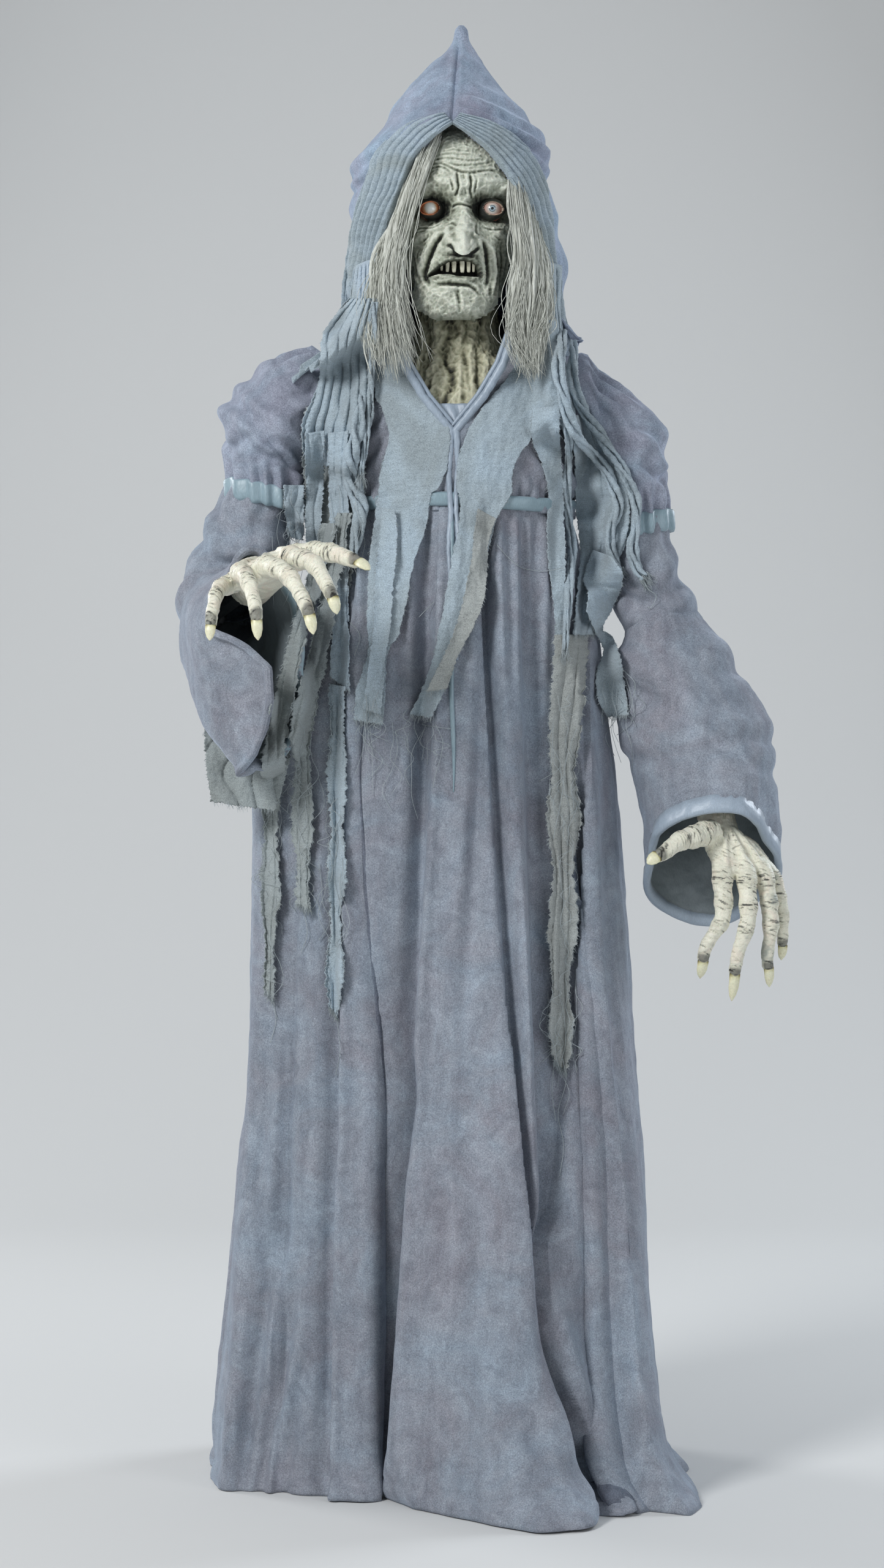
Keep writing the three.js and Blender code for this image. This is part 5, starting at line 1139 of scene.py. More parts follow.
# close the underside of the chin towards the throat
_rows, _cav, _tint = [FP], [FC], [FT]
_last = FP[-1]
for k in range(1, 13):
    q = k / 12
    r = _last.copy()
    r[:, 1] = _last[:, 1] + (-0.058 - _last[:, 1]) * q * 0.9
    r[:, 0] = _last[:, 0] * (1 - 0.1 * q)
    r[:, 2] = _last[:, 2] - 0.003 * math.sin(q * math.pi) + 0.014 * q * q
    _rows.append(r[None])
    # painted shade: the rows under the chin darken towards the throat
    _cav.append((FC[-1] - 0.25 * q)[None])
    _tint.append(FT[-1][None])
FP2, FC2, FT2 = np.vstack(_rows), np.vstack(_cav), np.vstack(_tint)
_o = outward(FP2)
face = mesh("mask_face_skin", FP2.reshape(-1, 3), grid_faces(*FP2.shape[:2], flip=_o[FP2.shape[0] // 2, FP2.shape[1] // 2, 1] > 0), skin_m)
attributes(face, FC2, FT2.reshape(-1, 4))
_mod = face.modifiers.new("latex", "SOLIDIFY")
_mod.thickness, _mod.offset = 0.0016, -1.0

# ------------------------------------------------------------------ neck of the mask, and its bib behind the robe's V
CHEST = [(1.13, -.125, .125, .085, .080), (1.20, -.132, .132, .095, .088), (1.29, -.14, .14, .10, .092), (1.35, -.139, .139, .092, .088), (1.385, -.118, .118, .066, .068), (1.402, -.086, .086, .050, .054)]


def neck_surface(n=300, m=260):
    s = np.linspace(0, 1, m)
    z = 1.479 + (1.286 - 1.479) * s
    w = np.linspace(math.pi - 0.9, TAU + 0.9, n)
    half = np.interp(z, [1.286, 1.32, 1.36, 1.39, 1.41, 1.44, 1.492], [.030, .060, .088, .086, .062, .050, .048])
    frnt = np.interp(z, [1.286, 1.32, 1.35, 1.385, 1.405, 1.43, 1.46, 1.492], [.112, .109, .101, .082, .068, .060, .064, .074])
    back = np.interp(z, [1.286, 1.38, 1.41, 1.44, 1.492], [.02, .03, .05, .055, .06])
    X = 0.003 + half[:, None] * np.cos(w)[None]
    sy = np.sin(w)[None]
    Y = np.where(sy < 0, sy * frnt[:, None], sy * back[:, None])
    Z = np.repeat(z[:, None], n, 1)
    P = np.stack([X, Y, Z], -1)
    fx, fy = face_xy(X, Z)
    d = np.zeros_like(X)
    dark = np.zeros_like(X)
    q = np.stack([X, Z * 0.75, Y * .5], -1)
    # stringy cords, and hollows running down the throat that are painted darker as shade
    for x0, x1, a, wd in [(-0.018, -0.030, 3.4, .006), (0.016, 0.020, 3.6, .0065), (0.036, 0.040, 2.6, .006), (-0.040, -0.058, 2.6, .006), (0.004, 0.002, 2.2, .004)]:
        c = X - (x0 + (x1 - x0) * s[:, None]) - 0.008 * noise(q, 30, 90)
        d += a * gauss(c, wd)
    for x0, x1, a, wd, sh in [(-0.004, -0.010, 2.8, .0050, .34), (0.009, 0.016, 1.8, .0040, .16), (-0.029, -0.044, 1.6, .0040, .10), (0.028, 0.031, 1.6, .0040, .10)]:
        c = X - (x0 + (x1 - x0) * s[:, None]) - 0.010 * noise(q, 26, 91) - 0.003 * noise(q, 90, 92)
        d -= a * gauss(c, wd)
        # painted shade in the hollow
        dark += sh * gauss(c, wd * 1.3) * sstep(1.0, 0.6, s)[:, None]
    d += 1.9 * fbm(q, 58, 3, 93) + 1.2 * (1 - 2 * np.abs(noise(q * (1, 1, 1.5), 85, 95))) + 0.9 * (1 - 2 * np.abs(noise(q * (1, 1, 1.6) + 3, 150, 98))) + 0.7 * (1 - 2 * np.abs(noise(q, 230, 96))) + 0.4 * fbm(q, 320, 2, 97)
    N = outward(P)
    if N[m // 2, n // 2, 1] > 0:
        N = -N
    Q = P + N * (d / 1000)[..., None]
    # painted shade and painted highlight: grooves darker and ridges lighter, the hollows' painted shade, and the top of
    # the neck under the jaw painted darker as shade
    cav = 0.70 + 0.10 * np.clip(d - blur(d, 5), -2.5, 2.5) + 0.14 * np.clip(d - blur(d, 2), -1.6, 1.6) - dark - 0.30 * sstep(1.43, 1.46, Z)
    return Q, np.clip(cav, -.2, 1.1)


NP_, NC = neck_surface()
_o = outward(NP_)
neck = mesh("mask_neck_skin", NP_.reshape(-1, 3), grid_faces(*NP_.shape[:2], flip=_o[100, 150, 1] > 0), neck_m)
attributes(neck, NC)
_mod = neck.modifiers.new("latex", "SOLIDIFY")
_mod.thickness, _mod.offset = 0.0015, -1.0

# ------------------------------------------------------------------ eyes and teeth
def ball(name, c, r, material, n=64, m=48):
    a, b = np.linspace(0, TAU, n, endpoint=False), np.linspace(0.02, math.pi - 0.02, m)
    P = np.stack([r * np.sin(b)[:, None] * np.cos(a)[None], -r * np.cos(b)[:, None] * np.ones(n)[None], r * np.sin(b)[:, None] * np.sin(a)[None]], -1)
    # a slight bulge of the cornea
    P[..., 1] -= 0.0011 * np.exp(-((b[:, None]) / 0.42) ** 2)
    f = grid_faces(m, n, wrap=True).tolist() + [list(range(n))[::-1], list(range((m - 1) * n, m * n))]
    return mesh(name, P.reshape(-1, 3) + np.array(c), f, material)


blank_m = eye_material("eye_blank", (-0.0315, 0, 1.5805), [(0.0, (0.93, 0.93, 0.90)), (0.30, (0.86, 0.85, 0.80)), (0.44, (0.70, 0.62, 0.52)), (0.56, (0.55, 0.24, 0.10)), (0.70, (0.34, 0.09, 0.04)), (1.0, (0.16, 0.05, 0.03))])
grey_m = eye_material("eye_grey", (0.0452, 0, 1.5795), [(0.0, (0.012, 0.013, 0.015)), (0.105, (0.015, 0.016, 0.018)), (0.13, (0.34, 0.42, 0.45)), (0.22, (0.22, 0.29, 0.33)), (0.275, (0.055, 0.07, 0.08)), (0.32, (0.52, 0.50, 0.46)), (0.5, (0.50, 0.36, 0.31)), (0.8, (0.30, 0.12, 0.09))])
eye_r = ball("eye_right_painted", (-0.032, -0.091, 1.580), 0.0142, blank_m)
eye_l = ball("eye_left_painted", (0.045, -0.091, 1.580), 0.0142, grey_m)

_parts = []
for x, w, top, bot, lean in [(-22, 1.7, 1.5085, 1.5015, 0), (-14.6, 2.5, 1.5115, 1.4998, -.3), (-6.8, 3.0, 1.5125, 1.4988, .2), (3.2, 3.1, 1.5125, 1.4985, .4), (11.2, 2.6, 1.5120, 1.4990, .2), (17.6, 2.0, 1.5105, 1.4996, -.2)]:
    rows = []
    for q in np.linspace(0, 1, 12):
        zz = (top + (bot - top) * q)
        ww = w / 1000 * (1.0 - 0.30 * q**2.2) * (1 if q < .94 else .72)
        yy = 0.0030 * (1 - 0.45 * q) * (1 if q < .94 else .55)
        a = np.linspace(0, TAU, 14, endpoint=False)
        c, s = np.sign(np.cos(a)) * np.abs(np.cos(a)) ** .7, np.sign(np.sin(a)) * np.abs(np.sin(a)) ** .7
        rows.append(np.stack([x / 1000 + 0.0045 + lean / 1000 * q + ww * c, -0.1145 + 0.00055 * abs(x / 6) ** 1.4 + yy * s - 0.002 * (1 - q), np.full(14, zz)], -1))
    R = np.array(rows)
    v = R.reshape(-1, 3)
    f = grid_faces(12, 14, wrap=True).tolist() + [list(range(14))[::-1], list(range(11 * 14, 12 * 14))]
    _parts.append((v, f))
teeth = many("upper_teeth_carved", _parts, tooth_m)
_a = np.linspace(-1, 1, 40)
_rows = []
for k, (dz, dy) in enumerate([(0.0045, 0.004), (0.003, -0.0005), (0.0, -0.0024), (-0.0035, -0.0012), (-0.0045, 0.003)]):
    _rows.append(np.stack([0.0045 + 0.031 * _a, -0.1135 + 0.0085 * np.abs(_a) ** 1.8 + dy + 0.0006 * np.sin(_a * 22), 1.5155 + dz - 0.002 * _a**2 + 0.0008 * np.sin(_a * 22 + 1)], -1))
_g = np.array(_rows)
gum = thick("upper_gum", _g, 0.002, gum_m, side=1.0 if outward(_g)[2, 20, 1] < 0 else -1.0)

# ------------------------------------------------------------------ hood
HOOD = [(1.436, -.118, .124, .050, .088), (1.46, -.124, .130, .062, .100), (1.50, -.128, .134, .078, .112), (1.54, -.127, .133, .096, .120), (1.577, -.132, .123, .114, .126), (1.614, -.133, .117, .122, .128),
        (1.65, -.129, .115, .124, .126), (1.674, -.113, .112, .122, .120), (1.697, -.093, .097, .112, .106), (1.73, -.075, .073, .086, .084),
        (1.773, -.039, .042, .046, .046), (1.797, -.012, .027, .022, .022), (1.812, -.003, .0175, .0105, .0105), (1.824, -.0005, .0155, .0085, .0085), (1.830, .004, .011, .0045, .0045)]
OPEN = [(1.420, -.108, .100), (1.48, -.101, .095), (1.505, -.098, .093), (1.543, -.088, .082), (1.582, -.074, .074), (1.614, -.061, .066), (1.640, -.050, .047), (1.66, -.030, .027), (1.680, -.005, -.004)]


def hood_point(x, z, out=0.0):
    """Front of the hood at x, z."""
    x0, x1, f, b = look(HOOD, z)
    k = np.clip((x - (x0 + x1) / 2) / ((x1 - x0) / 2), -1, 1)
    return -(f + out) * np.sqrt(np.clip(1 - k * k, 0, 1))


def hood_grid(n=520, m=330):
    z = np.concatenate([np.linspace(1.8296, 1.80, 26, endpoint=False), np.linspace(1.80, 1.455, m - 26)])
    t = np.linspace(0, TAU, n, endpoint=False)
    x0, x1, f, b = look(HOOD, z)
    s = np.sin(t)[None]
    X = ((x0 + x1) / 2)[:, None] + ((x1 - x0) / 2)[:, None] * np.cos(t)[None]
    Y = np.where(s < 0, s * f[:, None], s * b[:, None])
    P = np.stack([X, Y, np.repeat(z[:, None], n, 1)], -1)
    N = outward(P, wrap=True)
    if (N[150:, :, 1] * P[150:, :, 1]).mean() < 0:
        N = -N
    Z = P[..., 2]
    d = 0.0028 * fbm(P, 14, 3, 120) + 0.0009 * fbm(P, 60, 3, 122)
    fade = sstep(1.815, 1.79, Z)
    frontal = sstep(0.03, -0.03, P[..., 1])
    # centre seam down the front of the cone
    sx = np.interp(Z, [1.69, 1.83], [-0.004, 0.006])
    d -= 0.0028 * gauss(X - sx, 0.0022) * frontal * sstep(1.66, 1.70, Z)
    d += 0.0016 * gauss(np.abs(X - sx) - 0.006, 0.004) * frontal * sstep(1.66, 1.70, Z)
    # folds that sweep from the brow seam round to the sides
    zz = Z + 0.55 * np.abs(X - 0.0) - 0.02
    for z0, a, w, side in [(1.722, .0075, .0075, 1), (1.705, .009, .008, 1), (1.686, .006, .007, 1), (1.700, .0065, .0085, -1), (1.683, .0055, .008, -1), (1.742, .004, .010, 1)]:
        q = (Z + (0.34 if side > 0 else 0.42) * np.abs(X) - z0) / w
        g = sstep(0.002, 0.022, X * side) * frontal
        d += g * (a * np.exp(-q * q) - 0.75 * a * np.exp(-((q + 1.7) / 0.7) ** 2))
    # slack over the back of the cap and at the sides
    ang = np.arctan2(P[..., 1], P[..., 0])
    low = sstep(1.70, 1.56, Z)
    d += (1 - 0.75 * frontal) * low * (0.007 * np.sin(ang * 7 + 2.0 * np.sin(ang * 2 + Z * 9)) + 0.004 * np.sin(ang * 13 + 1 + Z * 12))
    d += (1 - frontal) * 0.005 * np.sin(Z * 95 + 2.2 * np.sin(ang * 2.0 + .5)) * sstep(1.78, 1.70, Z)
    return P + N * (d * fade)[..., None], P


HG, HB = hood_grid()
_z = HB[..., 2]
_l = np.interp(_z, [r[0] for r in OPEN], [r[1] for r in OPEN])
_r = np.interp(_z, [r[0] for r in OPEN], [r[2] for r in OPEN])
_in = (HB[..., 1] < -0.01) & (_z < 1.682) & (HB[..., 0] > _l) & (HB[..., 0] < _r)
_k = ~(_in[:-1] | _in[1:] | np.roll(_in, -1, 1)[:-1] | np.roll(_in, -1, 1)[1:])
_n = outward(HG, wrap=True)
_fl = (_n[200, :, 1] * HG[200, :, 1]).mean() < 0
_f = grid_faces(*HG.shape[:2], wrap=True, flip=_fl)[_k.reshape(-1)]
_f = _f.tolist() + [list(range(HG.shape[1]))[::-1] if not _fl else list(range(HG.shape[1]))]
hood = mesh("hood_cloth", HG.reshape(-1, 3), _f, velvet_hood)
_mod = hood.modifiers.new("cloth", "SOLIDIFY")
_mod.thickness, _mod.offset = 0.003, -1.0


def opening_line(side, n=220):
    """The edge of the face opening on one side, from the brow point down to the collar."""
    if side < 0:
        pts = [(-0.004, 1.681), (-0.028, 1.664), (-0.050, 1.640), (-0.061, 1.614), (-0.074, 1.582), (-0.088, 1.543), (-0.098, 1.505), (-0.104, 1.472), (-0.115, 1.438), (-0.130, 1.408)]
    else:
        pts = [(-0.004, 1.681), (0.026, 1.660), (0.047, 1.640), (0.066, 1.614), (0.075, 1.582), (0.083, 1.543), (0.093, 1.505), (0.100, 1.472), (0.108, 1.438), (0.112, 1.405)]
    return spline(pts, n)


# pleated gauze laid round the face opening: each pleat is one rounded fold
def pleated(side, n=220, m=84):
    e = opening_line(side, n)
    tan = norm(np.gradient(e, axis=0))
    outw = np.stack([-tan[:, 1], tan[:, 0]], -1)
    outw *= np.sign(outw[:, :1] * side + 1e-9)
    u = np.linspace(-0.06, 1, m)
    s = np.linspace(0, 1, n)
    width = np.interp(s, [0, .10, .25, .5, .7, .85, 1], [0.016, .030, .044, .040, .032, .030, .034]) * (1.12 if side < 0 else 1.0)
    XZ = e[:, None] + outw[:, None] * (u[None, :, None] * width[:, None, None])
    X, Z = XZ[..., 0], XZ[..., 1]
    base = hood_point(X, np.clip(Z, 1.436, 1.82))
    collar = np.interp(Z, [1.40, 1.46, 1.52], [1, 0.4, 0])
    pleats = 5.4 + 1.4 * np.sin(s * 5 + side)[:, None]
    ph = u[None] * pleats + 0.25 * np.sin(s * 9 + side)[:, None] + 0.5 * fbm(np.stack([X, Z, X * 0], -1), 22, 2, 130 + side)
    saw = ph - np.floor(ph)
    fold = (saw**0.6) * (1 - saw) ** 0.35 * 1.6
    out = 0.0045 + 0.0068 * fold * sstep(-0.06, 0.06, u)[None] * sstep(1.0, 0.93, u)[None] + 0.0020 * sstep(0.1, -0.06, u)[None]
    P3 = np.stack([X, base, Z], -1)
    out = out + 0.0016 * fbm(P3, 45, 3, 133) + 0.0007 * fbm(P3, 160, 2, 134)
    r = norm(np.stack([X * 0.9, base - 0.02, X * 0], -1))
    Q = P3 + r * out[..., None]
    Q[..., 1] -= 0.004 * sstep(0.12, -0.06, u)[None] - 0.020 * collar * 0
    # the free edge curls in towards the face
    Q[..., 1] += 0.010 * gauss(u + 0.06, 0.05)[None]
    return Q


pleat_obj = []
for side, tag in ((-1, "right"), (1, "left")):
    Q = pleated(side)
    # rows run down the opening, columns outwards
    sgn = 1.0 if outward(Q)[100, 40, 1] < 0 else -1.0
    pleat_obj.append(thick("hood_pleats_" + tag, Q, 0.0016, gauze_hood, side=sgn))

# cowl of the robe behind the neck, inside the hood, made in the darkened velvet that paints the shade there
_a = np.linspace(-0.45, math.pi + 0.45, 150)
_s = np.linspace(0, 1, 40)
_rx = np.interp(_s, [0, .5, 1], [.092, .084, .080])[:, None]
_ry = np.interp(_s, [0, .5, 1], [.066, .066, .062])[:, None]
COWL = np.stack([_rx * np.cos(_a)[None], _ry * np.sin(_a)[None], np.repeat((1.404 + 0.062 * _s)[:, None], 150, 1) + 0.006 * np.sin(_a)[None]], -1)
COWL = COWL + norm(COWL * (1, 1, 0)) * (0.0022 * np.sin(_a * 9)[None] * _s[:, None] + 0.0012 * fbm(COWL, 50, 3, 140))[..., None]
cowl = thick("robe_cowl", COWL[::-1], 0.0018, velvet_painted_shade, side=1.0 if (outward(COWL[::-1]) * norm(COWL[::-1] * (1, 1, 0))).sum(-1).mean() > 0 else -1.0)

# ------------------------------------------------------------------ hood drapes: soft cloth from the pleats down to the shoulders
body_tree = tree_of(bodice, skirt, *[sleeve_obj[k] for k in sleeve_obj if k.startswith(("cap", "upper"))])
head_tree = tree_of(face, neck)


def front_of(tree, x, z, y0=-1.0, miss=0.2):
    h = tree.ray_cast(Vector((float(x), y0, float(z))), Vector((0, 1, 0)), 3.0)
    return h[0].y if h[0] is not None else miss


def lay(tree, P, gap, limit=None):
    """Push a grid of points forward (-Y) until it clears what is behind it."""
    out = P.copy()
    flat = out.reshape(-1, 3)
    y = np.array([front_of(tree, p[0], p[2]) for p in flat])
    flat[:, 1] = np.minimum(flat[:, 1], y - np.broadcast_to(gap, out.shape[:2]).reshape(-1))
    return out


# left and right drape: rows of (z, inner edge x, inner y, outer edge x, outer y)
DRAPE = {
    -1: [(1.520, -.098, -.088, -.128, -.030), (1.490, -.101, -.096, -.131, -.034), (1.460, -.106, -.104, -.136, -.040), (1.440, -.111, -.108, -.146, -.048),
         (1.425, -.118, -.110, -.160, -.056), (1.408, -.130, -.110, -.182, -.058), (1.392, -.148, -.106, -.205, -.056)],
    1: [(1.520, .092, -.088, .134, -.036), (1.480, .100, -.098, .133, -.040), (1.440, .108, -.106, .134, -.046), (1.400, .113, -.114, .138, -.052),
        (1.380, .114, -.118, .146, -.056), (1.350, .112, -.124, .150, -.062), (1.320, .117, -.126, .154, -.068), (1.300, .124, -.128, .154, -.072)],
}


def drape_grid(side, m=130, n=90):
    R = DRAPE[side]
    z = np.linspace(R[0][0], R[-1][0], m)
    x0, y0, x1, y1 = look(R, z)
    u = np.linspace(0, 1, n)
    X = x0[:, None] + (x1 - x0)[:, None] * u[None]
    Y = y0[:, None] + (y1 - y0)[:, None] * (u[None] ** 1.6)
    Z = np.repeat(z[:, None], n, 1)
    s = np.linspace(0, 1, m)[:, None]
    # the hem tilts out and down over the shoulder
    Z = Z - 0.026 * s * (u[None] - 0.3) - 0.005 * s * np.sin(u[None] * 17 + side) - 0.004 * s * np.sin(u[None] * 41)
    P = np.stack([X, Y, Z], -1)
    ph = u[None] * 5.6 + 0.5 * np.sin(s * 3 + side) + 0.45 * fbm(P, 20, 2, 150 + side)
    saw = ph - np.floor(ph)
    d = 0.0095 * (saw**0.7) * (1 - saw) ** 0.45 * 1.7 + 0.0022 * fbm(P, 50, 3, 152) + 0.0008 * fbm(P, 170, 2, 155)
    P[..., 1] -= d * sstep(0, 0.05, s) + 0.002
    P[..., 0] += 0.004 * fbm(P, 26, 2, 158) * s
    return P


drape_obj, DRAPED = {}, {}
for side, tag in ((-1, "right"), (1, "left")):
    P = lay(body_tree, drape_grid(side), 0.0022)
    DRAPED[side] = P
    drape_obj[side] = thick("hood_drape_cloth_" + tag, P, 0.0012, gauze_hood, side=1.0 if outward(P)[60, 45, 1] < 0 else -1.0)

# ------------------------------------------------------------------ hair: long straight strands from the temples to the chest
all_tree = tree_of(bodice, skirt, face, neck)
# guides run outer to inner: (x, y on the drawing grid, depth)
HAIR = {
    -1: [
        [(520, 262, -.060), (503, 305, -.084), (483, 345, -.096), (470, 385, -.110), (466, 425, -.126), (470, 455, -.140)],
        [(530, 222, -.078), (507, 285, -.098), (487, 330, -.106), (478, 385, -.116), (480, 430, -.130), (486, 470, -.142)],
        [(543, 192, -.090), (520, 240, -.110), (502, 300, -.116), (493, 365, -.122), (497, 425, -.132), (507, 480, -.142)],
        [(555, 172, -.096), (532, 222, -.120), (514, 285, -.124), (503, 350, -.126), (509, 415, -.132), (521, 468, -.140)],
        [(562, 168, -.098), (545, 212, -.124), (524, 275, -.124), (514, 340, -.124), (520, 400, -.126), (534, 452, -.132)],
    ],
    1: [
        [(694, 318, -.060), (700, 350, -.080), (704, 380, -.096), (702, 410, -.112), (694, 440, -.128), (690, 466, -.140)],
        [(684, 292, -.076), (692, 335, -.094), (696, 372, -.104), (693, 408, -.118), (686, 440, -.132), (684, 478, -.142)],
        [(672, 262, -.086), (681, 310, -.102), (684, 352, -.110), (679, 396, -.122), (674, 436, -.132), (680, 480, -.142)],
        [(660, 238, -.092), (667, 285, -.110), (671, 335, -.114), (666, 382, -.122), (661, 428, -.132), (676, 476, -.142)],
        [(650, 228, -.092), (654, 276, -.112), (660, 322, -.114), (655, 366, -.118), (650, 410, -.126), (660, 455, -.138)],
    ],
}


def strand(gset, u, j, n=26):
    """One strand between guides; u 0..1 across them, j picks its own waver."""
    g = np.array(gset, float)
    k = u * (len(g) - 1)
    a, w = int(min(k, len(g) - 2)), 0
    w = k - a
    ctrl = g[a] * (1 - w) + g[a + 1] * w
    r = np.random.default_rng(j)
    t = np.linspace(0, 1, len(ctrl))
    loose = r.uniform(0, 1) ** 4
    ctrl[:, 0] += (r.normal(0, 2.4) + r.normal(0, 3.8, len(ctrl)) * (0.35 + 1.9 * loose)) * (0.35 + t) + 6 * loose * r.normal() * t
    ctrl[:, 1] += r.normal(0, 7)
    ctrl[:, 2] -= abs(r.normal(0, .0035)) + 0.010 * loose * t
    end = 0.62 + 0.42 * r.uniform() ** 0.6
    c = spline([tuple(q) for q in ctrl], 60)
    c = c[: int(60 * min(1, end))]
    c = np.stack([np.interp(np.linspace(0, 1, n), np.linspace(0, 1, len(c)), c[:, i]) for i in range(3)], 1)
    p = undrawn(c[:, 0], c[:, 1], c[:, 2])
    p = p + 0.0012 * fbm(p + j, 26, 2, 160) [:, None] * np.array([1, .4, 0])
    return p


def clear(p, tree, gap):
    y = np.array([front_of(tree, q[0], q[2]) for q in p])
    lim = y - gap
    # ease the push so a strand does not kink at an edge
    lim = np.minimum(lim, np.convolve(np.pad(lim, 2, mode="edge"), np.ones(5) / 5, "valid"))
    p[:, 1] = np.minimum(p[:, 1], lim)
    return p


hair_obj = {}
for side, tag, count in ((-1, "right", 620), (1, "left", 560)):
    parts = []
    centres = np.random.default_rng(40 + side).uniform(0, 1, 44)
    for i in range(count):
        r = np.random.default_rng(1000 + i + (0 if side < 0 else 5000))
        lock = centres[i % len(centres)]
        u = float(np.clip(lock + r.normal(0, 0.018), 0, 1))
        p = clear(strand(HAIR[side], u, 9000 + i * 7 + side), all_tree, 0.0016 + 0.004 * r.uniform() ** 2)
        w = np.linspace(0, 1, len(p))
        thick_at = (0.00040 + 0.00030 * r.uniform()) * (1 - 0.75 * w**3)
        parts.append(tube(p, 0, 4, taper=thick_at))
    # broad soft locks under the loose strands give the hair its body
    for i, c in enumerate(centres):
        p = clear(strand(HAIR[side], float(c), 77000 + i), all_tree, 0.0014)
        w = np.linspace(0, 1, len(p))
        parts.append(tube(p + np.array([0, 0.0010, 0]), 0, 8, taper=(0.0021 + 0.0012 * ((i * 7) % 5) / 5) * (1 - 0.85 * w**2.2) * (0.45 + 0.55 * np.sin(np.clip(w * 3, 0, 1) * math.pi / 2))))
    hair_obj[side] = many("hair_strands_" + tag, parts, hair_m)

# back of the hood: the velvet runs on down over the nape to the shoulders
_na, _nr = 420, 90
_a = np.linspace(-0.32, math.pi + 0.32, _na)
_s = np.linspace(0, 1, _nr)[:, None]
_sin = np.sin(_a)[None]
_zb = 1.430 - 0.062 * sstep(0.10, 0.80, _sin)
_z = 1.476 * (1 - _s) + _zb * _s
_x0, _x1 = -0.1245 - 0.034 * _s**1.3, 0.1300 + 0.028 * _s**1.3
_CX = (_x0 + _x1) / 2 + (_x1 - _x0) / 2 * np.cos(_a)[None]
_back = 0.1015 + 0.022 * _s**1.2
_CY = np.where(_sin > 0, _back * _sin, 0.062 * _sin)
CAPE = np.stack([_CX, _CY, np.broadcast_to(_z, _CX.shape)], -1)
_R = norm(CAPE * (1, 1, 0))
_fold = 0.0042 * np.sin(_a * 11 + 1.5 * np.sin(_a * 3))[None] * _s + 0.0030 * np.sin(_a * 23 + 2)[None] * _s**2 + 0.0020 * fbm(CAPE, 30, 3, 171)
_hem = 0.0035 * gauss(_s - 0.955, 0.03) + 0.0 * _CX
CAPE = CAPE + _R * (_fold + _hem)[..., None]
cape = thick("hood_cape", CAPE[::-1], 0.0026, velvet_hood, side=1.0 if (outward(CAPE[::-1]) * _R[::-1]).sum(-1).mean() > 0 else -1.0)

# ------------------------------------------------------------------ gauze panels, torn strips and ropes, laid on the garments
pile = [tree_of(bodice, skirt, *[sleeve_obj[k] for k in sleeve_obj]), tree_of(*drape_obj.values())]
GAUZE = {}  # name: (object, grid)
fray_sets = {"stand": [], "arm_right": [], "rope_left": [], "curl": [], "flap": []}
fray_parts = fray_sets["stand"]


def A2(x, y):
    return ((360 + x / 2.375) / 1.28, (540 + y / 2.375) / 1.28)


def A3(x, y):
    return ((700 + x / 2.376) / 1.28, (540 + y / 2.376) / 1.28)


def under(D, default=-0.12, extra=None):
    """Depth of whatever lies behind each drawing-grid place."""
    q = undrawn(D[..., 0], D[..., 1], 0.0).reshape(-1, 3)
    y = np.full(len(q), np.nan)
    for i, p in enumerate(q):
        d = Vector(p - CAM).normalized()
        for t in (pile if extra is None else pile + extra):
            h = t.ray_cast(Vector(CAM), d, 6.0)
            if h[0] is not None and not (h[0].y > y[i]):
                y[i] = h[0].y
    y = np.where(y > 0.03, np.nan, y).reshape(D.shape[:-1])
    for row in y:
        ok = ~np.isnan(row)
        row[:] = np.interp(np.arange(len(row)), np.flatnonzero(ok), row[ok]) if ok.any() else np.nan
    bad = np.isnan(y[:, 0])
    if bad.all():
        y[:] = default
    elif bad.any():
        good = np.flatnonzero(~bad)
        for i in np.flatnonzero(bad):
            y[i] = y[good[np.argmin(abs(good - i))]]
    return y


def ease(y, k, passes=2, low=True):
    """Bridge the hollows in a depth grid, then soften it."""
    for ax in (0, 1):
        if low:
            p = np.pad(y, [(k, k) if a == ax else (0, 0) for a in (0, 1)], mode="edge")
            y = np.min([np.take(p, np.arange(j, j + y.shape[ax]), axis=ax) for j in range(2 * k + 1)], axis=0)
    for _ in range(passes):
        for ax in (0, 1):
            p = np.pad(y, [(k, k) if a == ax else (0, 0) for a in (0, 1)], mode="edge")
            y = np.mean([np.take(p, np.arange(j, j + y.shape[ax]), axis=ax) for j in range(2 * k + 1)], axis=0)
    return y


def fringe(P, edge, count, length, seed, lean=0.4):
    """Short loose threads along one edge of a laid panel."""
    r = np.random.default_rng(seed)
    if edge in ("l", "r"):
        line, inner = (P[:, 0], P[:, 3]) if edge == "l" else (P[:, -1], P[:, -4])
    else:
        line, inner = P[-1], P[-4]
    out = norm(line - inner)
    down = np.array([0, -0.05, -1.0])
    for i in range(count):
        k = int(r.integers(1, len(line) - 1))
        d = norm(out[k] * (1 if edge != "b" else 0.3) + down * r.uniform(lean * 0.3, lean * 1.6) + r.normal(0, .25, 3) * np.array([1, .6, 1]))
        L = length * r.uniform(0.3, 1.3)
        a = line[k] - out[k] * 0.0008
        bend = r.normal(0, .3, 3)
        pts = [a + d * L * s + (down * 0.5 + bend) * L * s * s * 0.6 for s in (0, .35, .7, 1)]
        fray_parts.append(tube(np.array(pts), 0, 3, taper=np.array([.00028, .00026, .0002, .0001])))


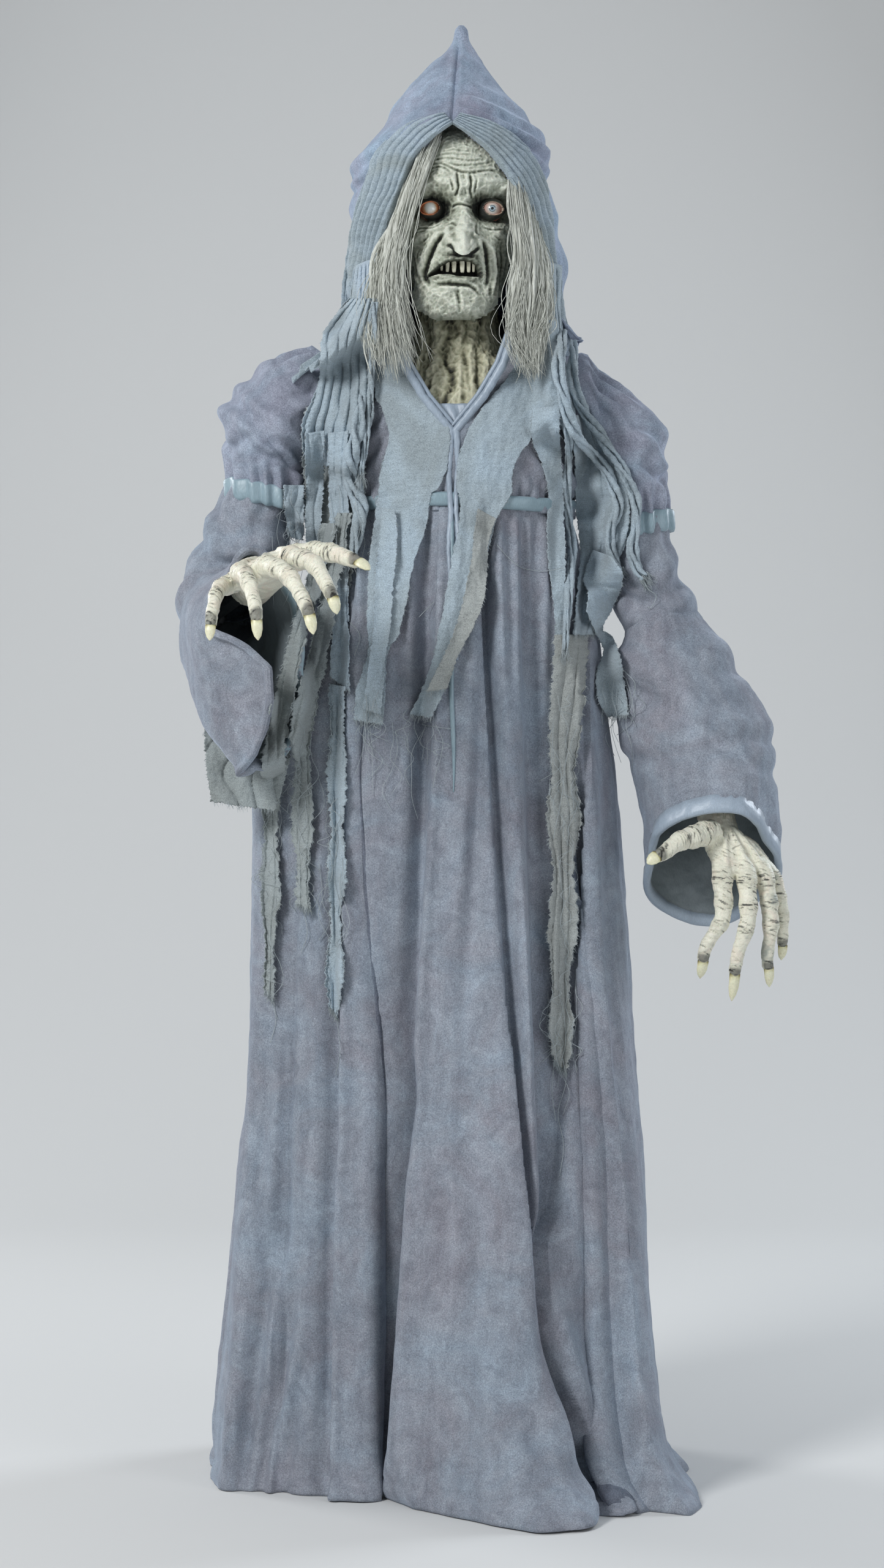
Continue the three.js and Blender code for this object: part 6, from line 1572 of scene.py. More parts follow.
def panel(name, left, right, m, n, gap=0.003, mat=None, pleats=0.0, height=0.004, wrinkle=0.0018, curl=0.0, seed=0, t=0.0011, fray=(1, 1, 1), ragged=0.9, smooth_k=4, stack=True, twist=None, depth=None):
    Lp, Rp = spline(left, m), spline(right, m)
    u = np.linspace(0, 1, n)
    s = np.linspace(0, 1, m)
    D = Lp[:, None] * (1 - u[None, :, None]) + Rp[:, None] * u[None, :, None]
    # torn edges wander a little
    S3 = np.stack([np.zeros(m), np.zeros(m), s * 0.4], -1)
    wob_l, wob_r = (ragged * (1.3 * noise(S3 + seed, 190, seed) + 1.0 * noise(S3 + seed, 620, seed + 1)) for seed in (seed + 1, seed + 7))
    D[..., 0] += wob_l[:, None] * (1 - u[None]) ** 6 + wob_r[:, None] * u[None] ** 6
    D[-8:, :, 1] += (ragged * 1.6 * noise(np.stack([u * 0.3, u * 0, u * 0], -1) + seed, 160, seed + 3))[None] * np.linspace(0, 1, 8)[:, None] ** 2
    y = ease(under(D), smooth_k) if depth is None else np.interp(s, np.linspace(0, 1, len(depth)), depth)[:, None] + np.zeros((1, n))
    P = undrawn(D[..., 0], D[..., 1], y)
    q = P.copy()
    h = wrinkle * (fbm(q * (1.0, 1, 0.34), 30, 3, seed + 10) + 0.5 * fbm(q * (1, 1, .5), 85, 3, seed + 11)) + 0.0004 * noise(q, 260, seed + 12)
    if pleats:
        ph = u[None] * pleats + 0.30 * np.sin(s * 6 + seed)[:, None] + 0.55 * fbm(q * (1, 1, .25), 18, 2, seed + 13)
        saw = ph - np.floor(ph)
        h = h + height * 1.7 * (saw**0.6) * (1 - saw) ** 0.4
    h = h + wrinkle
    h = h + curl * ((1 - u[None]) ** 5 + u[None] ** 5) * (0.6 + 0.4 * np.sin(s * 23 + seed))[:, None]
    if twist is not None:
        a = np.interp(s, np.linspace(0, 1, len(twist)), twist)
        w = np.linalg.norm(P[:, -1] - P[:, 0], axis=1)
        h = h + (np.sin(a)[:, None] * (u[None] - 0.5) * w[:, None]) * 0.9 + 0.5 * np.abs(np.sin(a))[:, None] * w[:, None] * 0.6
    P[..., 1] -= np.maximum(h, 0.0004) + gap
    o = thick(name, P, t, mat or gauze_m, side=1.0 if outward(P)[m // 2, n // 2, 1] < 0 else -1.0)
    if stack:
        pile.append(tree_of(o))
    GAUZE[name] = (o, P)
    for e, c in zip("lrb", fray):
        if c:
            fringe(P, e, int(c * (m * 0.55 if e != "b" else n * 0.9)), 0.0030 if e != "b" else 0.0055, seed + ord(e))
    return P


def rope(name, pts, width, seed, mat=None, gap=0.003, strands=5, n=150, end_fray=26, flat=0.6):
    """Gauze wrung into a loose rope: a few strands that cross as they fall, with a frayed end."""
    c = spline(pts, n)
    D = c[:, None] * np.ones((1, 3, 1))
    D[:, 0, 0] -= 3
    D[:, 2, 0] += 3
    y = ease(under(D), 4)[:, 1]
    C = undrawn(c[:, 0], c[:, 1], y)
    s = np.linspace(0, 1, n)
    w = np.interp(s, np.linspace(0, 1, len(width)), width)
    tan = norm(np.gradient(C, axis=0))
    sd = norm(np.cross(tan, np.array([0, -1.0, 0])))
    parts = []
    r = np.random.default_rng(seed)
    for j in range(strands):
        ph = TAU * j / strands + r.uniform(0, 1)
        tw = 7.5 * s + ph + 1.2 * np.sin(s * 5 + j)
        off = sd * (np.cos(tw) * w * 0.62)[:, None] + np.array([0, -1.0, 0]) * ((1.05 + np.sin(tw)) * w * flat)[:, None]
        line = C + off + np.array([0, -gap, 0])
        rad = w * (0.40 + 0.10 * np.sin(s * 31 + j * 2)) * np.interp(s, [0, .03, .95, 1], [.7, 1, 1, .55])
        v, f = tube(line, 0, 12, taper=rad)
        v = v + norm(v - np.repeat(line, 12, 0)) * (0.0009 * noise(v * (1, 1, .3), 260, seed + j) + 0.0006 * noise(v, 520, seed + 9))[:, None]
        parts.append((v, f))
    o = many(name, parts, mat or gauze_m)
    pile.append(tree_of(o))
    GAUZE[name] = (o, None)
    for i in range(end_fray):
        a = C[-1] + sd[-1] * r.uniform(-1, 1) * w[-1] + np.array([0, -gap - w[-1] * r.uniform(0.2, 1.2), 0])
        d = norm(tan[-1] + r.normal(0, .45, 3) + np.array([0, 0, -.4]))
        L = r.uniform(.006, .022)
        p = [a - tan[-1] * .004, a + d * L * .4, a + d * L * .8 + r.normal(0, .0012, 3), a + d * L + r.normal(0, .003, 3)]
        fray_parts.append(tube(np.array(p), 0, 3, taper=np.array([.0004, .00035, .00028, .0001])))
    return C


# viewer's left: flat panel beside the neck
panel("gauze_panel_right", [A2(600, -20), A2(598, 120), A2(600, 250), A2(625, 300), A2(650, 380), A2(650, 440), A2(625, 530), A2(612, 600), A2(600, 720), A2(580, 850), A2(570, 1000), A2(570, 1120), A2(574, 1240), A2(548, 1330), A2(525, 1400), A2(520, 1510)],
      [A2(655, -20), A2(700, 110), A2(760, 215), A2(835, 310), (572, 545), (575, 560), (571, 592), (562, 619), (549, 634), (544, 672), (528, 718), (518, 770), (508, 810), (494, 832), (492, 882), (488, 925)],
      250, 56, gap=0.0028, wrinkle=0.0026, curl=0.0015, seed=300, smooth_k=5)
panel("gauze_panel_right_fold", [(486, 648), (484, 690), (478, 740), (476, 800), (470, 850), (462, 905)], [(504, 650), (507, 690), (502, 745), (498, 800), (492, 840), (486, 912)], 130, 26, gap=0.0014, wrinkle=0.0036, curl=0.003, seed=310)
# loose under layer between the arm and the body
panel("gauze_under_right", [A2(330, 300), A2(318, 450), A2(330, 620), A2(340, 800), A2(380, 1000)], [A2(560, 300), A2(556, 450), A2(560, 620), A2(540, 800), A2(500, 1000)], 120, 80, gap=0.0015, pleats=6.0, height=0.006, wrinkle=0.003, seed=315, mat=gauze_grey, ragged=2.0)
# gathered gauze on the chest that tears into strips
panel("gauze_bunch_right", [A2(500, -120), A2(440, -50), A2(398, 20), A2(386, 110), A2(383, 190), A2(350, 290), A2(324, 345), A2(316, 400), A2(324, 470), A2(330, 520)],
      [A2(606, -120), A2(604, -50), A2(600, 10), A2(598, 60), A2(594, 200), A2(585, 300), A2(572, 380), A2(560, 450), A2(552, 500), A2(548, 540)], 130, 100, gap=0.004, pleats=6.5, height=0.0085, wrinkle=0.0024, seed=320, fray=(1, 0.4, 0))
panel("gauze_strip_a", [A2(330, 400), A2(330, 500), A2(333, 620), A2(330, 740), A2(334, 850)], [A2(404, 390), A2(402, 480), A2(400, 620), A2(392, 740), A2(390, 860)], 110, 26, gap=0.003, wrinkle=0.0022, curl=0.004, pleats=1.4, height=0.004, seed=330)
panel("gauze_strip_b", [A2(418, 400), A2(420, 520), A2(420, 640), A2(424, 760), A2(430, 900), A2(440, 1050), A2(432, 1230), A2(424, 1340)], [A2(494, 390), A2(492, 520), A2(496, 640), A2(500, 760), A2(496, 900), A2(494, 1050), A2(500, 1230), A2(498, 1400)], 230, 30, gap=0.003, pleats=2.3, height=0.005, curl=0.003, seed=340)
fray_parts = fray_sets["arm_right"]
panel("gauze_strip_e", [A2(246, 600), A2(250, 700), A2(266, 800)], [A2(326, 600), A2(324, 700), A2(322, 815)], 60, 24, gap=0.003, pleats=2.0, height=0.004, seed=350)
fray_parts = fray_sets["stand"]
rope("gauze_rope_right", [A2(548, 250), A2(530, 400), A2(508, 500), A2(518, 600), A2(545, 700), A2(532, 790), A2(516, 872)], [.005, .009, .010, .0105, .0105, .009, .006], 360, strands=6)
rope("gauze_rope_right_edge", [A2(600, -110), A2(596, -20), A2(592, 120), A2(585, 280), A2(568, 420), A2(546, 560)], [.004, .005, .005, .0045, .003], 361, strands=4)
# long torn strips below the hand
panel("gauze_strip_f", [(420, 872), (423, 930), (417, 990), (423, 1050), (418, 1110), (422, 1180), (416, 1235), (421, 1282)], [(441, 876), (438, 930), (442, 990), (437, 1050), (441, 1110), (434, 1180), (438, 1235), (431, 1298)], 260, 26, gap=0.003, pleats=2.4, height=0.005, wrinkle=0.003, curl=0.004, seed=370, ragged=1.9, fray=(4, 4, 7))
panel("gauze_strip_g", [(430, 655), (414, 740), (394, 835), (372, 925), (378, 980), (372, 1040), (379, 1100), (376, 1150)], [(448, 655), (434, 740), (418, 835), (400, 922), (395, 980), (401, 1040), (394, 1100), (396, 1162)], 280, 26, gap=0.003, pleats=2.2, height=0.005, wrinkle=0.003, curl=0.004, seed=380, ragged=2.0, fray=(4, 4, 7), mat=gauze_grey)
panel("gauze_strip_h", [(412, 668), (392, 740), (368, 820), (346, 910), (333, 1004), (338, 1060), (333, 1130), (339, 1200), (337, 1262)], [(430, 668), (412, 740), (390, 820), (370, 910), (360, 1000), (354, 1060), (358, 1130), (350, 1200), (351, 1276)], 330, 26, gap=0.003, pleats=2.0, height=0.005, wrinkle=0.003, curl=0.004, seed=390, ragged=2.0, fray=(4, 4, 7), mat=gauze_grey)
# flap that hangs from behind the wide sleeve, beige on the figure, made here in the grey gauze
fray_parts = fray_sets["flap"]
panel("gauze_flap_right", [(262, 925), (263, 970), (270, 1022)], [(372, 925), (368, 975), (352, 1034)], 70, 70, gap=0.0, pleats=3.2, height=0.009, wrinkle=0.004, seed=400, mat=gauze_grey, depth=[-0.088, -0.100, -0.106], stack=False)

fray_parts = fray_sets["stand"]

# viewer's right: wide panel beside the neck and its two legs
panel("gauze_panel_left", [A3(345, -40), A3(340, 115), A3(296, 195), A3(190, 325), A3(136, 430), A3(110, 520), A3(107, 610), A3(120, 660), A3(118, 760), A3(86, 900), A3(60, 1060), A3(20, 1250), A3(-30, 1400), A3(-75, 1490)],
      [A3(500, -40), A3(505, 110), A3(508, 290), A3(400, 420), A3(345, 500), A3(326, 560), A3(318, 640), A3(266, 722), A3(226, 880), A3(204, 1060), A3(150, 1170), A3(96, 1300), A3(60, 1400), A3(10, 1500)],
      260, 64, gap=0.0028, wrinkle=0.0028, curl=0.0018, seed=410, smooth_k=5)
panel("gauze_panel_left_fold", [A3(190, 690), A3(176, 800), A3(160, 930), A3(130, 1060), A3(96, 1180), A3(40, 1300), A3(-6, 1400)], [A3(262, 730), A3(232, 820), A3(228, 930), A3(212, 1050), A3(176, 1140), A3(110, 1270), A3(70, 1390)], 150, 28, gap=0.0014, wrinkle=0.004, curl=0.004, seed=420, mat=gauze_beige)
panel("gauze_leg_left", [A3(400, 300), A3(400, 425), A3(440, 520), A3(465, 620), A3(459, 720), A3(464, 900), A3(480, 1010), A3(490, 1150), A3(488, 1280)], [A3(508, 295), A3(510, 420), A3(516, 520), A3(522, 620), A3(526, 740), A3(530, 880), A3(530, 1010), A3(536, 1150), A3(540, 1280)], 190, 34, gap=0.0030, wrinkle=0.0020, curl=0.0014, seed=430)
panel("gauze_long_left", [A3(488, 1180), (700, 930), (703, 985), (697, 1045), (705, 1110), (699, 1180), (704, 1250), (699, 1310), (706, 1352)], [A3(620, 1180), (741, 930), (733, 985), (740, 1045), (732, 1110), (737, 1180), (726, 1250), (731, 1310), (724, 1368)], 300, 38, gap=0.003, pleats=2.8, height=0.006, wrinkle=0.003, curl=0.004, seed=440, mat=gauze_beige, ragged=2.0, fray=(4, 4, 7))
panel("gauze_flat_left", [A3(560, 330), A3(566, 500), A3(572, 700), A3(588, 850), A3(575, 1000), A3(560, 1180)], [A3(630, 330), A3(720, 500), A3(775, 640), A3(770, 800), A3(720, 930), A3(640, 1180)], 150, 60, gap=0.003, pleats=3.4, height=0.004, wrinkle=0.002, seed=450)
rope("gauze_rope_left_in", [A3(505, 60), A3(520, 280), A3(544, 450), A3(536, 620), A3(556, 850), A3(542, 1050), A3(528, 1240)], [.004, .0055, .006, .006, .006, .006, .004], 460, strands=5)
fray_parts = fray_sets["rope_left"]
rope("gauze_rope_left_mid", [A3(520, 0), A3(505, 190), A3(560, 380), A3(640, 480), A3(700, 570), A3(735, 680), A3(712, 760), A3(706, 850), A3(742, 935)], [.006, .008, .008, .0075, .0075, .0075, .007, .0065, .006], 470, strands=6)
rope("gauze_rope_left_out", [A3(560, 40), A3(560, 200), A3(600, 310), A3(680, 430), A3(750, 540), A3(798, 650), A3(808, 760), A3(790, 850), A3(812, 930), A3(838, 958)], [.006, .008, .008, .0075, .0075, .0075, .007, .0065, .008, .007], 480, strands=6, end_fray=44)
fray_parts = fray_sets["curl"]
panel("gauze_curl_left", [A3(636, 850), A3(600, 960), A3(616, 1020), A3(612, 1090), A3(645, 1170), A3(678, 1240), A3(652, 1320), A3(656, 1430), A3(692, 1500)],
      [A3(712, 880), A3(748, 960), A3(735, 1030), A3(694, 1110), A3(676, 1160), A3(716, 1200), A3(744, 1290), A3(764, 1400), A3(772, 1490)], 170, 26, gap=0.004, wrinkle=0.002, seed=490, twist=[0.2, 0.9, -0.6, -1.1, 0.4, 1.1, 0.2, -0.3, 0.1], fray=(1, 1, 3))

# long loose threads
fray_parts = fray_sets["stand"]
THREADS = [[A3(265, 830), A3(310, 880), A3(360, 918), A3(440, 932), A3(525, 920)], [A3(830, 950), A3(850, 1000), A3(882, 1030), A3(862, 1075), A3(850, 1068)], [A3(760, 1320), A3(800, 1370), A3(790, 1440), A3(800, 1500)],
           [(718, 1350), (722, 1380), (712, 1420), (719, 1460), (714, 1500)], [(708, 1352), (704, 1390), (709, 1430)], [A2(770, 1110), A2(800, 1080), A2(830, 1050)], [A2(500, 1130), A2(540, 1180), A2(520, 1260)],
           [A2(540, 760), A2(560, 820), A2(548, 880)], [(430, 1300), (434, 1340), (428, 1372)], [(347, 1272), (352, 1300), (345, 1330)], [(386, 1156), (392, 1190), (384, 1215)]]
_r = np.random.default_rng(77)
for _x0, _x1, _y0, _y1, _c in [(372, 446, 880, 1130, 30), (334, 362, 1010, 1240, 12), (697, 742, 880, 1330, 34), (330, 460, 600, 700, 14), (452, 496, 880, 915, 10), (500, 562, 900, 950, 12), (756, 810, 860, 900, 10)]:
    for _i in range(_c):
        _x, _y, _L = _r.uniform(_x0, _x1), _r.uniform(_y0, _y1), _r.uniform(25, 120)
        THREADS.append([(_x + (_r.normal(0, 3.2) if j else 0) * (1 + j * 0.5), _y + _L * j / 4) for j in range(5)])
for k, pts in enumerate(THREADS):
    c = spline(pts, 40)
    y = under(c[:, None] * np.ones((1, 2, 1)))[:, 0]
    p = undrawn(c[:, 0], c[:, 1], np.minimum(y, np.convolve(np.pad(y, 3, mode="edge"), np.ones(7) / 7, "valid")) - 0.0030)
    p[:, 1] -= 0.004 * np.sin(np.linspace(0, math.pi, 40)) * (k % 3)
    fray_parts.append(tube(p, 0, 4, taper=np.full(40, 0.00042 if k < 12 else 0.00032)))
fray = {k: many("gauze_threads_" + k, v, thread_m) for k, v in fray_sets.items()}

# ------------------------------------------------------------------ hands: cast latex with hatched wrinkles and long nails
HANDS = {
    "right": dict(
        elbow=(-305, -10, 1085), wrist=(-215, -260, 1125), knuckle=(-231, -333, 1116), across=(42, -9, 18), thick=14, wa=(0.929, 0.335, 0.02), dorsal=(0.05, -0.55, 0.83),
        fingers=[
            ([[-190, -318, 1132], [-193, -340, 1133], [-165, -385, 1122], [-148, -410, 1095], [-141, -417, 1080], [-136, -420, 1062]], [12, 12.5, 10.5, 8.5, 7.5, 2]),
            ([[-216, -318, 1122], [-220, -345, 1122], [-195, -395, 1110], [-175, -425, 1080], [-167, -434, 1060], [-162, -440, 1038]], [12, 12.5, 10.5, 8.5, 7.5, 2]),
            ([[-243, -318, 1114], [-251, -340, 1114], [-240, -390, 1105], [-230, -420, 1075], [-227, -427, 1055], [-225, -430, 1032]], [12, 12, 10, 8, 7, 2]),
            ([[-258, -308, 1104], [-267, -325, 1101], [-275, -365, 1092], [-280, -390, 1065], [-281, -396, 1050], [-282, -400, 1033]], [11, 11, 9, 7.5, 6.5, 2]),
            ([[-205, -285, 1128], [-186, -298, 1136], [-155, -318, 1140], [-126, -345, 1131], [-114, -353, 1125], [-100, -361, 1116]], [15, 15, 12, 9.5, 8, 2.5]),
        ]),
    "left": dict(
        elbow=(270, 0, 1060), wrist=(325, -90, 820), knuckle=(358, -119, 762), across=(39, 22, 0), thick=14, wa=(0.86, 0.5, 0), dorsal=(0.45, -0.87, 0.15),
        fingers=[
            ([[325, -128, 775], [326, -140, 753], [325, -150, 706], [307, -147, 675], [302, -140, 655], [299, -132, 632]], [12, 12.5, 10.5, 8.5, 7.5, 2]),
            ([[350, -122, 775], [356, -135, 755], [356, -150, 703], [345, -146, 665], [341, -138, 640], [338, -130, 604]], [12, 12.5, 10.5, 8.5, 7.5, 2]),
            ([[368, -112, 775], [379, -120, 757], [386, -132, 700], [383, -126, 665], [384, -118, 645], [386, -112, 620]], [11.5, 12, 10, 8, 7, 2]),
            ([[380, -98, 770], [392, -100, 752], [402, -106, 715], [404, -100, 685], [404, -94, 670], [403, -90, 652]], [10.5, 11, 9, 7.5, 6.5, 2]),
            ([[318, -116, 812], [296, -138, 806], [273, -158, 800], [252, -170, 786], [243, -175, 781], [231, -180, 773]], [15, 15, 12, 9.5, 8, 2.5]),
        ]),
}


def oval_tube(centres, A, B, n=28):
    a = np.linspace(0, TAU, n, endpoint=False)
    v = np.array(centres)[:, None] + np.array(A)[:, None] * np.cos(a)[None, :, None] + np.array(B)[:, None] * np.sin(a)[None, :, None]
    f = grid_faces(len(centres), n, wrap=True).tolist()
    f.append(list(range(n))[::-1])
    f.append(list(range((len(centres) - 1) * n, len(centres) * n)))
    return v.reshape(-1, 3), f


def finger_line(pts, rad, flesh=True, n=90):
    """Centre line and radius of a finger's flesh, with knuckles that swell and a rounded end."""
    p = np.array(pts, float) / 1000
    r = np.array(rad, float) / 1000
    tip = p[4] + (p[5] - p[4]) * 0.22
    p = np.vstack([p[:5], tip])
    s = np.concatenate([[0], np.cumsum(np.linalg.norm(np.diff(p, axis=0), axis=1))])
    line = spline([tuple(q) for q in p], n)
    ls = np.concatenate([[0], np.cumsum(np.linalg.norm(np.diff(line, axis=0), axis=1))])
    L = ls[-1]
    knots = [np.interp(k / 5, np.linspace(0, 1, n), ls) for k in range(6)]
    rr = np.interp(ls, s * L / s[-1], [r[0], r[1], r[2], r[3], r[4], r[4] * 0.92])
    for k in (1, 2, 3):
        rr = rr * (1 + 0.10 * gauss(ls - knots[k], 0.0075))
    for k in (1.5, 2.5, 3.5):
        rr = rr * (1 - 0.07 * gauss(ls - (knots[int(k)] + knots[int(k) + 1]) / 2, 0.009))
    end = np.clip((L - ls) / (r[4] * 1.05), 0, 1)
    rr = rr * np.sqrt(np.clip(1 - (1 - end) ** 2, 0.02, 1))
    return line, rr, ls, knots


hand_obj, nail_obj = {}, {}
for tag, H in HANDS.items():
    W, E, K = (np.array(H[k], float) / 1000 for k in ("wrist", "elbow", "knuckle"))
    f = norm(W - E)
    acr = np.array(H["across"], float) / 1000
    th = H["thick"] / 1000
    nrm = norm(np.cross(K - W, acr))
    if nrm @ np.array(H["dorsal"]) < 0:
        nrm = -nrm
    wa = norm(np.array(H["wa"], float))
    wn = np.cross(f, wa)
    s0 = W + f * 0.001
    back = 0.105 if tag == "right" else 0.060
    ctr = [s0 - f * back, s0 - f * back * 0.5, s0, s0 + f * 0.014, s0 + (K - s0) * 0.45, K, K + norm(K - W) * 0.008]
    A = [wa * 0.0285, wa * 0.0255, wa * 0.024, wa * 0.025, acr * 0.86, acr, acr * 0.86]
    B = [wn * 0.0255, wn * 0.0215, wn * 0.0195, wn * 0.019, nrm * (th + 0.003), nrm * th, nrm * th * 0.6]
    B = [b if b @ nrm > 0 else -b for b in B]
    t = np.linspace(0, 1, 70)
    kt = np.array([0, .25, .5, .56, .72, .94, 1.0])
    C3 = [np.stack([np.interp(t, kt, np.array(q)[:, i]) for i in range(3)], 1) for q in (ctr, A, B)]
    parts = [oval_tube(*C3)]
    lines = []
    for pts, rad in H["fingers"]:
        line, rr, ls, knots = finger_line(pts, rad)
        parts.append(tube(line, 0, 20, taper=rr))
        lines.append((line, rr, ls, knots))
    # tendons from the wrist to each knuckle, and flesh at the root of the thumb
    for i, (line, rr, ls, knots) in enumerate(lines[:4]):
        a = W + (line[0] - W) * 0.25 + nrm * (th + 0.0005)
        b = line[16] + nrm * (rr[16] - 0.0042)
        c = (a + b) / 2 + nrm * 0.0022
        parts.append(tube(spline([tuple(a), tuple(c), tuple(b)], 24), 0, 10, taper=np.interp(np.linspace(0, 1, 24), [0, .3, .8, 1], [.002, .0040, .0048, .003])))
    tl = lines[4][0]
    parts.append(tube(spline([tuple(W + (K - W) * 0.15), tuple((tl[0] + K) / 2), tuple(lines[0][0][8])], 24), 0, 14, taper=np.full(24, 0.011)))
    rough = many("hand_rough_" + tag, parts, hand_m)
    mod = rough.modifiers.new("join", "REMESH")
    mod.mode, mod.voxel_size = "VOXEL", 0.00125
    sm = rough.modifiers.new("ease", "SMOOTH")
    sm.factor, sm.iterations = 0.5, 9
    dg = bpy.context.evaluated_depsgraph_get()
    me = bpy.data.meshes.new_from_object(rough.evaluated_get(dg))
    bpy.data.objects.remove(rough)
    me.name = "hand_skin_" + tag
    me.shade_smooth()
    o = bpy.data.objects.new("hand_skin_" + tag, me)
    scene.collection.objects.link(o)
    me.materials.clear()
    me.materials.append(hand_m)
    v = np.empty(len(me.vertices) * 3)
    me.vertices.foreach_get("co", v)
    v = v.reshape(-1, 3)
    nv = np.empty(len(me.vertices) * 3)
    me.vertices.foreach_get("normal", nv)
    nv = nv.reshape(-1, 3)
    best = np.full(len(v), 1e9)
    along_f, which, rad_at, vec = np.zeros(len(v)), np.zeros(len(v), int), np.ones(len(v)), np.zeros((len(v), 3))
    for i, (line, rr, ls, knots) in enumerate(lines):
        for k in range(0, len(line), 2):
            d = np.linalg.norm(v - line[k], axis=1)
            q = d - rr[k]
            m = q < best
            best[m], along_f[m], which[m], rad_at[m] = q[m], ls[k], i, rr[k]
            vec[m] = (v - line[k])[m]
    pal = sstep(0.0035, 0.0075, best)
    tang = np.array([norm(l[0][60] - l[0][20]) for l in lines])[which]
    # position along the finger with sub-step accuracy
    s_al = along_f + (vec * tang).sum(1)
    dors = norm(nrm * 0.55 + np.array([0, -0.8, 0.25]))
    up = np.clip((nv * dors).sum(1), -1, 1)
    # creases: short strokes across the fingers, longer and crossing ones on the back of the hand
    side = np.cross(tang, dors)
    cu = (v * side).sum(1)
    h1 = noise(np.stack([s_al * 1.0, cu * 0.16, which * 0.11 + 0 * cu], -1), 620, 201)
    h2 = noise(np.stack([s_al * 1.0 + cu * 0.5, cu * 0.22, which * 0.07 + 0 * cu], -1), 480, 202)
    h3 = noise(np.stack([(s_al - cu * 0.8) * 1.0, (cu + s_al) * 0.18, 0 * cu], -1), 440, 203)
    gate = sstep(-0.35, 0.35, noise(v, 95, 204))
    lines_k = np.array([[l[3][1], l[3][2], l[3][3]] for l in lines])[which]
    kn = sum(gauss(s_al - lines_k[:, j], w) for j, w in ((0, .009), (1, .0065), (2, .0055)))
    stroke = sstep(0.34, 0.62, h1) * (0.35 + 0.65 * kn) + 0.8 * sstep(0.40, 0.66, h2) * (0.4 + 0.6 * gate)
    cross = 0.75 * sstep(0.42, 0.66, h3) * gate + 0.6 * sstep(0.44, 0.68, h2)
    ink = np.clip((stroke * (1 - pal) + cross * pal) * sstep(-0.45, 0.15, up), 0, 1)
    nail_base = np.array([l[2][-1] for l in lines])[which]
    near_nail = sstep(0.0175, 0.009, nail_base - s_al) * (1 - pal) * sstep(-0.1, 0.3, up)
    puffy = 0.00055 * kn * np.cos((s_al) * 1900) * sstep(0, .5, up) * (1 - pal)
    d = -0.00042 * ink + puffy + 0.0009 * fbm(v, 70, 3, 206) + 0.0004 * noise(v, 320, 207)
    v2 = v + nv * d[:, None]
    me.vertices.foreach_set("co", v2.reshape(-1))
    me.update()
    # the last term paints shade: skin that faces away from the front and the top is a little darker
    cav = 0.80 + 0.10 * fbm(v, 60, 3, 210) - 0.62 * ink - 0.24 * kn * sstep(.1, .7, up) * (0.6 + 0.4 * noise(v, 130, 211)) - 0.55 * near_nail - 0.10 * sstep(0.2, -0.6, up)
    cav = np.clip(cav, 0.02, 1)
    pinkish = np.clip(0.5 * gauss(noise(v, 45, 212) - 0.5, 0.25) + 0.15, 0, 1)[:, None]
    tint = np.concatenate([np.ones((len(v), 3)) * (1 - pinkish * np.array([[0.0, 0.10, 0.10]])), np.ones((len(v), 1))], 1)
    attributes(o, cav, tint)
    hand_obj[tag] = o
    # nails
    nparts, ncav = [], []
    for i, (pts, rad) in enumerate(H["fingers"]):
        line, rr, ls, knots = lines[i]
        p4, p5 = np.array(pts[4], float) / 1000, np.array(pts[5], float) / 1000
        tn = norm(p5 - p4)
        dr = norm(np.array(H["dorsal"], float) * 0.5 + np.array([0, -0.85, 0.2]))
        if i == 4:
            dr = norm(np.array([0.1, -0.75, 0.65])) if tag == "right" else norm(np.array([-0.1, -0.95, 0.25]))
        dn = norm(dr - tn * (dr @ tn))
        sd = np.cross(tn, dn)
        root = p4 - tn * 0.003 + dn * rr[-12] * 0.62
        tip = p5 + dn * 0.0015
        m, n = 30, 18
        g = np.linspace(0, 1, m)
        wid = rr[-14] * 0.86 * np.interp(g, [0, .12, .55, .82, 1], [.74, 1, .92, .62, .10])
        C = root[None] * (1 - g[:, None]) + tip[None] * g[:, None] + dn[None] * (0.0026 * np.sin(g * math.pi))[:, None]
        u = np.linspace(-1, 1, n)
        Q = C[:, None] + sd * (u[None, :, None] * wid[:, None, None]) - dn * ((u**2)[None, :, None] * wid[:, None, None] * 0.42)
        B2 = C[:, None] + sd * (u[None, :, None] * wid[:, None, None] * 0.94) - dn * ((u**2)[None, :, None] * wid[:, None, None] * 0.42) - dn * (0.0011 + 0.0030 * (1 - (u**2)[None, :, None]) * (1 - g[:, None, None]))
        vv = np.vstack([Q.reshape(-1, 3), B2.reshape(-1, 3)])
        ff = grid_faces(m, n).tolist() + grid_faces(m, n, flip=True, base=m * n).tolist()
        for row in (0, m - 1):
            for c in range(n - 1):
                a, b = row * n + c, row * n + c + 1
                ff.append([a, m * n + a, m * n + b, b] if row == 0 else [b, m * n + b, m * n + a, a])
        for col in (0, n - 1):
            for k in range(m - 1):
                a, b = k * n + col, (k + 1) * n + col
                ff.append([b, m * n + b, m * n + a, a] if col == 0 else [a, m * n + a, m * n + b, b])
        nparts.append((vv, ff))
        gg = np.repeat(g[:, None], n, 1)
        paint = 0.10 + 0.72 * sstep(0.02, 0.40, gg + 0.05 * np.cos(u * 2.0)[None]) + 0.05 * noise(Q * (1, 1, .2), 900, 230 + i) - 0.12 * (u**4)[None]
        ncav += [paint.reshape(-1), paint.reshape(-1) * 0.8]
    nail_obj[tag] = many("nails_" + tag, nparts, nail_m)
    attributes(nail_obj[tag], np.clip(np.concatenate(ncav), 0.02, 1))

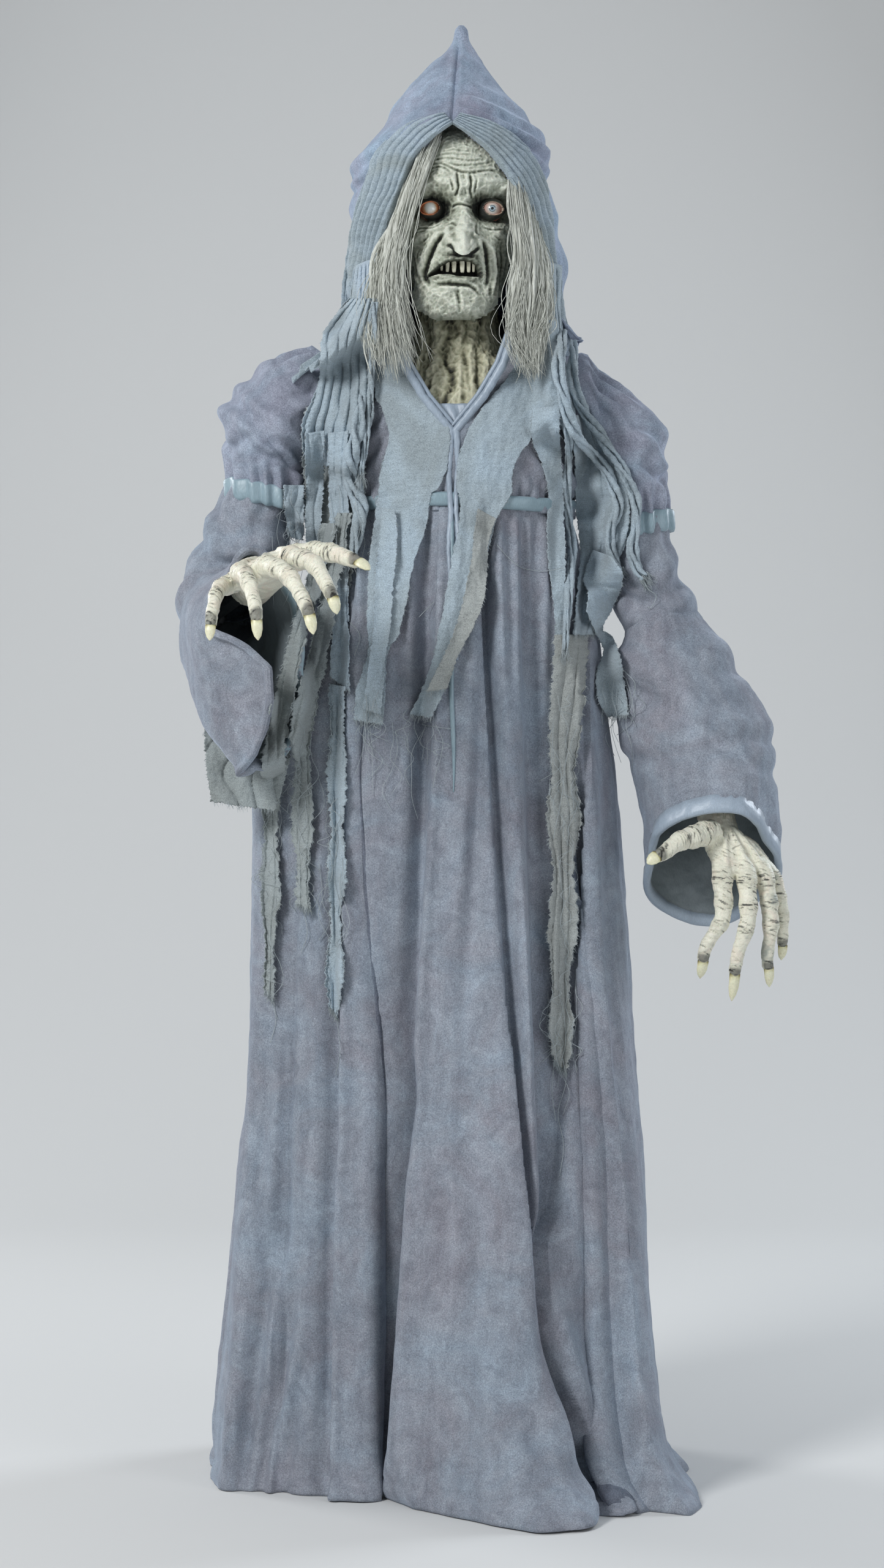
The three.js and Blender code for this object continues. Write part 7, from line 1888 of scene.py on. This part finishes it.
# ------------------------------------------------------------------ trim: padded satin piping round the V neck and down the placket
_trees = [tree_of(bodice, skirt, waist_band)]
trim_parts = []
for e, side in piping_lines:
    y = np.array([min([front_of(t, p[0], p[2]) for t in _trees]) for p in e])
    y = np.where(y > 0, np.nan, y)
    ok = ~np.isnan(y)
    y = np.interp(np.arange(len(y)), np.flatnonzero(ok), y[ok])
    k = 7
    y = np.convolve(np.pad(y, k, mode="edge"), np.ones(2 * k + 1) / (2 * k + 1), "valid")
    line = np.stack([e[:, 0], y - 0.0022, e[:, 2]], -1)
    s = np.linspace(0, 1, len(line))
    r = np.interp(s, [0, .3, .46, .5, .9, 1], [.0052, .0052, .0046, .0036, .0030, .0018])
    v, f = tube(line, 0, 12, taper=r)
    v = v + norm(v - np.repeat(line, 12, 0)) * (0.0006 * noise(v, 190, 70))[:, None]
    trim_parts.append((v, f))
    # a second, thinner line of piping that turns back inside the neck
    m = 70
    l2 = line[:m] + np.stack([np.full(m, -side * 0.0075), np.full(m, 0.004), np.full(m, 0.002)], -1)
    trim_parts.append(tube(l2, 0, 10, taper=np.interp(np.linspace(0, 1, m), [0, .9, 1], [.0034, .003, .001])))
piping = many("neck_piping", trim_parts, satin_pale)

# bright satin gusset at the foot of the V
_z = np.linspace(1.338, 1.276, 26)
_w = np.interp(_z, [1.276, 1.30, 1.338], [0.0035, 0.0085, 0.026])
_u = np.linspace(-1, 1, 24)
_X = -0.003 + _w[:, None] * _u[None]
_Y = bodice_front(_X, np.repeat(_z[:, None], 24, 1)) + 0.0005 + 0.006 * (1 - _u[None] ** 2) * sstep(1.29, 1.338, _z)[:, None]
_G = np.stack([_X, _Y + 0.0012 * np.sin(_u[None] * 9 + _z[:, None] * 160), np.repeat(_z[:, None], 24, 1)], -1)
gusset = thick("neck_gusset", _G, 0.0010, satin_pale, side=1.0 if outward(_G)[12, 12, 1] < 0 else -1.0)

# covered edge of the placket down the front of the skirt
_pz = np.linspace(1.202, 0.86, 120)
_px = np.full(120, -0.004) + 0.0015 * np.sin(_pz * 30)
_py = np.array([front_of(_trees[0], x, z) for x, z in zip(_px, _pz)])
_py = np.convolve(np.pad(_py, 4, mode="edge"), np.ones(9) / 9, "valid")
placket = many("placket_edge", [tube(np.stack([_px, _py - 0.0008, _pz], -1), 0, 10, taper=np.interp(np.linspace(0, 1, 120), [0, .8, 1], [.0034, .0030, .0008]))], satin)

# ------------------------------------------------------------------ floor and backdrop
_pale, _nt, _b, _co = start("studio_floor", 0.9, Specular_IOR_Level=0.2)
_b.inputs["Base Color"].default_value = (0.70, 0.70, 0.69, 1)
_prof = [(-9, 0)] + [(2.2, 0)] + [(2.2 + 1.4 * math.sin(a), 1.4 - 1.4 * math.cos(a)) for a in np.linspace(0.12, math.pi / 2, 14)] + [(3.6, 7)]
_v = [(x, y, z - 0.0005) for (y, z) in _prof for x in (-9, 9)]
floor = mesh("studio_floor", _v, [(2 * i, 2 * i + 1, 2 * i + 3, 2 * i + 2) for i in range(len(_prof) - 1)], _pale)

# ------------------------------------------------------------------ what each look moves with, and the frame nodes it stands in for
put(skirt, "stand", ["robe_skirt"])
put(bodice, "stand", ["robe_bodice"])
ARM = {"gauze_strip_e": "arm_right", "gauze_flat_left": "rope_left", "gauze_rope_left_mid": "rope_left", "gauze_rope_left_out": "rope_left", "gauze_curl_left": "curl", "gauze_flap_right": "flap"}


def go(o, how):
    """Gauze on the right arm goes with its upper arm or forearm; the pieces on the left arm and the curl are baked in
    place with no parent; the rest stays with the robe.
    """
    if how == "arm_right":
        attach(o, "upper_arm_right")
    elif how == "flap":
        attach(o, "forearm_right")
    elif how == "rope_left":
        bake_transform(o)
    elif how == "curl":
        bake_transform(o)
    else:
        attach(o, "stand")


_take = {"gauze_panel_right": "shawl_right", "gauze_panel_left": "shawl_left", "gauze_bunch_right": "strip_bunch_right", "gauze_rope_left_in": "strip_bunch_left", "gauze_strip_f": "strip_long_right",
         "gauze_long_left": "strip_long_left", "gauze_flat_left": "strip_curl_left", "gauze_strip_h": "strip_short_right"}
for _n, _node in _take.items():
    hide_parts(_node)
for _n, (_o, _P) in GAUZE.items():
    go(_o, ARM.get(_n, "stand"))
for _n, _o in fray.items():
    go(_o, _n)
put(hood, "head", ["hood"])
for _o in pleat_obj:
    put(_o, "head")
put(eye_r, "head", ["eye_right"])
put(eye_l, "head", ["eye_left"])
put(teeth, "head", ["upper_teeth"])
put(gum, "head")
_p, _n = np.array([0, -.125, 1.502]), np.array([0, -.337, .941])
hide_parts("mask_face", "mask_jaw")
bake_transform(face)
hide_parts("mask_neck")
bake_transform(neck)
for _s, _t in ((-1, "right"), (1, "left")):
    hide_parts("hood_drape_" + _t)
    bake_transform(drape_obj[_s])
    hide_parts("hair_" + _t)
    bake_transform(hair_obj[_s])
    put(hand_obj[_t], "hand_" + _t, ["hand_" + _t])
    put(nail_obj[_t], "hand_" + _t)
put(waist_band, "stand")
put(cowl, "stand")
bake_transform(cape)
put(piping, "stand")
put(gusset, "stand")
put(placket, "stand")
SLEEVE_BEND = {"right": ((-.1850, 0, 1.365), (-.2330, 0, 1.300), (-.2963, -.0069, 1.1012), (-.2940, -.0600, 1.0660)), "left": ((.1840, 0, 1.338), (.2200, 0, 1.270), (.2633, -.0043, 1.0642), (.2740, -.0180, 1.0040))}
for _t in ("right", "left"):
    _a, _b2, _c, _d = SLEEVE_BEND[_t]
    _cap, _up, _lo = (sleeve_obj[k + _t] for k in ("cap_", "upper_", "lower_"))
    for _o, _node in ((_cap, "over_sleeve_"), (_up, "sleeve_upper_"), (_lo, "sleeve_lower_")):
        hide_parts(_node + _t)
    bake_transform(_cap)
    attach(_up, "upper_arm_" + _t)
    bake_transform(_lo)
    put(sleeve_obj["band_" + _t], "upper_arm_" + _t)
    put(sleeve_obj["hem_" + _t], "forearm_" + _t)


# ------------------------------------------------------------------ cloth: each piece's flat size
def arc(P, axis, wrap=False):
    d = np.linalg.norm(np.diff(P, axis=axis), axis=-1).sum(axis)
    if wrap:
        d = d + np.linalg.norm(np.take(P, 0, axis) - np.take(P, -1, axis), axis=-1)
    return d


def cell_area(P, wrap=False):
    Q = np.concatenate([P, P[:, :1]], 1) if wrap else P
    a, b, c, d = Q[:-1, :-1], Q[:-1, 1:], Q[1:, 1:], Q[1:, :-1]
    return 0.5 * (np.linalg.norm(np.cross(b - a, d - a), axis=-1) + np.linalg.norm(np.cross(b - c, d - c), axis=-1)).sum()


sheet_sizes = {}


def cloth(o, P, wrap=False, part=1.0):
    area = cell_area(P, wrap) * part
    length = float(arc(P, 0).mean())
    width = float(arc(P, 1, wrap).max())
    if area < 0.34 * width * length:
        width = area / length / 0.6
    area = min(area, width * length)
    width, length = math.ceil(width * 1000) / 1000, math.ceil(length * 1000) / 1000
    sheet_sizes[o.name] = (width, length, round(area, 4))


cloth(skirt, SK, True)
cloth(bodice, BO, True, part=float(len(bodice.data.polygons)) / (BO.shape[0] - 1) / BO.shape[1])
cloth(cape, CAPE)
cloth(cowl, COWL)
cloth(hood, HG, True, part=0.86)
for _t in ("right", "left"):
    cloth(sleeve_obj["cap_" + _t], SLEEVES["cap_" + _t], True)
    cloth(sleeve_obj["upper_" + _t], SLEEVES["upper_" + _t], True)
    cloth(sleeve_obj["lower_" + _t], SLEEVES["lower_" + _t], True)
for _s, _o, _t in ((-1, pleat_obj[0], "right"), (1, pleat_obj[1], "left")):
    cloth(_o, pleated(_s))
    cloth(drape_obj[_s], DRAPED[_s])
for _name, (_o, _P) in GAUZE.items():
    if _P is None:
        _A = sum(p.area for p in _o.data.polygons) / 2
        _len = float(max(v.co.z for v in _o.data.vertices) - min(v.co.z for v in _o.data.vertices)) * 1.05
        sheet_sizes[_o.name] = (round(_A / _len, 3), round(_len, 3), round(_A, 4))
    else:
        cloth(_o, _P)

print("sheets", json.dumps(sheet_sizes))
